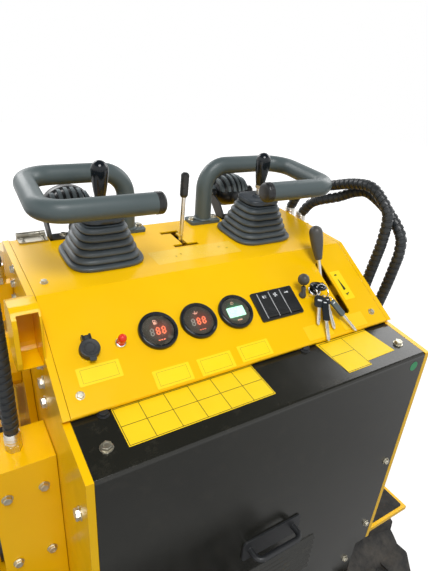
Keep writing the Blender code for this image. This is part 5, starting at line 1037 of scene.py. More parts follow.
def make_key_bunch():
    """The ring that hangs from the key's bow, with four spare keys lying on the face."""
    random.seed(5)
    x, s = LOCK
    drop = math.radians(15)
    reach, wire = 0.0125, 0.0011
    centre = Vector((x, -s - reach * math.cos(drop), KEY_BOW - reach * math.sin(drop)))
    down = Vector((0.0, -math.cos(drop), -math.sin(drop)))
    side = Vector((1, 0, 0))
    bunch = Piece("key_bunch_dressed")
    turns = [2 * math.pi * k / 48 for k in range(49)]
    ring = [centre + reach * (math.sin(a) * side - math.cos(a) * down) for a in turns]
    bunch.bar(ring, wire, CHROME, FACE, 10)
    for degrees, (tip_x, tip_s, tip_z), start, end, half, grip in SPARE_KEYS:
        turn = math.radians(degrees)
        hole = centre + (reach - 0.001) * (math.cos(turn) * down + math.sin(turn) * side)
        add_spare_key(bunch, hole, Vector((tip_x, -tip_s, tip_z)), start, end, half, grip)
    bunch.ride("console", ("key_bunch",), "chrome")


def make_choke():
    """The choke's pull: a collar on the face and a bent stalk with a flattened ball."""
    place = FACE @ shift(CHOKE_X, -0.093)
    bend, height = 0.006, 0.032
    leaning = place @ shift(0, 0, bend) @ spin(-math.radians(44), "X") @ shift(0, 0, -bend)
    choke = Piece("choke_knob_dressed")
    choke.turned(disc(0.0035, -0.045, 0.005), STEEL, place, 24)
    choke.turned([(0.0, 0.0006), (0.0064, 0.0006), (0.0064, 0.0036), (0.006, 0.005), (0.0048, 0.0068),
                  (0.0, 0.0074)], GREY_PLASTIC, place, 32)
    choke.turned([(0.0, bend - 0.002), (0.0043, bend - 0.002), (0.0038, 0.011), (0.0042, 0.019),
                  (0.0, 0.0215)], GREY_PLASTIC, leaning, 28)
    head = ball(0.011, 36)
    head.transform(Matrix.Diagonal((0.88, 1.0, 0.94, 1.0)))
    choke.add(head, GREY_PLASTIC, leaning @ shift(0, 0, height))
    choke.ride("choke", ("choke_knob",), "knob_black")


# Throttle, gate lever, joysticks and gaiters


def knob_profile(low, high, top, foot):
    """A tapered knob with a rounded head, widest near its top."""
    length = high - low
    points = [(0.0, low), (foot * 0.86, low), (foot, low + 0.0012)]
    for k in range(1, 7):
        u = k / 6
        radius = foot + (top - foot) * (1 - (1 - u) ** 1.7)
        points.append((radius, low + 0.0012 + (length - top * 1.05 - 0.0012) * u))
    for k in range(1, 8):
        a = math.pi / 2 * k / 8
        points.append((top * math.cos(a), high - top * 1.05 * (1 - math.sin(a))))
    return points + [(0.0, high)]


def make_throttle():
    middle = sum(THROTTLE_SLOT) / 2
    x, rest, depth = 0.209, 0.052, 0.03
    lean = math.atan((middle - rest) / depth)
    reach = math.hypot(depth, middle - rest)
    low = reach - depth + 0.0205
    aside = math.radians(-2.0)
    place = FACE @ shift(x, -middle, -depth) @ spin(-lean, "X") @ spin(aside, "Y") @ shift(0, 0, depth)
    lever = Piece("throttle_lever_dressed")
    lever.turned(disc(0.0035, -0.028, low + 0.004), BRIGHT_STEEL, place, 24)
    boss = along_x(lathe([(0.0042, -0.0135), (0.009, -0.0135), (0.009, 0.0135), (0.0042, 0.0135)], 32))
    lever.add(boss, STEEL, FACE @ shift(0.212, -middle, -depth))
    lever.turned(knob_profile(low, low + 0.0635, 0.0125, 0.0064), GREY_PLASTIC, place, 40)
    lever.ride("throttle", ("throttle_lever",), "grey_paint")


def make_gate_lever():
    t, depth, x = 0.11, 0.085, -0.007
    base = t * math.tan(TOP_RISE)
    low, high, radius = 0.092 - base, 0.133 - base, 0.0075
    place = TOP @ shift(x, t)
    lever = Piece("gate_lever_dressed")
    lever.turned(disc(0.0038, -depth + 0.004, low + 0.004), BRIGHT_STEEL, place, 28)
    lever.add(along_x(lathe([(0.0042, -0.0175), (0.009, -0.0175), (0.009, 0.0135), (0.0042, 0.0135)], 32)),
              STEEL, TOP @ shift(x, t, -depth))
    profile = [(0.0, low - 0.002), (radius * 0.78, low - 0.002), (radius * 0.86, low - 0.0005)]
    for k in range(7):
        z = low + 0.002 + (high - low - 0.008) * k / 6
        profile += [(radius, z), (radius * 0.965, z + 0.0026)]
    profile += [(radius, high - 0.0052), (radius * 0.92, high - 0.002), (radius * 0.6, high),
                (0.0, high + 0.0008)]
    lever.turned(profile, PLASTIC, place, 32)
    lever.ride("auxiliary_lever", ("gate_lever",), "steel")


STICKS = {"left": (-0.163, 0.097), "right": (0.15, 0.099)}
GAITER_BASE = 0.063
GAITER_WAIST = 0.0585
GAITER_CAP = 0.034
GAITER_FOOT = 0.0085
GAITER_HEIGHT = 0.062
GAITER_TOP = 0.076
GAITER_RIBS = 5
GAITER_MIDDLE = GAITER_FOOT + 2 * (GAITER_HEIGHT - GAITER_FOOT) / GAITER_RIBS
GAITER_CURVED = math.radians(50)


def gaiter_half(height):
    """The half width of the bellows at a height: five round rolls on a taper, above a wide foot."""
    u = max(0.0, (height - GAITER_FOOT) / (GAITER_HEIGHT - GAITER_FOOT))
    envelope = GAITER_WAIST + (GAITER_CAP + 0.003 - GAITER_WAIST) * u
    across = 2 * ((u * GAITER_RIBS) % 1.0) - 1
    return envelope - 0.0085 * (1 - math.sqrt(max(0.0, 1 - across * across)) ** 0.8)


def squircle(half, height, power):
    """A rounded square, a little shorter front to back, as the boot is."""
    ring, steps = [], 56
    for k in range(steps):
        a = 2 * math.pi * k / steps
        c, s = math.cos(a), math.sin(a)
        reach = half / (abs(c) ** power + abs(s) ** power) ** (1 / power)
        ring.append((reach * c, reach * s * 0.95, height))
    return ring


def gaiter_rings(low, high, count):
    rings = []
    for k in range(count + 1):
        height = low + (high - low) * k / count
        rings.append(squircle(gaiter_half(height), height, 4.0 - 0.4 * height / GAITER_HEIGHT))
    return rings


def gaiter_skin():
    """Rings of the boot's lower and upper half and of its collar, about the stick's axis."""
    cap, height, top = GAITER_CAP, GAITER_HEIGHT, GAITER_TOP
    seam = squircle(gaiter_half(GAITER_MIDDLE) - 0.0026, GAITER_MIDDLE, 3.9)
    lower = [squircle(GAITER_BASE - 0.0022, 0.0004, 3.9)]
    for k in range(9):
        a = math.radians(-70 + 160 * k / 8)
        lower.append(squircle(GAITER_BASE - 0.0036 + 0.0036 * math.cos(a), 0.0042 + 0.0036 * math.sin(a),
                              3.9))
    lower.append(squircle(gaiter_half(GAITER_FOOT), GAITER_FOOT - 0.0004, 4.0))
    lower += gaiter_rings(GAITER_FOOT + 0.0004, GAITER_MIDDLE, 26)
    lower += [seam, squircle(GAITER_BASE - 0.018, GAITER_FOOT, 4.0),
              squircle(GAITER_BASE - 0.014, 0.0004, 4.0)]
    upper = gaiter_rings(GAITER_MIDDLE, height, 39)
    shoulder = ((cap + 0.001, height + 0.001), (cap - 0.004, height + 0.0022), (cap - 0.009, height - 0.002))
    upper += [squircle(half, level, 3.8) for half, level in shoulder] + [seam]
    collar = ((cap - 0.006, height + 0.0004, 3.6), (cap - 0.0035, height + 0.003, 3.6),
              (cap, height + 0.0058, 3.8), (cap, top - 0.003, 3.8), (cap - 0.0016, top - 0.0004, 3.8),
              (cap - 0.004, top, 3.6), (0.0125, top, 2.0), (0.011, top + 0.003, 2.0),
              (0.0072, top + 0.0034, 2.0), (0.0068, top - 0.006, 2.0), (cap - 0.012, top - 0.006, 3.6))
    return lower, upper, [squircle(*row) for row in collar]


def make_gaiters():
    """Each boot in two halves: the lower runs from cover to fork, the upper from fork to stick."""
    for side, (x, t) in STICKS.items():
        place = TOP @ shift(x, t)
        lower, upper, collar = [rings_shape(rings, wrap=True) for rings in gaiter_skin()]
        low = Piece(f"gaiter_{side}_lower").add(lower, GAITER_RUBBER, place).made(GAITER_CURVED)
        high = Piece(f"gaiter_{side}_upper").add(upper, GAITER_RUBBER, place)
        # The collar gets the darker rubber: painted shade.
        high = high.add(collar, SHADED_COLLAR_RUBBER, place).made(GAITER_CURVED)
        for half in (low, high):
            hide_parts(f"gaiter_{side}")
        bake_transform(low)
        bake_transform(high)


def make_sticks():
    """Shaft, cross pin, lock nut and knob of each stick; the knob's heights are measured from the crease."""
    pivot, knob_low, knob_high = -0.012, 0.104, 0.164
    for side, (x, t) in STICKS.items():
        place = TOP @ shift(x, t)
        base = t * math.tan(TOP_RISE)
        low, high = knob_low - base, knob_high - base
        stick = Piece(f"joystick_{side}_dressed")
        shaft = [(0.0, pivot - 0.009), (0.0095, pivot - 0.006), (0.0095, pivot + 0.004),
                 (0.0055, pivot + 0.01), (0.0055, low + 0.004), (0.0, low + 0.004)]
        stick.turned(shaft, BRIGHT_STEEL, place, 32)
        stick.turned(disc(0.003, -0.019, 0.019), STEEL, place @ shift(0, 0, pivot) @ spin(math.pi / 2, "X"),
                     20)
        stick.flat(hexagon(0.0088), low - 0.0062, low - 0.0004, ZINC, place, 0.0006)
        stick.turned(knob_profile(low, high, 0.0135, 0.0082), GLOSS_PLASTIC, place, 48)
        stick.ride(f"stick_{side}", (f"joystick_{side}",), "knob_black")


# Handles, work lights and hinges

HANDLE_POST = {"left": 0.086, "right": 0.08}
HANDLE_CORNER = {"left": 0.271, "right": 0.246}
HANDLE_RADIUS = 0.0165


def handle_cap_profile():
    """The ribbed plug in a handle's end."""
    radius, groove, rib = 0.0172, 0.0168, 0.0024
    profile = [(0.0, 0.0), (0.01, -0.0008), (0.0142, 0.0002), (0.0164, 0.0022), (radius, 0.0046)]
    for k in range(3):
        steps = ((radius, 0.0052), (groove, 0.0058), (groove, 0.0066), (radius, 0.0072))
        profile += [(r, level + rib * k) for r, level in steps]
    return profile + [(radius, 0.0128), (0.0164, 0.0134), (0.0, 0.0134)]


def make_handles():
    """Bent tubes on bolted flanges, with a weld bead at the foot and a ribbed black plug in the end."""
    post_t, height, turn, front_y, bar_z, end = 0.182, 0.1226, 0.262, 0.007, 0.115, 0.097
    half_x, half_t, flange_top = 0.034, 0.018, 0.006
    base = post_t * math.sin(TOP_RISE) + 0.003
    post_y = post_t * math.cos(TOP_RISE)
    bead = [(0.016, 0.0), (0.0185, 0.0004), (0.0192, 0.0018), (0.0178, 0.0036), (0.0163, 0.0042)]
    for side, sign in SIDES:
        corner = HANDLE_CORNER[side]
        middle = sign * HANDLE_POST[side]
        points = [(middle, post_y, base), (middle, post_y, height), (sign * turn, post_y, height),
                  (sign * corner, front_y, bar_z), (sign * end, front_y, bar_z)]
        path = filleted(points, (0, 0.045, 0.045, 0.036, 0), 12)
        handle = Piece(f"handle_{side}_dressed")
        handle.bar(path, HANDLE_RADIUS, GREY_PAINT, CONSOLE, 36)
        handle.plate((middle - half_x, middle + half_x), (post_t - half_t, post_t + half_t), 0.006, 0.0004,
                     flange_top, GREY_PAINT, TOP, 0.0012)
        handle.turned(bead, GREY_PAINT, TOP @ shift(middle, post_t, flange_top - 0.0002), 36)
        for dx in (-0.0255, 0.0255):
            add_bolt(handle, TOP @ shift(middle + dx, post_t, flange_top), 0.0062)
        handle.ride("console", (f"handle_{side}",), "grey_paint")
        cap = Piece(f"handle_{side}_end")
        cap.turned(handle_cap_profile(), PLASTIC,
                   console_spot(sign * (end - 0.0035), front_y, bar_z, (sign, 0, 0)), 40)
        cap.ride("console", slot="black_plastic")


LAMP_RADIUS = 0.036
LAMP_HALF = 0.045
LAMP_DEPTH = 0.062
LIGHTS = {"left": (-0.175, 0.228, 0.05), "right": (0.176, 0.228, 0.054)}


def add_lamp_bowl(head, place, back):
    """The oval bowl, from the middle of its back to the inside of its rim."""
    radius, depth = LAMP_RADIUS, LAMP_DEPTH
    profile = [(0.0, back + 0.003)]
    for k in range(1, 13):
        a = math.pi / 2 * k / 12
        profile.append((radius * 0.9 * math.sin(a), back + 0.003 + depth * 0.59 * (1 - math.cos(a))))
    rim = ((radius * 0.955, 0.65), (radius * 0.99, 0.68), (radius, 0.72), (radius, 0.95),
           (radius - 0.0015, 1.0), (radius - 0.0042, 1.0), (radius - 0.005, 0.9), (0.0, 0.9))
    head.turned(profile + [(r, back + depth * share) for r, share in rim], PLASTIC, place, 64)


def add_lamp_fins(head, place, back):
    """Eight cooling fins that follow the upper half of the bowl's back."""
    upright = Matrix(((0, 0, 1, 0), (1, 0, 0, 0), (0, 1, 0, 0), (0, 0, 0, 1)))
    for k in range(8):
        off = (k - 3.5) * 2 * LAMP_HALF / 7.6
        wide = LAMP_RADIUS * math.sqrt(1 - (off / LAMP_HALF) ** 2)
        share = wide / LAMP_RADIUS
        outline = []
        for i in range(13):
            a = math.radians(10 + 80 * i / 12)
            outline.append((-wide * 0.985 * math.sin(a),
                            back + 0.0003 + LAMP_DEPTH * 0.64 * (1 - math.cos(a) * share)))
        outline += [(-wide * 0.8, back + LAMP_DEPTH * 0.7), (-wide * 0.2, back + LAMP_DEPTH * 0.4)]
        fin = prism(outline, off - 0.0031, off + 0.0031, 0.0009, 2)
        fin.transform(upright)
        head.add(fin, FIN_PLASTIC, place)


def add_lamp_reflectors(head, place, back):
    """One reflector in the middle and six round it, each with its light source."""
    reflector = [(0.0088, 0.0036), (0.0082, 0.001), (0.0034, 0.0002), (0.0, 0.0002)]
    source = [(0.0, 0.0002), (0.0022, 0.0002), (0.0018, 0.0012), (0.0, 0.0014)]
    for ring, count, start in ((0.0, 1, 0.0), (0.0185, 6, 0.3)):
        for k in range(count):
            a = start + 2 * math.pi * k / count
            centre = place @ shift(ring * math.cos(a) * LAMP_HALF / LAMP_RADIUS, ring * math.sin(a),
                                   back + LAMP_DEPTH * 0.9)
            head.turned(reflector, REFLECTOR, centre, 20)
            head.turned(source, LABEL, centre, 12)


def make_work_lights():
    """An oval lamp head: fins over the top of its back, a boss, and a lens with reflectors in front."""
    oval = Matrix.Scale(LAMP_HALF / LAMP_RADIUS, 4, (1, 0, 0))
    back = -LAMP_DEPTH * 0.45
    boss = [(0.0, back - 0.006), (0.009, back - 0.006), (0.0114, back - 0.0046), (0.012, back - 0.002),
            (0.012, back + 0.018), (0.0, back + 0.018)]
    edge = LAMP_RADIUS - 0.0046
    lens = [(0.0, 0.965), (edge, 0.965), (edge, 0.99), (0.0, 0.995)]
    lens = [(r, back + LAMP_DEPTH * share) for r, share in lens]
    for side, (x, y, z) in LIGHTS.items():
        head = Piece(f"work_light_{side}_dressed")
        place = CONSOLE @ shift(x, y, z) @ spin(-math.pi / 2, "X")
        boss_place = place @ shift(0, 0.006, 0)
        add_lamp_bowl(head, place @ oval, back)
        add_lamp_fins(head, place, back)
        head.turned(boss, RUBBER, boss_place, 36)
        head.turned(solid((0.003, back - 0.0064), (0.0034, back - 0.0056)), STEEL, boss_place, 16)
        add_lamp_reflectors(head, place, back)
        head.turned(lens, LAMP_LENS, place @ oval, 48)
        for reach in (-0.0465, 0.041):
            ear = along_x(lathe([(0.0034, 0.0), (0.0085, 0.0), (0.0085, 0.0055), (0.0034, 0.0055)], 24))
            head.add(ear, PLASTIC, CONSOLE @ shift(x + reach, y, z))
        head.ride(f"light_{side}", (f"work_light_{side}",), "black_plastic")
        make_light_bracket(side, x, y, z)


def make_light_bracket(side, x, y, z):
    """A black sleeve over the bracket that carries the light, with its bolts."""
    out, sheet, skin, ear = 0.048, 0.003, 0.0003, 0.0093
    rear, foot_deep = COVER_END_Y - 0.0005, 0.0243
    low = COVER_END_Z - 0.001
    bracket = Piece(f"work_light_{side}_bracket")
    for sign in (-1, 1):
        span = sorted((x + sign * (out - skin), x + sign * (out + sheet + skin)))
        arc = [math.pi * k / 10 for k in range(11)]
        cheek = [(rear - foot_deep, low - skin), (rear + skin, low - skin), (y + 0.0073, z - 0.0084)]
        cheek += [(y + ear * math.cos(a), z + ear * math.sin(a)) for a in arc]
        cheek += [(rear - 0.0062, z - 0.0117), (rear - foot_deep, low + 0.0103)]
        bracket.add(beam(cheek, span, 0.0006), MACHINE_BLACK, CONSOLE)
        add_bolt(bracket, console_spot(span[1] if sign > 0 else span[0], y, z, (sign, 0, 0)), 0.0062)
    half, top = out + sheet + skin, low + sheet + skin
    bracket.box((x - half, x + half), (rear - foot_deep, rear + skin), (low, top), MACHINE_BLACK, CONSOLE,
                0.0006)
    for dx in (-0.026, 0.026):
        add_bolt(bracket, CONSOLE @ shift(x + dx, rear - 0.012, top), 0.0055)
    bracket.ride("console", slot="black_paint")


def make_hinges():
    """A stainless leaf with four screws and three knuckles on the cover, and its fixed leaf on the cowl."""
    half, screw_x, leaf_top = 0.024, 0.0165, -0.0417
    axis_y, axis_z = COVER_END_Y + 0.0045, COVER_END_Z + 0.005
    bend = [(COVER_END_Y - 0.003, COVER_END_Z + 0.0004), (COVER_END_Y + 0.0012, COVER_END_Z + 0.0009),
            (axis_y, axis_z - 0.0036), (axis_y - 0.003, axis_z - 0.001),
            (COVER_END_Y - 0.003, COVER_END_Z + 0.0026)]
    for side, sign in SIDES:
        x = sign * 0.253
        axis = CONSOLE @ shift(x, axis_y, axis_z)
        moving = Piece(f"cover_hinge_{side}_dressed")
        moving.plate((x - half, x + half), (TOP_LENGTH - 0.023, TOP_LENGTH - 0.0008), 0.0022, 0.0004,
                     0.0026, STAINLESS, TOP, 0.0004)
        moving.add(beam(bend, (x - half, x + half)), STAINLESS, CONSOLE)
        for dx in (-screw_x, screw_x):
            for dt in (-0.0175, -0.0075):
                add_screw(moving, TOP @ shift(x + dx, TOP_LENGTH + dt, 0.0026), 0.0033, STAINLESS)
        fixed = Piece(f"cowl_hinge_leaf_{side}")
        for k in range(5):
            low = -half + 0.0096 * k + 0.0002
            profile = [(0.0012, low), (0.004, low), (0.0044, low + 0.0003), (0.0044, low + 0.0089),
                       (0.004, low + 0.0092), (0.0012, low + 0.0092)]
            leaf = fixed if k % 2 else moving
            leaf.add(along_x(lathe(profile, 28)), STAINLESS, axis)
        fixed.add(along_x(lathe(disc(0.0013, -0.0243, 0.0243), 16)), STAINLESS, axis)
        for far, top in ((0.0033, axis_z - 0.0034), (0.04, leaf_top)):
            fixed.box((x - half, x + half), (axis_y + 0.001, axis_y + far), (-0.044, top), STAINLESS,
                      CONSOLE, 0.0004)
        for dx in (-screw_x, screw_x):
            add_screw(fixed, CONSOLE @ shift(x + dx, axis_y + 0.026, leaf_top), 0.0036, STAINLESS)
        moving.ride("console", (f"cover_hinge_{side}",), "stainless")
        fixed.ride("machine_body", slot="stainless")


# Label plates, decals and fasteners of the console


def make_console_plates():
    """Bare label plates on the instrument face, four with a thin line round them, and the sheet's bolts."""
    plates = Piece("console_label_plates")
    lined = (((-0.268, -0.209), (0.119, 0.145)), ((-0.171, -0.114), (0.151, 0.178)),
             ((-0.101, -0.043), (0.152, 0.179)), ((-0.03, 0.028), (0.15, 0.177)))
    plain = (((0.104, 0.16), (0.15, 0.176)), ((0.186, 0.242), (0.15, 0.176)))
    for (x0, x1), (s0, s1) in lined + plain:
        film = LABEL if ((x0, x1), (s0, s1)) in lined else FILM
        plates.flat(round_outline((x0, x1), (-s1, -s0), 0.0015, 4), 0.00005, 0.0003, film, FACE)
        if film == LABEL:
            add_frame_lines(plates, (x0 + 0.005, x1 - 0.005), (-s1 + 0.0034, -s0 - 0.0034), 0.0004,
                            (0.00028, 0.00036), BROWN_INK, FACE)
    plates.ride("console")
    bolts = Piece("console_bolts")
    for place, x, y in ((FACE, -0.271, -0.155), (FACE, 0.265, -0.157), (TOP, -0.27, 0.035),
                        (TOP, 0.268, 0.035)):
        add_bolt(bolts, place @ shift(x, y), 0.0052)
    bolts.ride("console", slot="steel")


def make_throttle_decal():
    """The plain wedge beside the throttle's slot, with a small mark at each end, on a bare film."""
    decal = Piece("throttle_decal")
    decal.flat(round_outline((0.2255, 0.25), (-0.122, -0.06), 0.002, 4), 0.00005, 0.00025, LABEL, FACE)
    wedge = ((0.2352, -0.078), (0.236, -0.078), (0.2402, -0.101), (0.2345, -0.1025))
    upper_mark = round_outline((0.233, 0.2385), (-0.07, -0.0672), 0.0013, 4)
    lower_mark = ((0.2335, -0.1105), (0.2425, -0.108), (0.242, -0.1102), (0.2375, -0.112), (0.237, -0.1145))
    for outline in (wedge, upper_mark, lower_mark):
        decal.flat(outline, 0.0002, 0.0004, INK, FACE)
    decal.ride("console")
    ledge = Piece("throttle_slot_ledge")
    ledge.box((0.1985, 0.2038), (-0.112, -0.076), (-0.016, -0.0035), YELLOW, FACE, 0.0006)
    ledge.ride("console")


def make_top_film():
    """The bare film below the gate, tinted pale as a painted reflection, with four small plain arrows for the
    lever's ends.
    """
    film = Piece("gate_film")
    film.flat(round_outline((-0.088, 0.078), (0.03, 0.078), 0.003, 4), 0.00005, 0.0002, REFLECTION_TINTED_FILM, TOP)
    arrow = ((-0.0008, -0.0025), (0.0008, -0.0025), (0.0008, 0.0006), (0.0024, 0.0006), (0.0, 0.003),
             (-0.0024, 0.0006), (-0.0008, 0.0006))
    quarter = math.pi / 2
    for x, t, turns in ((-0.046, 0.05, 0), (-0.034, 0.056, 2), (0.046, 0.06, 1), (0.058, 0.052, -1)):
        film.flat(arrow, 0.00018, 0.0003, BROWN_INK, TOP @ shift(x, t) @ spin(turns * quarter, "Z"))
    film.ride("console")


def add_frame_lines(piece, x, y, width, z, material, place):
    """Four thin lines along the inside of a rectangle."""
    for low in (y[0], y[1] - width):
        piece.box(x, (low, low + width), z, material, place)
    for low in (x[0], x[1] - width):
        piece.box((low, low + width), (y[0] + width, y[1] - width), z, material, place)


def make_step_decals():
    """The yellow films on the black step, ruled in black and otherwise bare."""
    films = Piece("step_films")
    film, ink = (0.0001, 0.0004), (0.00038, 0.0005)
    x0, x1, near, far = -0.238, -0.015, -0.004, -0.069
    line, rim = 0.0008, 0.0014
    columns, rows = 6, 2
    films.flat(round_outline((x0, x1), (far, near), 0.001, 3), *film, DECAL, STEP)
    for i in range(columns + 1):
        x = min(max(x0 + i * (x1 - x0) / columns - line / 2, x0 + rim), x1 - rim - line)
        films.box((x, x + line), (far + rim, near - rim), ink, INK, STEP)
    for j in range(rows + 1):
        y = min(max(far + j * (near - far) / rows - line / 2, far + rim), near - rim - line)
        films.box((x0 + rim, x1 - rim), (y, y + line), ink, INK, STEP)
    outline = ((0.1175, -0.0045), (0.2335, -0.0045), (0.2415, -0.069), (0.175, -0.0705), (0.1745, -0.08),
               (0.1225, -0.08))
    films.flat(outline, *film, DECAL, STEP)
    add_frame_lines(films, (0.1215, 0.174), (-0.0785, -0.0075), line, ink, INK, STEP)
    films.box((0.1223, 0.1732), (-0.0404, -0.0396), ink, INK, STEP)
    films.box((0.174, 0.238), (-0.0083, -0.0075), ink, INK, STEP)
    films.ride("machine_body")
    bolts = Piece("rear_cover_bolts")
    for x, y, material in ((0.2627, -0.0586, ZINC), (-0.2627, -0.0586, ZINC),
                           (0.0919, -0.0074, MACHINE_BLACK), (-0.2492, -0.0074, MACHINE_BLACK)):
        add_bolt(bolts, STEP @ shift(x, y), 0.0075, material)
    bolts.turned(disc(0.009, 0.0, 0.0003), GREEN_SPOT, console_spot(0.2655, REAR_FACE, -0.1342, REARWARD), 32)
    bolts.ride("machine_body")


def make_panel_bolts():
    """Zinc bolts on the side panels, as (y, z, size)."""
    bolts = Piece("side_panel_bolts")
    places = ((-0.05, -0.076, 0.0085), (-0.05, -0.109, 0.0085), (-0.05, -0.144, 0.0085), (0.104, 0.0, 0.0065),
              (0.115, -0.03, 0.0065), (0.126, -0.06, 0.0065), (-0.205, -0.2, 0.0085), (-0.205, -0.52, 0.0085),
              (0.17, -0.52, 0.0085))
    for sign in (-1, 1):
        for y, z, size in places:
            add_bolt(bolts, console_spot(sign * PANEL_SIDE, y, z, (sign, 0, 0)), size)
    bolts.ride("machine_body", slot="steel")


# The machine below and ahead of the console. Points are (x, y from the crease, z from the ground).
# These measures are those of the solids.

TUB_SIDE = 0.248
GUARD_FRONT = 0.74
DECK = 0.5
TOWER_PLATES = (0.3008, 0.3128, 0.4204, 0.4324)
TOWER_SIDE = 0.4324
TOWER_PIN_END = 0.4384
ARM_X = 0.381
ARM_SIDES = (0.348, 0.414)
ARM_PIVOT = (0.12, 0.93)
# Along the arm: (y, z, half of the arm's depth there)
ARM_PATH = ((0.12, 0.93, 0.05), (0.6, 0.868, 0.058), (0.935, 0.65, 0.056), (1.09, 0.18, 0.044))
# The two tubes between the arms: (y, z, radius)
CROSS_TUBES = ((0.905, 0.7, 0.03), (0.985, 0.5, 0.038))
LIFT_ARM_PIN = (0.4795, 0.7547)
LIFT_TOWER_PIN = (0.0782, 0.5322)
LIFT_SHORTEST = 0.4589
TILT_PLATE_PIN = (1.2072, 0.4562)
TILT_ARM_PIN = (0.8138, 0.2972)
TILT_SHORTEST = 0.3441
PLATE_PIN = (1.09, 0.18)
PLATE_BACK = 1.218
BUCKET_SIDE = 0.47
EDGE_TOP = 0.018
# Wheels: (y, z, radius)
TRACK_X = 0.37
TRACK_FRAME_HALF = 0.074
SPROCKET = (-0.13, 0.255, 0.128)
IDLER = (0.79, 0.1918, 0.148)
ROLLERS = {"rear": (0.13, 0.0998, 0.056), "front": (0.45, 0.0998, 0.056)}
BELT_GAP = 0.0018
BELT_THICK = 0.022
BAR_HIGH = 0.02
BARS = 30
HOOD_FRONT = 0.745
HOOD_SIDE = 0.289
HOOD_REAR = (0.3025, 1.05)
HOOD_SLOPE = 0.3277
HOOD_HINGE = (0.2, 0.3075, 1.045)
ENGINE_MIDDLE = 0.48
ENGINE_SIDE = 0.15
VALVE_COVER_X = 0.08
MUFFLER_HIGH = 0.725
FAN = (0.0, 0.65, 0.44)
PUMP_REAR = 0.28
PLATFORM_TOP = 0.245


def spot(x, y, z, direction):
    """A place on the machine whose Z looks along a direction."""
    return facing(MACHINE @ Vector((x, y, z)), direction)


def add_bolts(piece, points, direction, size):
    for i, (x, y, z) in enumerate(points):
        add_bolt(piece, spot(x, y, z, direction), size, turn=0.3 + 0.7 * i)


def add_weld(piece, points, radius=0.0028, material=None):
    """A rippled weld bead along a path."""
    fine = [Vector(points[0])]
    for a, b in zip(points, points[1:]):
        a, b = Vector(a), Vector(b)
        count = max(2, int((b - a).length / 0.0045))
        fine += [a.lerp(b, (k + 1) / count) for k in range(count)]
    radii = [radius * (1.0 if k % 2 else 0.82) for k in range(len(fine))]
    piece.bar(fine, radii, material or YELLOW, MACHINE, 8)


def add_nipple(piece, place):
    """A grease nipple."""
    piece.turned(solid((0.0042, 0.0), (0.0042, 0.003), (0.0026, 0.0036), (0.0024, 0.007), (0.0033, 0.0082),
                     (0.003, 0.01), (0.0014, 0.0108)), ZINC, place, 16)


def sleeve(radius, start, end, segments=56):
    """A thin smooth skin around a round bar or barrel."""
    return lathe([(radius - 0.002, start), (radius, start), (radius, end), (radius - 0.002, end)], segments)


def add_pin_head(piece, place, radius, keeper=True):
    """A pivot pin's head with its keeper plate, the plate's bolt and a grease nipple in the middle."""
    piece.turned(solid((radius * 1.32, 0.0), (radius * 1.36, 0.0012), (radius * 1.36, 0.0046),
                       (radius * 1.26, 0.006), (radius * 0.6, 0.0064), (radius * 0.5, 0.005)), ZINC, place,
                 40)
    add_nipple(piece, place @ shift(0, 0, 0.0048))
    if keeper:
        plate = round_outline((-radius * 0.55, radius * 0.55), (radius * 0.9, radius * 2.35), radius * 0.3, 4)
        piece.flat(plate, 0.0004, 0.0042, ZINC, place, 0.0008)
        add_bolt(piece, place @ shift(0, radius * 1.95, 0.0042), radius * 0.32)


def heading_of(start, end):
    """A place at the start whose Z leads to the end and whose Y points up, for points (y, z) in plane X."""
    along = Vector((0, end[0] - start[0], end[1] - start[1])).normalized()
    across = Vector((1, 0, 0))
    up = along.cross(across)
    turn = Matrix((across, up, along)).transposed().to_4x4()
    return MACHINE @ shift(0, start[0], start[1]) @ turn


# Tracks


def belt_loop():
    """The wheels that the belt wraps, each with the angles where the belt meets and leaves it."""
    wheels = [(w[0], w[1], w[2] + BELT_GAP) for w in (ROLLERS["rear"], IDLER, SPROCKET)]
    leaves = []
    for one, two in zip(wheels, wheels[1:] + wheels[:1]):
        heading = math.atan2(two[1] - one[1], two[0] - one[0])
        leaves.append(heading - math.pi / 2 + math.asin((one[2] - two[2]) / math.dist(one[:2], two[:2])))
    loop = []
    for i, wheel in enumerate(wheels):
        start, end = leaves[i - 1], leaves[i]
        while end < start:
            end += 2 * math.pi
        loop.append((wheel, start, end))
    return loop


def on_wheel(wheel, angle):
    return Vector((wheel[0] + wheel[2] * math.cos(angle), wheel[1] + wheel[2] * math.sin(angle)))


def belt_stations(count):
    """Evenly spaced points (y, z) on the belt's inner line, each with its outward angle."""
    loop = belt_loop()
    runs = []
    for i, (wheel, start, end) in enumerate(loop):
        other, first = loop[(i + 1) % len(loop)][:2]
        leave, arrive = on_wheel(wheel, end), on_wheel(other, first)
        runs.append((wheel, start, end, wheel[2] * (end - start), leave, arrive, (arrive - leave).length))
    total = sum(run[3] + run[6] for run in runs)
    result = []
    for k in range(count):
        distance = total * k / count
        for wheel, start, end, curve, leave, arrive, straight in runs:
            if distance <= curve:
                angle = start + distance / wheel[2]
                result.append((on_wheel(wheel, angle), angle))
                break
            distance -= curve
            if distance <= straight:
                result.append((leave.lerp(arrive, distance / straight), end))
                break
            distance -= straight
    return result


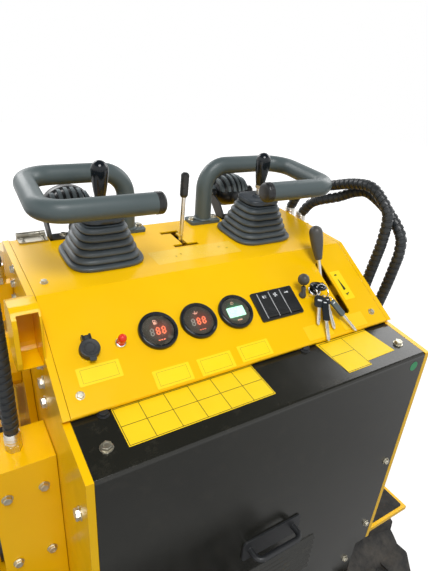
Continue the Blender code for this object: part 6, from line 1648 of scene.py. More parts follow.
def add_tread_bar(belt, place, sign):
    """One bar in two halves, each wider at its outer end, the bridge between them and two guide lugs."""
    low, high = BELT_THICK - 0.0075, BELT_THICK + BAR_HIGH
    inner, outer, slope = 0.012, 0.0845, 0.01
    narrow, wide = 0.016, 0.025
    for half in (-1, 1):
        a, b = sorted((half * inner, half * outer))
        near, far = (narrow, wide) if half * sign > 0 else (wide, narrow)
        foot = [(a, -near - slope), (b, -far - slope), (b, far + slope), (a, near + slope)]
        crest = [(a, -near), (b, -far), (b, far), (a, near)]
        rings = [[(x, q, low) for x, q in foot], [(x, q, high - 0.004) for x, q in crest],
                 [(x * 0.985, q * 0.9, high) for x, q in crest]]
        belt.add(rings_shape(rings), TREAD, place)
    square = ((-1, -1), (1, -1), (1, 1), (-1, 1))
    bridge = [[(0.016 * a, 0.011 * b * share, z) for a, b in square]
              for share, z in ((1.5, low), (1, high - 0.006))]
    belt.add(rings_shape(bridge), TREAD, place)
    lug_sizes = ((0.0032, 0.015, 0.0015), (0.003, 0.012, -0.0085), (0.0018, 0.007, -0.0115))
    for x in (-0.0602, 0.0602):
        lug = [[(x + a * width, b * depth, z) for a, b in square] for width, depth, z in lug_sizes]
        belt.add(rings_shape(lug), TREAD, place)


def make_belts():
    """Rubber belts: a carcass with chamfered edges, notched tread bars, and guide lugs inside."""
    section = ((-0.0835, 0.0), (0.0835, 0.0), (0.085, 0.003), (0.085, 0.0185), (0.0815, BELT_THICK),
               (-0.0815, BELT_THICK), (-0.085, 0.0185), (-0.085, 0.003))
    fine, offset = 100, 19
    line = belt_stations(180)
    stations = belt_stations(BARS * fine)
    for side, sign in SIDES:
        centre = sign * TRACK_X
        belt = Piece(f"track_belt_{side}_dressed")
        rings = [[(centre + x, y + out * math.cos(angle), z + out * math.sin(angle)) for x, out in section]
                 for (y, z), angle in line]
        belt.add(rings_shape(rings, wrap=True), TREAD, MACHINE)
        for i in range(BARS):
            (y, z), angle = stations[(i * fine + offset) % len(stations)]
            add_tread_bar(belt, MACHINE @ shift(centre, y, z) @ spin(angle - math.pi / 2, "X"), sign)
        belt.ride("machine_body", (f"track_belt_{side}",), "track_rubber")


def add_wheel_face(piece, place, radius, hub, count, ring, bolt):
    """Rim ring, hub and bolts on one side of a wheel."""
    rim = [(radius * 0.86, 0.0), (radius * 0.97, 0.0), (radius * 0.965, 0.0022), (radius * 0.88, 0.0026)]
    piece.turned(rim, STEEL, place, 64)
    middle = [(hub * 0.62, 0.0), (hub, 0.0), (hub * 0.98, 0.004), (hub * 0.86, 0.0058), (hub * 0.62, 0.006)]
    piece.turned(middle, CAST, place, 48)
    add_bolt_circle(piece, place, ring, count, bolt)


def make_wheels():
    """Sprocket hubs and bolts, and the faces of the idlers and rollers."""
    ring = [(0.0285, 0.0), (0.05, 0.0), (0.0505, 0.003), (0.048, 0.0045), (0.0285, 0.005)]
    hub = [(0.0, 0.0), (0.042, 0.0), (0.042, 0.005), (0.04, 0.0075), (0.033, 0.009), (0.026, 0.017),
           (0.012, 0.02), (0.0, 0.02)]
    plug = [(0.0, 0.0198), (0.0055, 0.0198), (0.0055, 0.023), (0.0, 0.0234)]
    for side, sign in SIDES:
        centre = sign * TRACK_X
        drive = Piece(f"sprocket_{side}_hub")
        for out in (-1, 1):
            face = spot(centre + out * 0.023, *SPROCKET[:2], (out, 0, 0))
            drive.turned(ring, STEEL, face, 56)
            add_bolt_circle(drive, face, 0.07, 5, 0.01, start=1.75)
        cap = spot(centre + sign * 0.0275, *SPROCKET[:2], (sign, 0, 0))
        drive.turned(hub, CAST, cap, 48)
        add_bolt_circle(drive, cap @ shift(0, 0, 0.008), 0.0365, 6, 0.005, start=0)
        drive.turned(plug, BRASS, cap, 6)
        drive.ride(f"sprocket_{side}")
        wheel = Piece(f"idler_{side}_faces")
        for out in (-1, 1):
            face = spot(centre + out * 0.055, *IDLER[:2], (out, 0, 0))
            add_wheel_face(wheel, face, IDLER[2], 0.044, 6, 0.085, 0.0085)
        wheel.ride(f"idler_{side}")
        for name, (y, z, radius) in ROLLERS.items():
            roller = Piece(f"roller_{name}_{side}_faces")
            for out in (-1, 1):
                face = spot(centre + out * 0.052, y, z, (out, 0, 0))
                add_wheel_face(roller, face, radius, 0.026, 4, 0.04, 0.0048)
            roller.ride(f"{name}_roller_{side}")


def add_axle_bolts(frame, out, outward):
    """A large washer and bolt on the end of each axle."""
    washer_thick = 0.0052
    washer = solid((0.0265, 0.0), (0.0265, 0.004), (0.025, washer_thick))
    for y, z in (IDLER[:2], ROLLERS["rear"][:2], ROLLERS["front"][:2]):
        place = spot(out, y, z, outward)
        frame.turned(washer, ZINC, place, 40)
        add_bolt(frame, place @ shift(0, 0, washer_thick), 0.015)


def add_frame_covers(frame, out, sign):
    """The bolted cover of the belt's tensioner with its grease point, and the inspection plate."""
    outward = (sign, 0, 0)
    cover, plate = 0.004, 0.003
    base = MACHINE @ shift(out, 0) @ Matrix(((0, 0, sign, 0), (1, 0, 0, 0), (0, 1, 0, 0), (0, 0, 0, 1)))
    frame.plate((0.5, 0.64), (0.13, 0.19), 0.01, 0.0, cover, MACHINE_BLACK, base, 0.001)
    bolts = [(out + sign * cover, y, z) for y in (0.512, 0.628) for z in (0.142, 0.178)]
    add_bolts(frame, bolts, outward, 0.0058)
    # A dark plate round the grease point: painted shade of the opening in the cover.
    frame.plate((0.548, 0.592), (0.15, 0.17), 0.0098, 0.0038, 0.0046, PAINTED_SHADOW, base)
    add_nipple(frame, spot(out + sign * 0.0046, 0.57, 0.16, outward))
    frame.plate((0.2, 0.38), (0.185, 0.245), 0.008, 0.0, plate, YELLOW, base, 0.0008)
    bolts = [(out + sign * plate, y, z) for y in (0.212, 0.29, 0.368) for z in (0.195, 0.235)]
    add_bolts(frame, bolts, outward, 0.005)


def add_frame_welds(frame, out, inner):
    """Beads along the frame's upper edges and along the beams that join it to the tub."""
    bead, rear, front, top = 0.003, 0.066, 0.636, 0.2605
    add_weld(frame, [(out, y, top) for y in (rear, front)], bead)
    add_weld(frame, [(inner, rear, 0.284), (inner, front, top)], bead)
    for y in (0.1, 0.48):
        for z in (0.15, 0.235):
            add_weld(frame, [(inner, y, z), (inner, y + 0.11, z)], bead)


def make_track_frames():
    """Axle bolts, tensioner cover, inspection plate, skids and weld beads on the track frames."""
    skid = round_outline((-0.03, 0.03), (-0.006, 0.006), 0.003, 3)
    for side, sign in SIDES:
        frame = Piece(f"track_frame_{side}_fittings")
        out = sign * (TRACK_X + TRACK_FRAME_HALF)
        add_axle_bolts(frame, out, (sign, 0, 0))
        add_frame_covers(frame, out, sign)
        add_frame_welds(frame, out, sign * (TRACK_X - TRACK_FRAME_HALF))
        for y in (0.16, 0.42):
            place = MACHINE @ shift(sign * TRACK_X, y, 0.262) @ spin(math.pi / 2, "Z")
            frame.flat(skid, -0.002, 0.022, STEEL, place, 0.002)
        frame.ride("machine_body", slot="yellow")


# Chassis, towers and deck


def make_towers():
    """Pin heads, keepers, weld beads and gussets of the two towers, and the deck's anti-slip strips."""
    collar = [(0.0465, 0.0), (0.056, 0.0), (0.056, 0.003), (0.054, 0.0042), (0.048, 0.0042), (0.0465, 0.003)]
    keeper_plate = round_outline((-0.013, 0.013), (0.0215, 0.048), 0.006, 4)
    for side, sign in SIDES:
        outward = (sign, 0, 0)
        tower = Piece(f"tower_{side}_fittings")
        pivot = spot(sign * TOWER_SIDE, *ARM_PIVOT, outward)
        add_pin_head(tower, spot(sign * TOWER_PIN_END, *ARM_PIVOT, outward), 0.02, keeper=False)
        keeper = pivot @ spin(math.pi, "Z")
        tower.flat(keeper_plate, 0.0002, 0.005, ZINC, keeper, 0.001)
        add_bolt(tower, keeper @ shift(0, 0.0385, 0.005), 0.0075)
        add_pin_head(tower, spot(sign * TOWER_PIN_END, *LIFT_TOWER_PIN, outward), 0.0125, keeper=False)
        for x in TOWER_PLATES:
            add_weld(tower, [(sign * x, y, DECK) for y in (-0.018, 0.248)], 0.0032)
        for y in (-0.0195, 0.2495):
            add_weld(tower, [(sign * x, y, DECK) for x in TOWER_PLATES[2:]], 0.0032)
        tower.turned(collar, YELLOW, pivot, 48)
        gusset = [(0.245, DECK), (0.3, DECK), (0.228, 0.6)]
        tower.add(beam(gusset, (sign * 0.4214, sign * 0.43), 0.001), YELLOW, MACHINE)
        strips = Piece(f"deck_{side}_grip")
        for y in ((-0.225, -0.11), (0.33, 0.45), (0.48, 0.6), (0.63, 0.72)):
            strip = round_outline(sorted((sign * 0.315, sign * 0.432)), y, 0.006, 4)
            strips.flat(strip, DECK + 0.0001, DECK + 0.0012, GRIT, MACHINE)
        strips.ride("machine_body")
        bolts = [(sign * x, -0.0905, z) for x in (0.322, 0.372) for z in (0.56, 0.7, 0.84)]
        add_bolts(tower, bolts, REARWARD, 0.007)
        tower.ride("machine_body", slot="yellow")


def make_chassis_fittings():
    """Tie-down loops, weld beads, and the bolts, slots and drain plug of the tub and front guard."""
    frame = Piece("chassis_fittings")
    loop = filleted([(-0.016, 0, 0.004), (-0.016, 0, 0.024), (0.016, 0, 0.024), (0.016, 0, 0.004)],
                    (0, 0.01, 0.01, 0), 6)
    for sign in (-1, 1):
        for y, direction in ((-0.232, REARWARD), (GUARD_FRONT, FORWARD)):
            plate = spot(sign * 0.135, y, 0.165, direction)
            frame.plate((-0.028, 0.028), (-0.022, 0.022), 0.005, 0.0, 0.006, YELLOW, plate, 0.001)
            frame.bar(loop, 0.0055, YELLOW, plate, 14)
            for dx in (-0.0215, 0.0215):
                for dy in (0.0145, -0.0145):
                    add_bolt(frame, plate @ shift(dx, dy, 0.006), 0.005)
        add_weld(frame, [(sign * TUB_SIDE, -0.228, 0.49), (sign * TUB_SIDE, 0.728, 0.49)], 0.0032)
        add_weld(frame, [(sign * TUB_SIDE, -0.228, 0.122), (sign * TUB_SIDE, 0.736, 0.122)], 0.003)
        add_bolts(frame, [(sign * 0.225, GUARD_FRONT, z) for z in (0.3, 0.44, 0.585)], FORWARD, 0.008)
        add_bolts(frame, [(sign * 0.426, y, DECK) for y in (-0.094, 0.315, 0.465, 0.615)], UPWARD, 0.007)
        add_bolts(frame, [(sign * 0.27, y, DECK) for y in (0.4, 0.56, 0.7)], UPWARD, 0.006)
        add_pin_head(frame, spot(sign * 0.22, -0.264, 0.235, (sign, 0, 0)), 0.009, keeper=False)
    upright = MACHINE @ shift(0, GUARD_FRONT) @ spin(math.pi / 2, "X") @ Matrix.Scale(-1, 4, (0, 0, 1))
    # Six dark plates on the front guard: painted shade standing for its slots.
    for i in range(6):
        x = -0.125 + 0.05 * i
        frame.plate((x - 0.017, x + 0.017), (0.2, 0.214), 0.0065, 0.0, 0.0006, PAINTED_SHADOW, upright)
    add_bolt(frame, spot(0.0, -0.2325, 0.15, REARWARD), 0.012)
    frame.ride("machine_body", slot="yellow")


def make_seals():
    """Rubber strips between the firewall and the side panels."""
    seals = Piece("firewall_seals")
    for sign in (-1, 1):
        seals.box(sorted((sign * 0.2882, sign * 0.299)), (0.2003, 0.2079), (0.502, 1.052), RUBBER, MACHINE,
                  0.001)
    seals.ride("machine_body")


def make_fuel_cap():
    cap = Piece("fuel_cap")
    place = spot(0.045, 0.254, 1.056, UPWARD)
    profile = [(0.0, 0.0), (0.033, 0.0), (0.033, 0.006), (0.03, 0.007), (0.029, 0.01), (0.03, 0.011),
               (0.03, 0.02), (0.0275, 0.0225), (0.0, 0.023)]
    cap.turned(profile, PLASTIC, place, 48)
    for k in range(16):
        turn = place @ spin(math.pi / 8 * k, "Z")
        cap.box((0.0285, 0.0312), (-0.0024, 0.0024), (0.0112, 0.0198), PLASTIC, turn, 0.0008, 1)
    cap.box((-0.02, 0.02), (-0.0035, 0.0035), (0.022, 0.0262), PLASTIC, place, 0.0012)
    cap.ride("machine_body")


def make_rear_cover_fittings():
    """Bolts, a handle on its plate and louvre lips on the rear cover."""
    rear = Piece("rear_cover_fittings")
    for sign in (-1, 1):
        for x, heights in ((0.272, (0.56, 0.74)), (0.235, (0.33, 0.47))):
            add_bolts(rear, [(sign * x, REAR_FACE, z) for z in heights], REARWARD, 0.0065)
    latch = spot(0.0, REAR_FACE, 0.7, REARWARD)
    rear.plate((-0.06, 0.06), (-0.022, 0.022), 0.008, 0.0, 0.003, MACHINE_BLACK, latch, 0.001)
    grip = filleted([(-0.045, 0, 0.002), (-0.045, 0, 0.026), (0.045, 0, 0.026), (0.045, 0, 0.002)],
                    (0, 0.012, 0.012, 0), 8)
    rear.bar(grip, 0.0052, MACHINE_BLACK, latch, 16)
    for i in range(7):
        z = 0.545 + 0.0135 * i
        lip = ((0.0, 0.0), (0.0, 0.0085), (0.0052, 0.0008), (0.0052, 0.0))
        shape = beam([(REAR_FACE - a, z + b) for a, b in lip], (-0.11, 0.11), 0.0006)
        rear.add(shape, GLOSS_BLACK, MACHINE)
    rear.ride("machine_body", slot="gloss_black")


# Arms, cylinders, plate and bucket


def edge_line(side, inset):
    """A line along the arm's upper or lower edge, as (y, z) points."""
    result = []
    for i, (y, z, half) in enumerate(ARM_PATH):
        before = ARM_PATH[max(i - 1, 0)]
        after = ARM_PATH[min(i + 1, len(ARM_PATH) - 1)]
        along = Vector((after[0] - before[0], after[1] - before[1])).normalized()
        across = Vector((-along.y, along.x)) * side
        stretch = 1.06 if 0 < i < len(ARM_PATH) - 1 else 1.0
        result.append(Vector((y, z)) + across * (half * stretch - inset))
    return result


def add_arm_seams(arms, sign):
    """Weld beads along both edges of an arm's two side plates."""
    for x in ARM_SIDES:
        for side in (-1, 1):
            line = edge_line(side, 0.003)
            seam = (line[0].lerp(line[1], 0.14), *line[1:-1], line[-2].lerp(line[-1], 0.78))
            add_weld(arms, [(sign * x, p.x, p.y) for p in seam], 0.0026)


def add_arm_pipes(arms, sign):
    """Two hydraulic pipes on an arm's inner side, held by three straps, with fittings at their ends."""
    strap = round_outline((-0.024, 0.024), (-0.012, 0.012), 0.004, 3)
    strap_thick = 0.0035
    for y, z in ((0.25, 0.905), (0.6, 0.858), (0.935, 0.64)):
        place = spot(sign * ARM_SIDES[0], y, z, (-sign, 0, 0))
        arms.flat(strap, 0.0, strap_thick, MACHINE_BLACK, place, 0.0008)
        add_bolt(arms, place @ shift(0, 0, strap_thick), 0.006)
    x, apart = sign * 0.34, 0.014
    ferrule = solid((0.0062, -0.016), (0.0066, -0.013), (0.006, -0.006))
    for up in (apart, -apart):
        pipe = [(x, 0.215, 0.912 + up), (x, 0.6, 0.862 + up), (x, 0.925 + up * 0.5, 0.652 + up),
                (x, 0.99 + up * 0.8, 0.455)]
        arms.bar(filleted(pipe, (0, 0.1, 0.07, 0), 8), 0.0052, MACHINE_BLACK, MACHINE, 14)
        for end, back in ((pipe[0], pipe[1]), (pipe[-1], pipe[-2])):
            place = spot(*end, Vector(back) - Vector(end))
            arms.flat(hexagon(0.0088), -0.006, 0.01, ZINC, place, 0.0006)
            arms.turned(ferrule, ZINC, place, 20)


def add_cross_tubes(arms):
    """A smooth skin on each tube between the arms, with a weld collar at both ends."""
    for y, z, radius in CROSS_TUBES:
        skin = sleeve(radius + 0.0004, -ARM_SIDES[0] - 0.0002, ARM_SIDES[0] + 0.0002, 64)
        arms.add(skin, YELLOW, spot(0, y, z, (1, 0, 0)))
        collar = [(radius * 0.99, 0.0076), (radius * 1.09, 0.003), (radius * 0.99, 0.0), (radius * 0.9, 0.0),
                  (radius * 0.9, 0.0076)]
        for sign in (-1, 1):
            arms.turned(collar, YELLOW, spot(sign * (ARM_SIDES[0] - 0.008), y, z, (sign, 0, 0)), 40)


def add_plate_pins(arms, sign):
    """Pin heads of the tilt cylinder and of the plate, and the outer boss with its keeper."""
    boss_end, keeper_top = 0.006, 0.0046
    keeper_plate = round_outline((-0.008, 0.008), (0.0215, 0.033), 0.0035, 4)
    add_pin_head(arms, spot(sign * 0.0405, *TILT_ARM_PIN, (sign, 0, 0)), 0.011, keeper=sign > 0)
    add_pin_head(arms, spot(sign * 0.3065, *PLATE_PIN, (-sign, 0, 0)), 0.015, keeper=False)
    boss = spot(sign * ARM_SIDES[1], *PLATE_PIN, (sign, 0, 0))
    arms.turned(solid((0.034, -0.0005), (0.034, 0.0045), (0.0325, boss_end)), YELLOW, boss, 56)
    add_pin_head(arms, boss @ shift(0, 0, boss_end), 0.016, keeper=False)
    keeper = boss @ spin(2.4 * sign, "Z") @ shift(0, 0, boss_end)
    arms.flat(keeper_plate, -boss_end - 0.0002, keeper_top, ZINC, keeper, 0.0008)
    add_bolt(arms, keeper @ shift(0, 0.027, keeper_top), 0.005)


def make_arm_fittings():
    """Weld seams, pin heads, grease points and the hydraulic pipes that run along the arms."""
    arms = Piece("loader_arm_fittings")
    for sign in (-1, 1):
        add_arm_seams(arms, sign)
        for out in (-1, 1):
            face = sign * ARM_X + out * 0.0286
            add_pin_head(arms, spot(face, *LIFT_ARM_PIN, (out, 0, 0)), 0.0115, keeper=out == sign)
        add_arm_pipes(arms, sign)
    add_cross_tubes(arms)
    for sign in (-1, 1):
        add_plate_pins(arms, sign)
    arms.ride("arms", slot="yellow")


def add_barrel_pipe(barrel, place, radius, near, far):
    """Both ports of a cylinder, with the steel pipe to the far one and a plug in the near one."""
    outward = spin(-math.pi / 2, "X")
    for at in (near, far):
        port = place @ shift(0, radius - 0.002, at) @ outward
        barrel.turned(solid((0.0115, 0.0), (0.011, 0.009)), MACHINE_BLACK, port, 24)
        barrel.flat(hexagon(0.009), 0.0088, 0.0165, ZINC, port, 0.0006)
    top = radius + 0.0185
    corners = [(0, radius + 0.01, far), (0, top, far), (0, top, near + 0.03),
               (0, radius + 0.006, near + 0.03)]
    barrel.bar(filleted(corners, (0, 0.006, 0.008, 0), 6), 0.0046, MACHINE_BLACK, place, 14)
    cap = [(0.0, 0.0), (0.0062, 0.0), (0.0062, 0.006), (0.005, 0.0072), (0.0, 0.0075)]
    barrel.turned(cap, PLASTIC, place @ shift(0, radius + 0.0145, near) @ outward, 20)


def add_cylinder_fittings(barrel, ram, x, base, end, shortest, radius, eye, rod):
    """Gland, ports, a steel pipe to the far port and nipples of one cylinder, between its pins."""
    length = math.dist(base, end)
    place = shift(x, 0) @ heading_of(base, end)
    mouth = shortest - eye - 0.012
    foot = eye * 0.95
    barrel.add(sleeve(radius + 0.0004, foot + 0.002, mouth - 0.018), MACHINE_BLACK, place)
    gland = [(radius + 0.002, mouth - 0.0205), (radius + 0.0046, mouth - 0.019),
             (radius + 0.0046, mouth - 0.005), (radius + 0.0034, mouth - 0.001),
             (rod + 0.003, mouth + 0.0004)]
    barrel.turned(gland, STEEL, place, 56)
    ram.add(sleeve(rod + 0.0001, mouth - 0.03, length - eye * 0.92, 48), CHROME, place)
    for k in range(6):
        notch = place @ spin(math.pi / 3 * k, "Z")
        barrel.box((-0.003, 0.003), (radius + 0.003, radius + 0.0062), (mouth - 0.015, mouth - 0.008),
                   STEEL, notch, 0.0008, 1)
    wiper = [(rod + 0.0006, mouth), (rod + 0.006, mouth), (rod + 0.0052, mouth + 0.0024),
             (rod + 0.0006, mouth + 0.003)]
    barrel.turned(wiper, RUBBER, place, 32)
    foot_weld = [(radius - 0.001, foot), (radius + 0.0032, foot + 0.003), (radius - 0.0004, foot + 0.0075)]
    barrel.turned(foot_weld, MACHINE_BLACK, place, 40)
    add_barrel_pipe(barrel, place, radius, eye + 0.028, mouth - 0.045)
    for piece, at in ((barrel, 0.0), (ram, length)):
        add_nipple(piece, place @ shift(0, eye * 0.97, at) @ spin(-math.pi / 2, "X"))
    eye_weld = [(rod - 0.0006, length - eye * 0.99), (rod + 0.0034, length - eye * 0.9),
                (rod + 0.001, length - eye * 0.78)]
    ram.turned(eye_weld, STEEL, place, 32)


def make_cylinder_fittings():
    for side, sign in SIDES:
        barrel, ram = Piece(f"lift_barrel_{side}_fittings"), Piece(f"lift_rod_{side}_fittings")
        add_cylinder_fittings(barrel, ram, sign * ARM_X, LIFT_TOWER_PIN, LIFT_ARM_PIN, LIFT_SHORTEST,
                              radius=0.028, eye=0.027, rod=0.015)
        barrel.ride(f"lift_cylinder_{side}", slot="black_paint")
        ram.ride(f"lift_ram_{side}", slot="chrome")
    barrel, ram = Piece("tilt_barrel_fittings"), Piece("tilt_rod_fittings")
    add_cylinder_fittings(barrel, ram, 0.0, TILT_ARM_PIN, TILT_PLATE_PIN, TILT_SHORTEST, radius=0.024,
                          eye=0.023, rod=0.0125)
    barrel.ride("tilt_cylinder", slot="black_paint")
    ram.ride("tilt_ram", slot="chrome")


def add_locking_lever(tool, face, sign):
    """A lever on its pivot plate with a rubber grip, the spring beside it and the locking wedge below."""
    plate_top = 0.006
    tool.plate((-0.026, 0.026), (-0.085, 0.085), 0.008, 0.0, plate_top, MACHINE_BLACK, face, 0.0012)
    pivot = solid((0.018, 0.0), (0.018, 0.015), (0.016, 0.017))
    tool.turned(pivot, STEEL, face @ shift(0, 0.045, plate_top), 36)
    lever = filleted([(0, 0.045, 0.018), (0, 0.045, 0.03), (-sign * 0.06, 0.105, 0.034),
                      (-sign * 0.072, 0.135, 0.034)], (0, 0.008, 0.02, 0), 6)
    tool.bar(lever, 0.0075, MACHINE_BLACK, face, 16)
    along = (lever[-1] - lever[-2]).normalized()
    tool.bar([lever[-1] + along * d for d in (-0.02, 0.018)], 0.0115, RUBBER, face, 20)
    turns, fine, coil = 12, 96, 0.007
    angles = [2 * math.pi * turns * k / fine for k in range(fine + 1)]
    spring = [(sign * 0.01 + coil * math.cos(a), -0.075 + 0.105 * k / fine, 0.013 + coil * math.sin(a))
              for k, a in enumerate(angles)]
    tool.bar(spring, 0.0014, ZINC, face, 8)
    tool.box((-0.014, 0.014), (-0.19, -0.08), (0.0, 0.014), STEEL, face, 0.002)


def make_attachment_fittings():
    """Locking levers with their wedges and springs, seams and pin heads of the attachment plate."""
    tool = Piece("attachment_plate_fittings")
    for sign in (-1, 1):
        add_locking_lever(tool, spot(sign * 0.225, PLATE_BACK, 0.3, REARWARD), sign)
        add_bolts(tool, [(sign * 0.3, PLATE_BACK, z) for z in (0.375, 0.405)], REARWARD, 0.008)
        for x in (0.31, 0.3474):
            add_weld(tool, [(sign * x, PLATE_BACK, z) for z in (0.11, 0.325)], 0.003, MACHINE_BLACK)
        add_pin_head(tool, spot(sign * 0.0276, *TILT_PLATE_PIN, (sign, 0, 0)), 0.0105, keeper=False)
    tool.ride("attachment", slot="black_paint")


def add_edge_bolts(bucket):
    """Plough bolts along the cutting edge, each with its square socket."""
    count, step = 9, 0.105
    head = [(0.0, -0.0005), (0.0125, -0.0005), (0.012, 0.0022), (0.0095, 0.0042), (0.0, 0.0048)]
    for k in range(count):
        place = spot(step * (k - (count - 1) / 2), 1.585, EDGE_TOP, UPWARD)
        bucket.turned(head, STEEL, place, 32)
        bucket.box((-0.0032, 0.0032), (-0.0032, 0.0032), (0.004, 0.0062), STEEL, place, 0.0004, 1)


def add_side_cutters(bucket):
    """A bolted cutter on each side plate, and the weld beads inside the bucket."""
    cutter = [(1.5, 0.022), (1.632, 0.022), (1.632, 0.036), (1.606, 0.108), (1.5, 0.19), (1.468, 0.17)]
    bolt_places = ((1.59, 0.06), (1.545, 0.105), (1.505, 0.15))
    for sign in (-1, 1):
        inner, outer = sign * BUCKET_SIDE, sign * (BUCKET_SIDE + 0.006)
        bucket.add(beam(cutter, sorted((inner, outer)), 0.0014), STEEL, MACHINE)
        add_bolts(bucket, [(outer, y, z) for y, z in bolt_places], (sign, 0, 0), 0.0095)
        seam = inner * 0.9825
        add_weld(bucket, [(seam, 1.3, 0.0135), (seam, 1.555, 0.0135)], 0.0034)
        add_weld(bucket, [(seam, 1.241, 0.09), (seam, 1.241, 0.42)], 0.0034)


def heel_outline():
    """A thin skin round the bucket's heel, from its back to its floor and back again inside."""
    middle_y, middle_z = 1.3124, 0.084
    result = []
    for radius, start, end in ((0.0834, 172, 270), (0.0802, 270, 172)):
        for k in range(25):
            a = math.radians(start + (end - start) * k / 24)
            result.append((middle_y + radius * math.cos(a), middle_z + radius * math.sin(a)))
    return result


def make_bucket_fittings():
    """The bolted cutting edge, side cutters, wear strips, heel skin, lip and seams of the bucket."""
    bucket = Piece("bucket_fittings")
    add_edge_bolts(bucket)
    add_side_cutters(bucket)
    rib = [(1.233, 0.432), (1.279, 0.462), (1.233, 0.462)]
    for x in (-0.3, -0.1, 0.1, 0.3):
        bucket.box((x - 0.02, x + 0.02), (1.33, 1.56), (0.0012, 0.0042), STEEL, MACHINE, 0.001)
        bucket.add(beam(rib, (x - 0.004, x + 0.004)), YELLOW, MACHINE)
    bucket.add(beam(heel_outline(), (-0.462, 0.462), 0.0006), YELLOW, MACHINE)
    bucket.bar([(x, 1.2835, 0.465) for x in (-0.468, 0, 0.468)], 0.0058, YELLOW, MACHINE, 14)
    add_weld(bucket, [(-0.46, 1.5615, 0.0155), (0.46, 1.5615, 0.0155)], 0.0032)
    bucket.ride("attachment", slot="yellow")


# Hood, engine and platform


def hood_top(y):
    return HOOD_REAR[1] - HOOD_SLOPE * (y - HOOD_REAR[0])


def add_hood_louvres(hood, sign):
    """The raised lips beside the slots of one side of the hood."""
    x = sign * HOOD_SIDE
    span = sorted((x - sign * 0.001, x + sign * 0.0055))
    for i in range(5):
        y = 0.4 + 0.048 * i
        lip = [(y + 0.018, 0.64), (y + 0.0215, 0.64), (y + 0.0535, 0.76), (y + 0.05, 0.76)]
        hood.add(beam(lip, span, 0.0008), YELLOW, MACHINE)


def add_hood_latch(hood, sign):
    """A rubber draw latch on its screwed plate."""
    plate_top = 0.0028
    latch = spot(sign * HOOD_SIDE, 0.64, 0.655, (sign, 0, 0))
    hood.plate((-0.016, 0.016), (-0.03, 0.03), 0.006, 0.0, plate_top, STAINLESS, latch, 0.0008)
    hood.box((-0.0075, 0.0075), (-0.022, 0.018), (0.0026, 0.01), RUBBER, latch, 0.002)
    hood.plate((-0.012, 0.012), (0.012, 0.026), 0.005, 0.0026, 0.011, RUBBER, latch, 0.002)
    for dy in (-0.025, 0.0255):
        add_screw(hood, latch @ shift(0, dy, plate_top), 0.003)


def add_hood_hinge(hood, sign):
    """Three knuckles, and a leaf on the hood's top with three screws."""
    hinge_x, hinge_y, hinge_z = HOOD_HINGE
    rear, front, low, high = 0.3095, 0.35, 0.0004, 0.0034
    step, screw_y = 0.024, 0.336
    middle = sign * hinge_x
    knuckle = solid((0.0065, -0.0112), (0.0069, -0.0108), (0.0069, 0.0108), (0.0065, 0.0112))
    leaf = [(y, hood_top(y) + rise) for y, rise in ((rear, low), (front, low), (front, high), (rear, high))]
    for dx in (-step, 0.0, step):
        hood.turned(knuckle, STEEL, spot(middle + dx, hinge_y, hinge_z, (1, 0, 0)), 24)
    hood.add(beam(leaf, (middle - 0.036, middle + 0.036), 0.0006), STEEL, MACHINE)
    for dx in (-step, 0.0, step):
        add_screw(hood, spot(middle + dx, screw_y, hood_top(screw_y) + high, (0, HOOD_SLOPE, 1)), 0.0042)


def add_hood_grip(hood):
    """The grip on the hood's top, level from side to side, with a round foot at each end."""
    y, half, high = 0.64, 0.07, 0.034
    base = spot(0, y, hood_top(y), Vector((0, HOOD_SLOPE, 1)).normalized())
    turn = base.to_3x3()
    level = base @ spin(math.atan2((turn @ Vector((0, 1, 0))).x, (turn @ Vector((1, 0, 0))).x), "Z")
    grip = filleted([(-half, 0, 0.0), (-half, 0, high), (half, 0, high), (half, 0, 0.0)],
                    (0, 0.014, 0.014, 0), 8)
    hood.bar(grip, 0.007, MACHINE_BLACK, level, 18)
    foot = solid((0.014, 0.0), (0.014, 0.003), (0.0105, 0.0042))
    for dx in (-half, half):
        hood.turned(foot, MACHINE_BLACK, level @ shift(dx, 0), 28)


def make_hood_fittings():
    """Louvre lips, latches, hinge knuckles and the lifting grip of the hood."""
    hood = Piece("engine_hood_fittings")
    lip = [(0.0, 0.0165), (0.0075, 0.0115), (0.0075, 0.0095), (0.0, 0.014)]
    for i in range(5):
        z = 0.66 + 0.036 * i
        hood.add(beam([(HOOD_FRONT + a, z + b) for a, b in lip], (-0.188, 0.188), 0.0005), YELLOW, MACHINE)
    for sign in (-1, 1):
        add_hood_louvres(hood, sign)
        add_hood_latch(hood, sign)
        add_hood_hinge(hood, sign)
    add_hood_grip(hood)
    hood.ride("hood", slot="yellow")


def make_hood_screen():
    """The wires behind the hood's front louvres, and the cooler with its fins behind them."""
    screen = Piece("hood_screen")
    wire, fin = 0.0008, 0.0007

    def layer(behind, ahead):
        return HOOD_FRONT - behind, HOOD_FRONT - ahead

    for k in range(43):
        x = -0.189 + 0.009 * k
        screen.box((x - wire, x + wire), layer(0.0085, 0.0069), (0.65, 0.835), MACHINE_BLACK, MACHINE)
    for k in range(20):
        z = 0.652 + 0.0095 * k
        screen.box((-0.194, 0.194), layer(0.0069, 0.0053), (z - wire, z + wire), MACHINE_BLACK, MACHINE)
    screen.box((-0.205, 0.205), layer(0.03, 0.0125), (0.642, 0.846), CAST, MACHINE, 0.002)
    for k in range(46):
        z = 0.6475 + 0.0043 * k
        screen.box((-0.2, 0.2), layer(0.0127, 0.0095), (z - fin, z + fin), STEEL, MACHINE)
    screen.ride("hood", slot="black_paint")


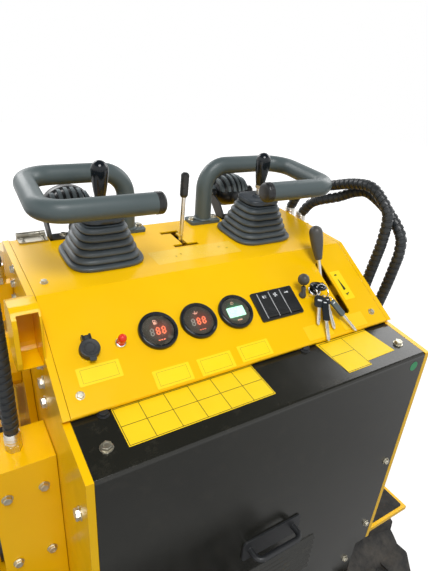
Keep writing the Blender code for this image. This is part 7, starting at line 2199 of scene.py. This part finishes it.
def add_cylinder_head(engine, sign):
    """Valve cover, plug cap, block bolts and muffler end of one side of the engine."""
    cover_top = 0.656
    side = (sign, 0, 0)
    middle = sign * VALVE_COVER_X
    lead = solid((0.0085, 0.0), (0.0085, 0.018), (0.011, 0.022), (0.011, 0.04), (0.007, 0.044))
    muffler_end = [(0.05, 0.0), (0.0555, 0.0005), (0.0555, 0.0045), (0.05, 0.006), (0.02, 0.0085),
                   (0.0, 0.0085)]
    engine.plate((middle - 0.048, middle + 0.048), (0.42, 0.54), 0.014, 0.64, cover_top, MACHINE_BLACK,
                 MACHINE, 0.004, 3)
    add_bolts(engine, [(middle + dx, y, cover_top) for dx in (-0.034, 0.034) for y in (0.435, 0.525)],
              UPWARD, 0.005)
    engine.turned(lead, RUBBER, spot(sign * ENGINE_SIDE, ENGINE_MIDDLE, 0.6, (sign, 0, 0.35)), 24)
    block_side = sign * (ENGINE_SIDE + 0.0002)
    add_bolts(engine, [(block_side, y, z) for y in (0.4, 0.58) for z in (0.21, 0.42)], side, 0.007)
    engine.turned(muffler_end, STEEL, spot(sign * 0.16, ENGINE_MIDDLE, MUFFLER_HIGH, side), 44)
    engine.turned(disc(0.024, 0.0, 0.006), STEEL, spot(sign * 0.068, ENGINE_MIDDLE, 0.668, UPWARD), 32)


def add_fan_screen(engine):
    """Rings and spokes over the fan, its middle cap and the bolts of the shroud."""
    fan = spot(*FAN, FORWARD)
    for r in range(4):
        inner = 0.05 + 0.024 * r
        ring = [(inner, 0.0), (inner + 0.004, 0.0), (inner + 0.004, 0.003), (inner, 0.003)]
        engine.turned(ring, MACHINE_BLACK, fan, 56)
    for k in range(16):
        spoke = fan @ spin(math.pi / 8 * k, "Z")
        engine.box((0.03, 0.146), (-0.0016, 0.0016), (0.0, 0.0036), MACHINE_BLACK, spoke)
    engine.turned(solid((0.034, 0.0), (0.034, 0.006), (0.031, 0.009)), MACHINE_BLACK, fan, 44)
    reach = 0.128
    diagonals = [math.pi / 4 + math.pi / 2 * k for k in range(4)]
    bolts = [(reach * math.cos(a), FAN[1], FAN[2] + reach * math.sin(a)) for a in diagonals]
    add_bolts(engine, bolts, FORWARD, 0.0065)


def add_pump_ports(engine):
    """The two ports on the pump's rear with their fittings, and its four bolts."""
    fitting = [(0.0, 0.006), (0.011, 0.006), (0.011, 0.022), (0.0, 0.023)]
    for x in (-0.032, 0.032):
        port = spot(x, PUMP_REAR, 0.255, REARWARD)
        engine.turned(disc(0.016, 0.0, 0.006), ZINC, port, 6)
        engine.turned(fitting, ZINC, port, 24)
    add_bolts(engine, [(x, PUMP_REAR, z) for x in (-0.05, 0.05) for z in (0.202, 0.308)], REARWARD, 0.007)


def make_engine_fittings():
    """Bolts, valve covers, fan screen, oil filter, air cleaner, plug leads' caps and the pump's ports."""
    engine = Piece("engine_fittings")
    across = (-0.13, -0.045, 0.045, 0.13)
    add_bolts(engine, [(x, 0.6, z) for x in across for z in (0.21, 0.27)], FORWARD, 0.0075)
    for sign in (-1, 1):
        add_cylinder_head(engine, sign)
    engine.add(sleeve(0.0554, -0.159, 0.159, 72), STEEL, spot(0, ENGINE_MIDDLE, MUFFLER_HIGH, (1, 0, 0)))
    engine.add(sleeve(0.1504, 0.0, 0.059, 96), MACHINE_BLACK, spot(0, 0.5905, FAN[2], FORWARD))
    add_fan_screen(engine)
    oil_filter = solid((0.03, 0.0), (0.033, 0.004), (0.033, 0.055), (0.03, 0.064), (0.018, 0.068))
    engine.turned(oil_filter, WHITE_PRINT, spot(ENGINE_SIDE, 0.46, 0.3, (1, 0, 0)), 40)
    engine.plate((-0.11, 0.11), (0.59, 0.64), 0.012, 0.6, 0.69, PLASTIC, MACHINE, 0.006, 3)
    for x in (-0.08, 0.08):
        engine.box((x - 0.008, x + 0.008), (0.638, 0.643), (0.628, 0.672), STAINLESS, MACHINE, 0.0012)
    add_pump_ports(engine)
    engine.ride("machine_body", slot="cast")


def make_platform_fittings():
    """Raised buttons between the slots of the tread, a rim round each slot, bolts and rubber stops."""
    tread = Piece("platform_tread")
    button = [(0.0, -0.0004), (0.0085, -0.0004), (0.0076, 0.0018), (0.0062, 0.0026), (0.0042, 0.0018),
              (0.0, 0.0016)]
    step = 0.054
    for i in range(5):
        for k in range(9):
            tread.turned(button, STEEL, spot(-0.216 + step * k, -0.531 + step * i, PLATFORM_TOP, UPWARD), 20)
    low, high = PLATFORM_TOP - 0.0004, PLATFORM_TOP + 0.0012
    for i in range(4):
        for x in (-0.195, -0.05, 0.095):
            y = -0.514 + step * i
            rim = round_outline((x - 0.003, x + 0.103), (y - 0.003, y + 0.023), 0.011, 5)
            inner = round_outline((x + 0.0002, x + 0.0998), (y + 0.0002, y + 0.0198), 0.0088, 5)
            edges = ((rim, low), (rim, high), (inner, high), (inner, low))
            rings = [[(a, b, z) for a, b in line] for line, z in edges]
            tread.add(rings_shape(rings, wrap=True), MACHINE_BLACK, MACHINE)
    stop = solid((0.015, 0.0), (0.014, 0.01), (0.012, 0.012))
    for sign in (-1, 1):
        tread.turned(stop, RUBBER, spot(sign * 0.15, -0.3, 0.217, (0, 0, -1)), 28)
        add_bolts(tread, [(sign * 0.24, y, PLATFORM_TOP) for y in (-0.545, -0.42, -0.31)], UPWARD, 0.0055)
    tread.ride("platform", slot="black_paint")


def carry_over():
    """Finishes for the solids whose shape stays."""
    finishes = {"powder_yellow": YELLOW, "yellow": YELLOW, "black_paint": MACHINE_BLACK,
                "gloss_black": GLOSS_BLACK, "grey_paint": GREY_PAINT, "rubber": RUBBER,
                "track_rubber": TREAD, "steel": STEEL, "stainless": STAINLESS, "chrome": CHROME,
                "cast": CAST, "red_lens": RED_LENS, "black_plastic": PLASTIC, "knob_black": GLOSS_PLASTIC}
    for part in frame["record"]["subparts"]:
        obj = NODES[part["node"]]
        obj.data.materials.clear()
        obj.data.materials.append(finishes[part["material_slot"]])


# Floor, background and light

FLOOR_GLOW = 0.72
FLOOR_FADE = (1.6, 4.5)
FLOOR_HALF = 9
FLOOR_HEIGHT = -0.0005


def make_world():
    """White behind the object. Metal and glass see it round the horizon, and darker above and below."""
    world = bpy.data.worlds.new("studio")
    world.use_nodes = True
    bpy.context.scene.world = world
    nodes = Nodes(world.node_tree)
    parts = nodes.node("ShaderNodeSeparateXYZ")
    nodes.link(nodes.node("ShaderNodeTexCoord").outputs["Generated"], parts.inputs[0])
    height = nodes.ramp(parts.outputs["Z"], -1.0, 1.0)
    around = nodes.levels(height,
                          ((0.0, 0.08), (0.42, 0.2), (0.52, 1.0), (0.76, 1.0), (0.87, 0.07), (1.0, 0.05)))
    lighting = nodes.levels(height, ((0.0, 0.14), (0.45, 0.2), (0.6, 0.44), (1.0, 0.56)))
    shiny = nodes.mix(nodes.rays("Is Glossy Ray", "Is Transmission Ray"), lighting, around)
    seen = nodes.mix(nodes.rays("Is Camera Ray"), shiny, (1.0, 1.0, 1.0))
    nodes.link(seen, nodes.tree.nodes["Background"].inputs["Color"])


def make_floor():
    """A white floor that keeps the shadow near the machine and goes over into the background further off."""
    s = Shader("white_floor")
    span = s.node("ShaderNodeVectorMath", operation="LENGTH")
    s.link(s.coordinates, span.inputs[0])
    glow = s.node("ShaderNodeMix")
    s.link(s.ramp(span.outputs["Value"], *FLOOR_FADE), glow.inputs["Factor"])
    s.link(s.ramp(s.rays("Is Camera Ray", "Is Transmission Ray"), 0.0, 1.0, 0.0, FLOOR_GLOW),
           glow.inputs["A"])
    s.link(s.rays("Is Camera Ray", "Is Glossy Ray", "Is Transmission Ray"), glow.inputs["B"])
    material = s.set(Base_Color=(0.4, 0.4, 0.4), Roughness=0.9, Specular_IOR_Level=0.1,
                     Emission_Color=(1.0, 1.0, 1.0), Emission_Strength=glow.outputs["Result"])
    half = FLOOR_HALF
    corners = ((-half, -half), (half, -half), (half, half), (-half, half))
    shape = bmesh.new()
    shape.faces.new([shape.verts.new((x, y, FLOOR_HEIGHT)) for x, y in corners])
    mesh = bpy.data.meshes.new("studio_floor")
    shape.to_mesh(mesh)
    shape.free()
    mesh.materials.append(material)
    floor = bpy.data.objects.new("studio_floor", mesh)
    bpy.context.scene.collection.objects.link(floor)


def add_light(name, place, target, size, power):
    data = bpy.data.lights.new(name, "AREA")
    data.shape = "DISK"
    data.size = size
    data.energy = power
    light = bpy.data.objects.new(name, data)
    light.matrix_world = facing(place, Vector(place) - Vector(target))
    bpy.context.scene.collection.objects.link(light)


def make_lights():
    add_light("key_light", (-0.6, -2.6, 4.4), (0, -0.3, 0.8), 1.8, 104)
    add_light("right_light", (3.6, 0.6, 2.8), (0, 0.0, 0.6), 2.4, 42)
    add_light("back_light", (-0.8, 3.8, 3.4), (0, 0.2, 0.5), 2.4, 60)


make_camera()
make_hoses()
carry_over()
make_belts()
make_wheels()
make_track_frames()
make_towers()
make_chassis_fittings()
make_seals()
make_fuel_cap()
make_rear_cover_fittings()
make_arm_fittings()
make_cylinder_fittings()
make_attachment_fittings()
make_bucket_fittings()
make_hood_fittings()
make_hood_screen()
make_engine_fittings()
make_platform_fittings()
make_gauges()
make_socket()
make_lamp()
make_rockers()
make_ignition()
make_key_bunch()
make_choke()
make_throttle()
make_gate_lever()
make_gaiters()
make_sticks()
make_handles()
make_work_lights()
make_hinges()
make_console_plates()
make_throttle_decal()
make_top_film()
make_step_decals()
make_panel_bolts()
make_world()
make_floor()
make_lights()

bpy.context.scene.view_settings.view_transform = "Standard"
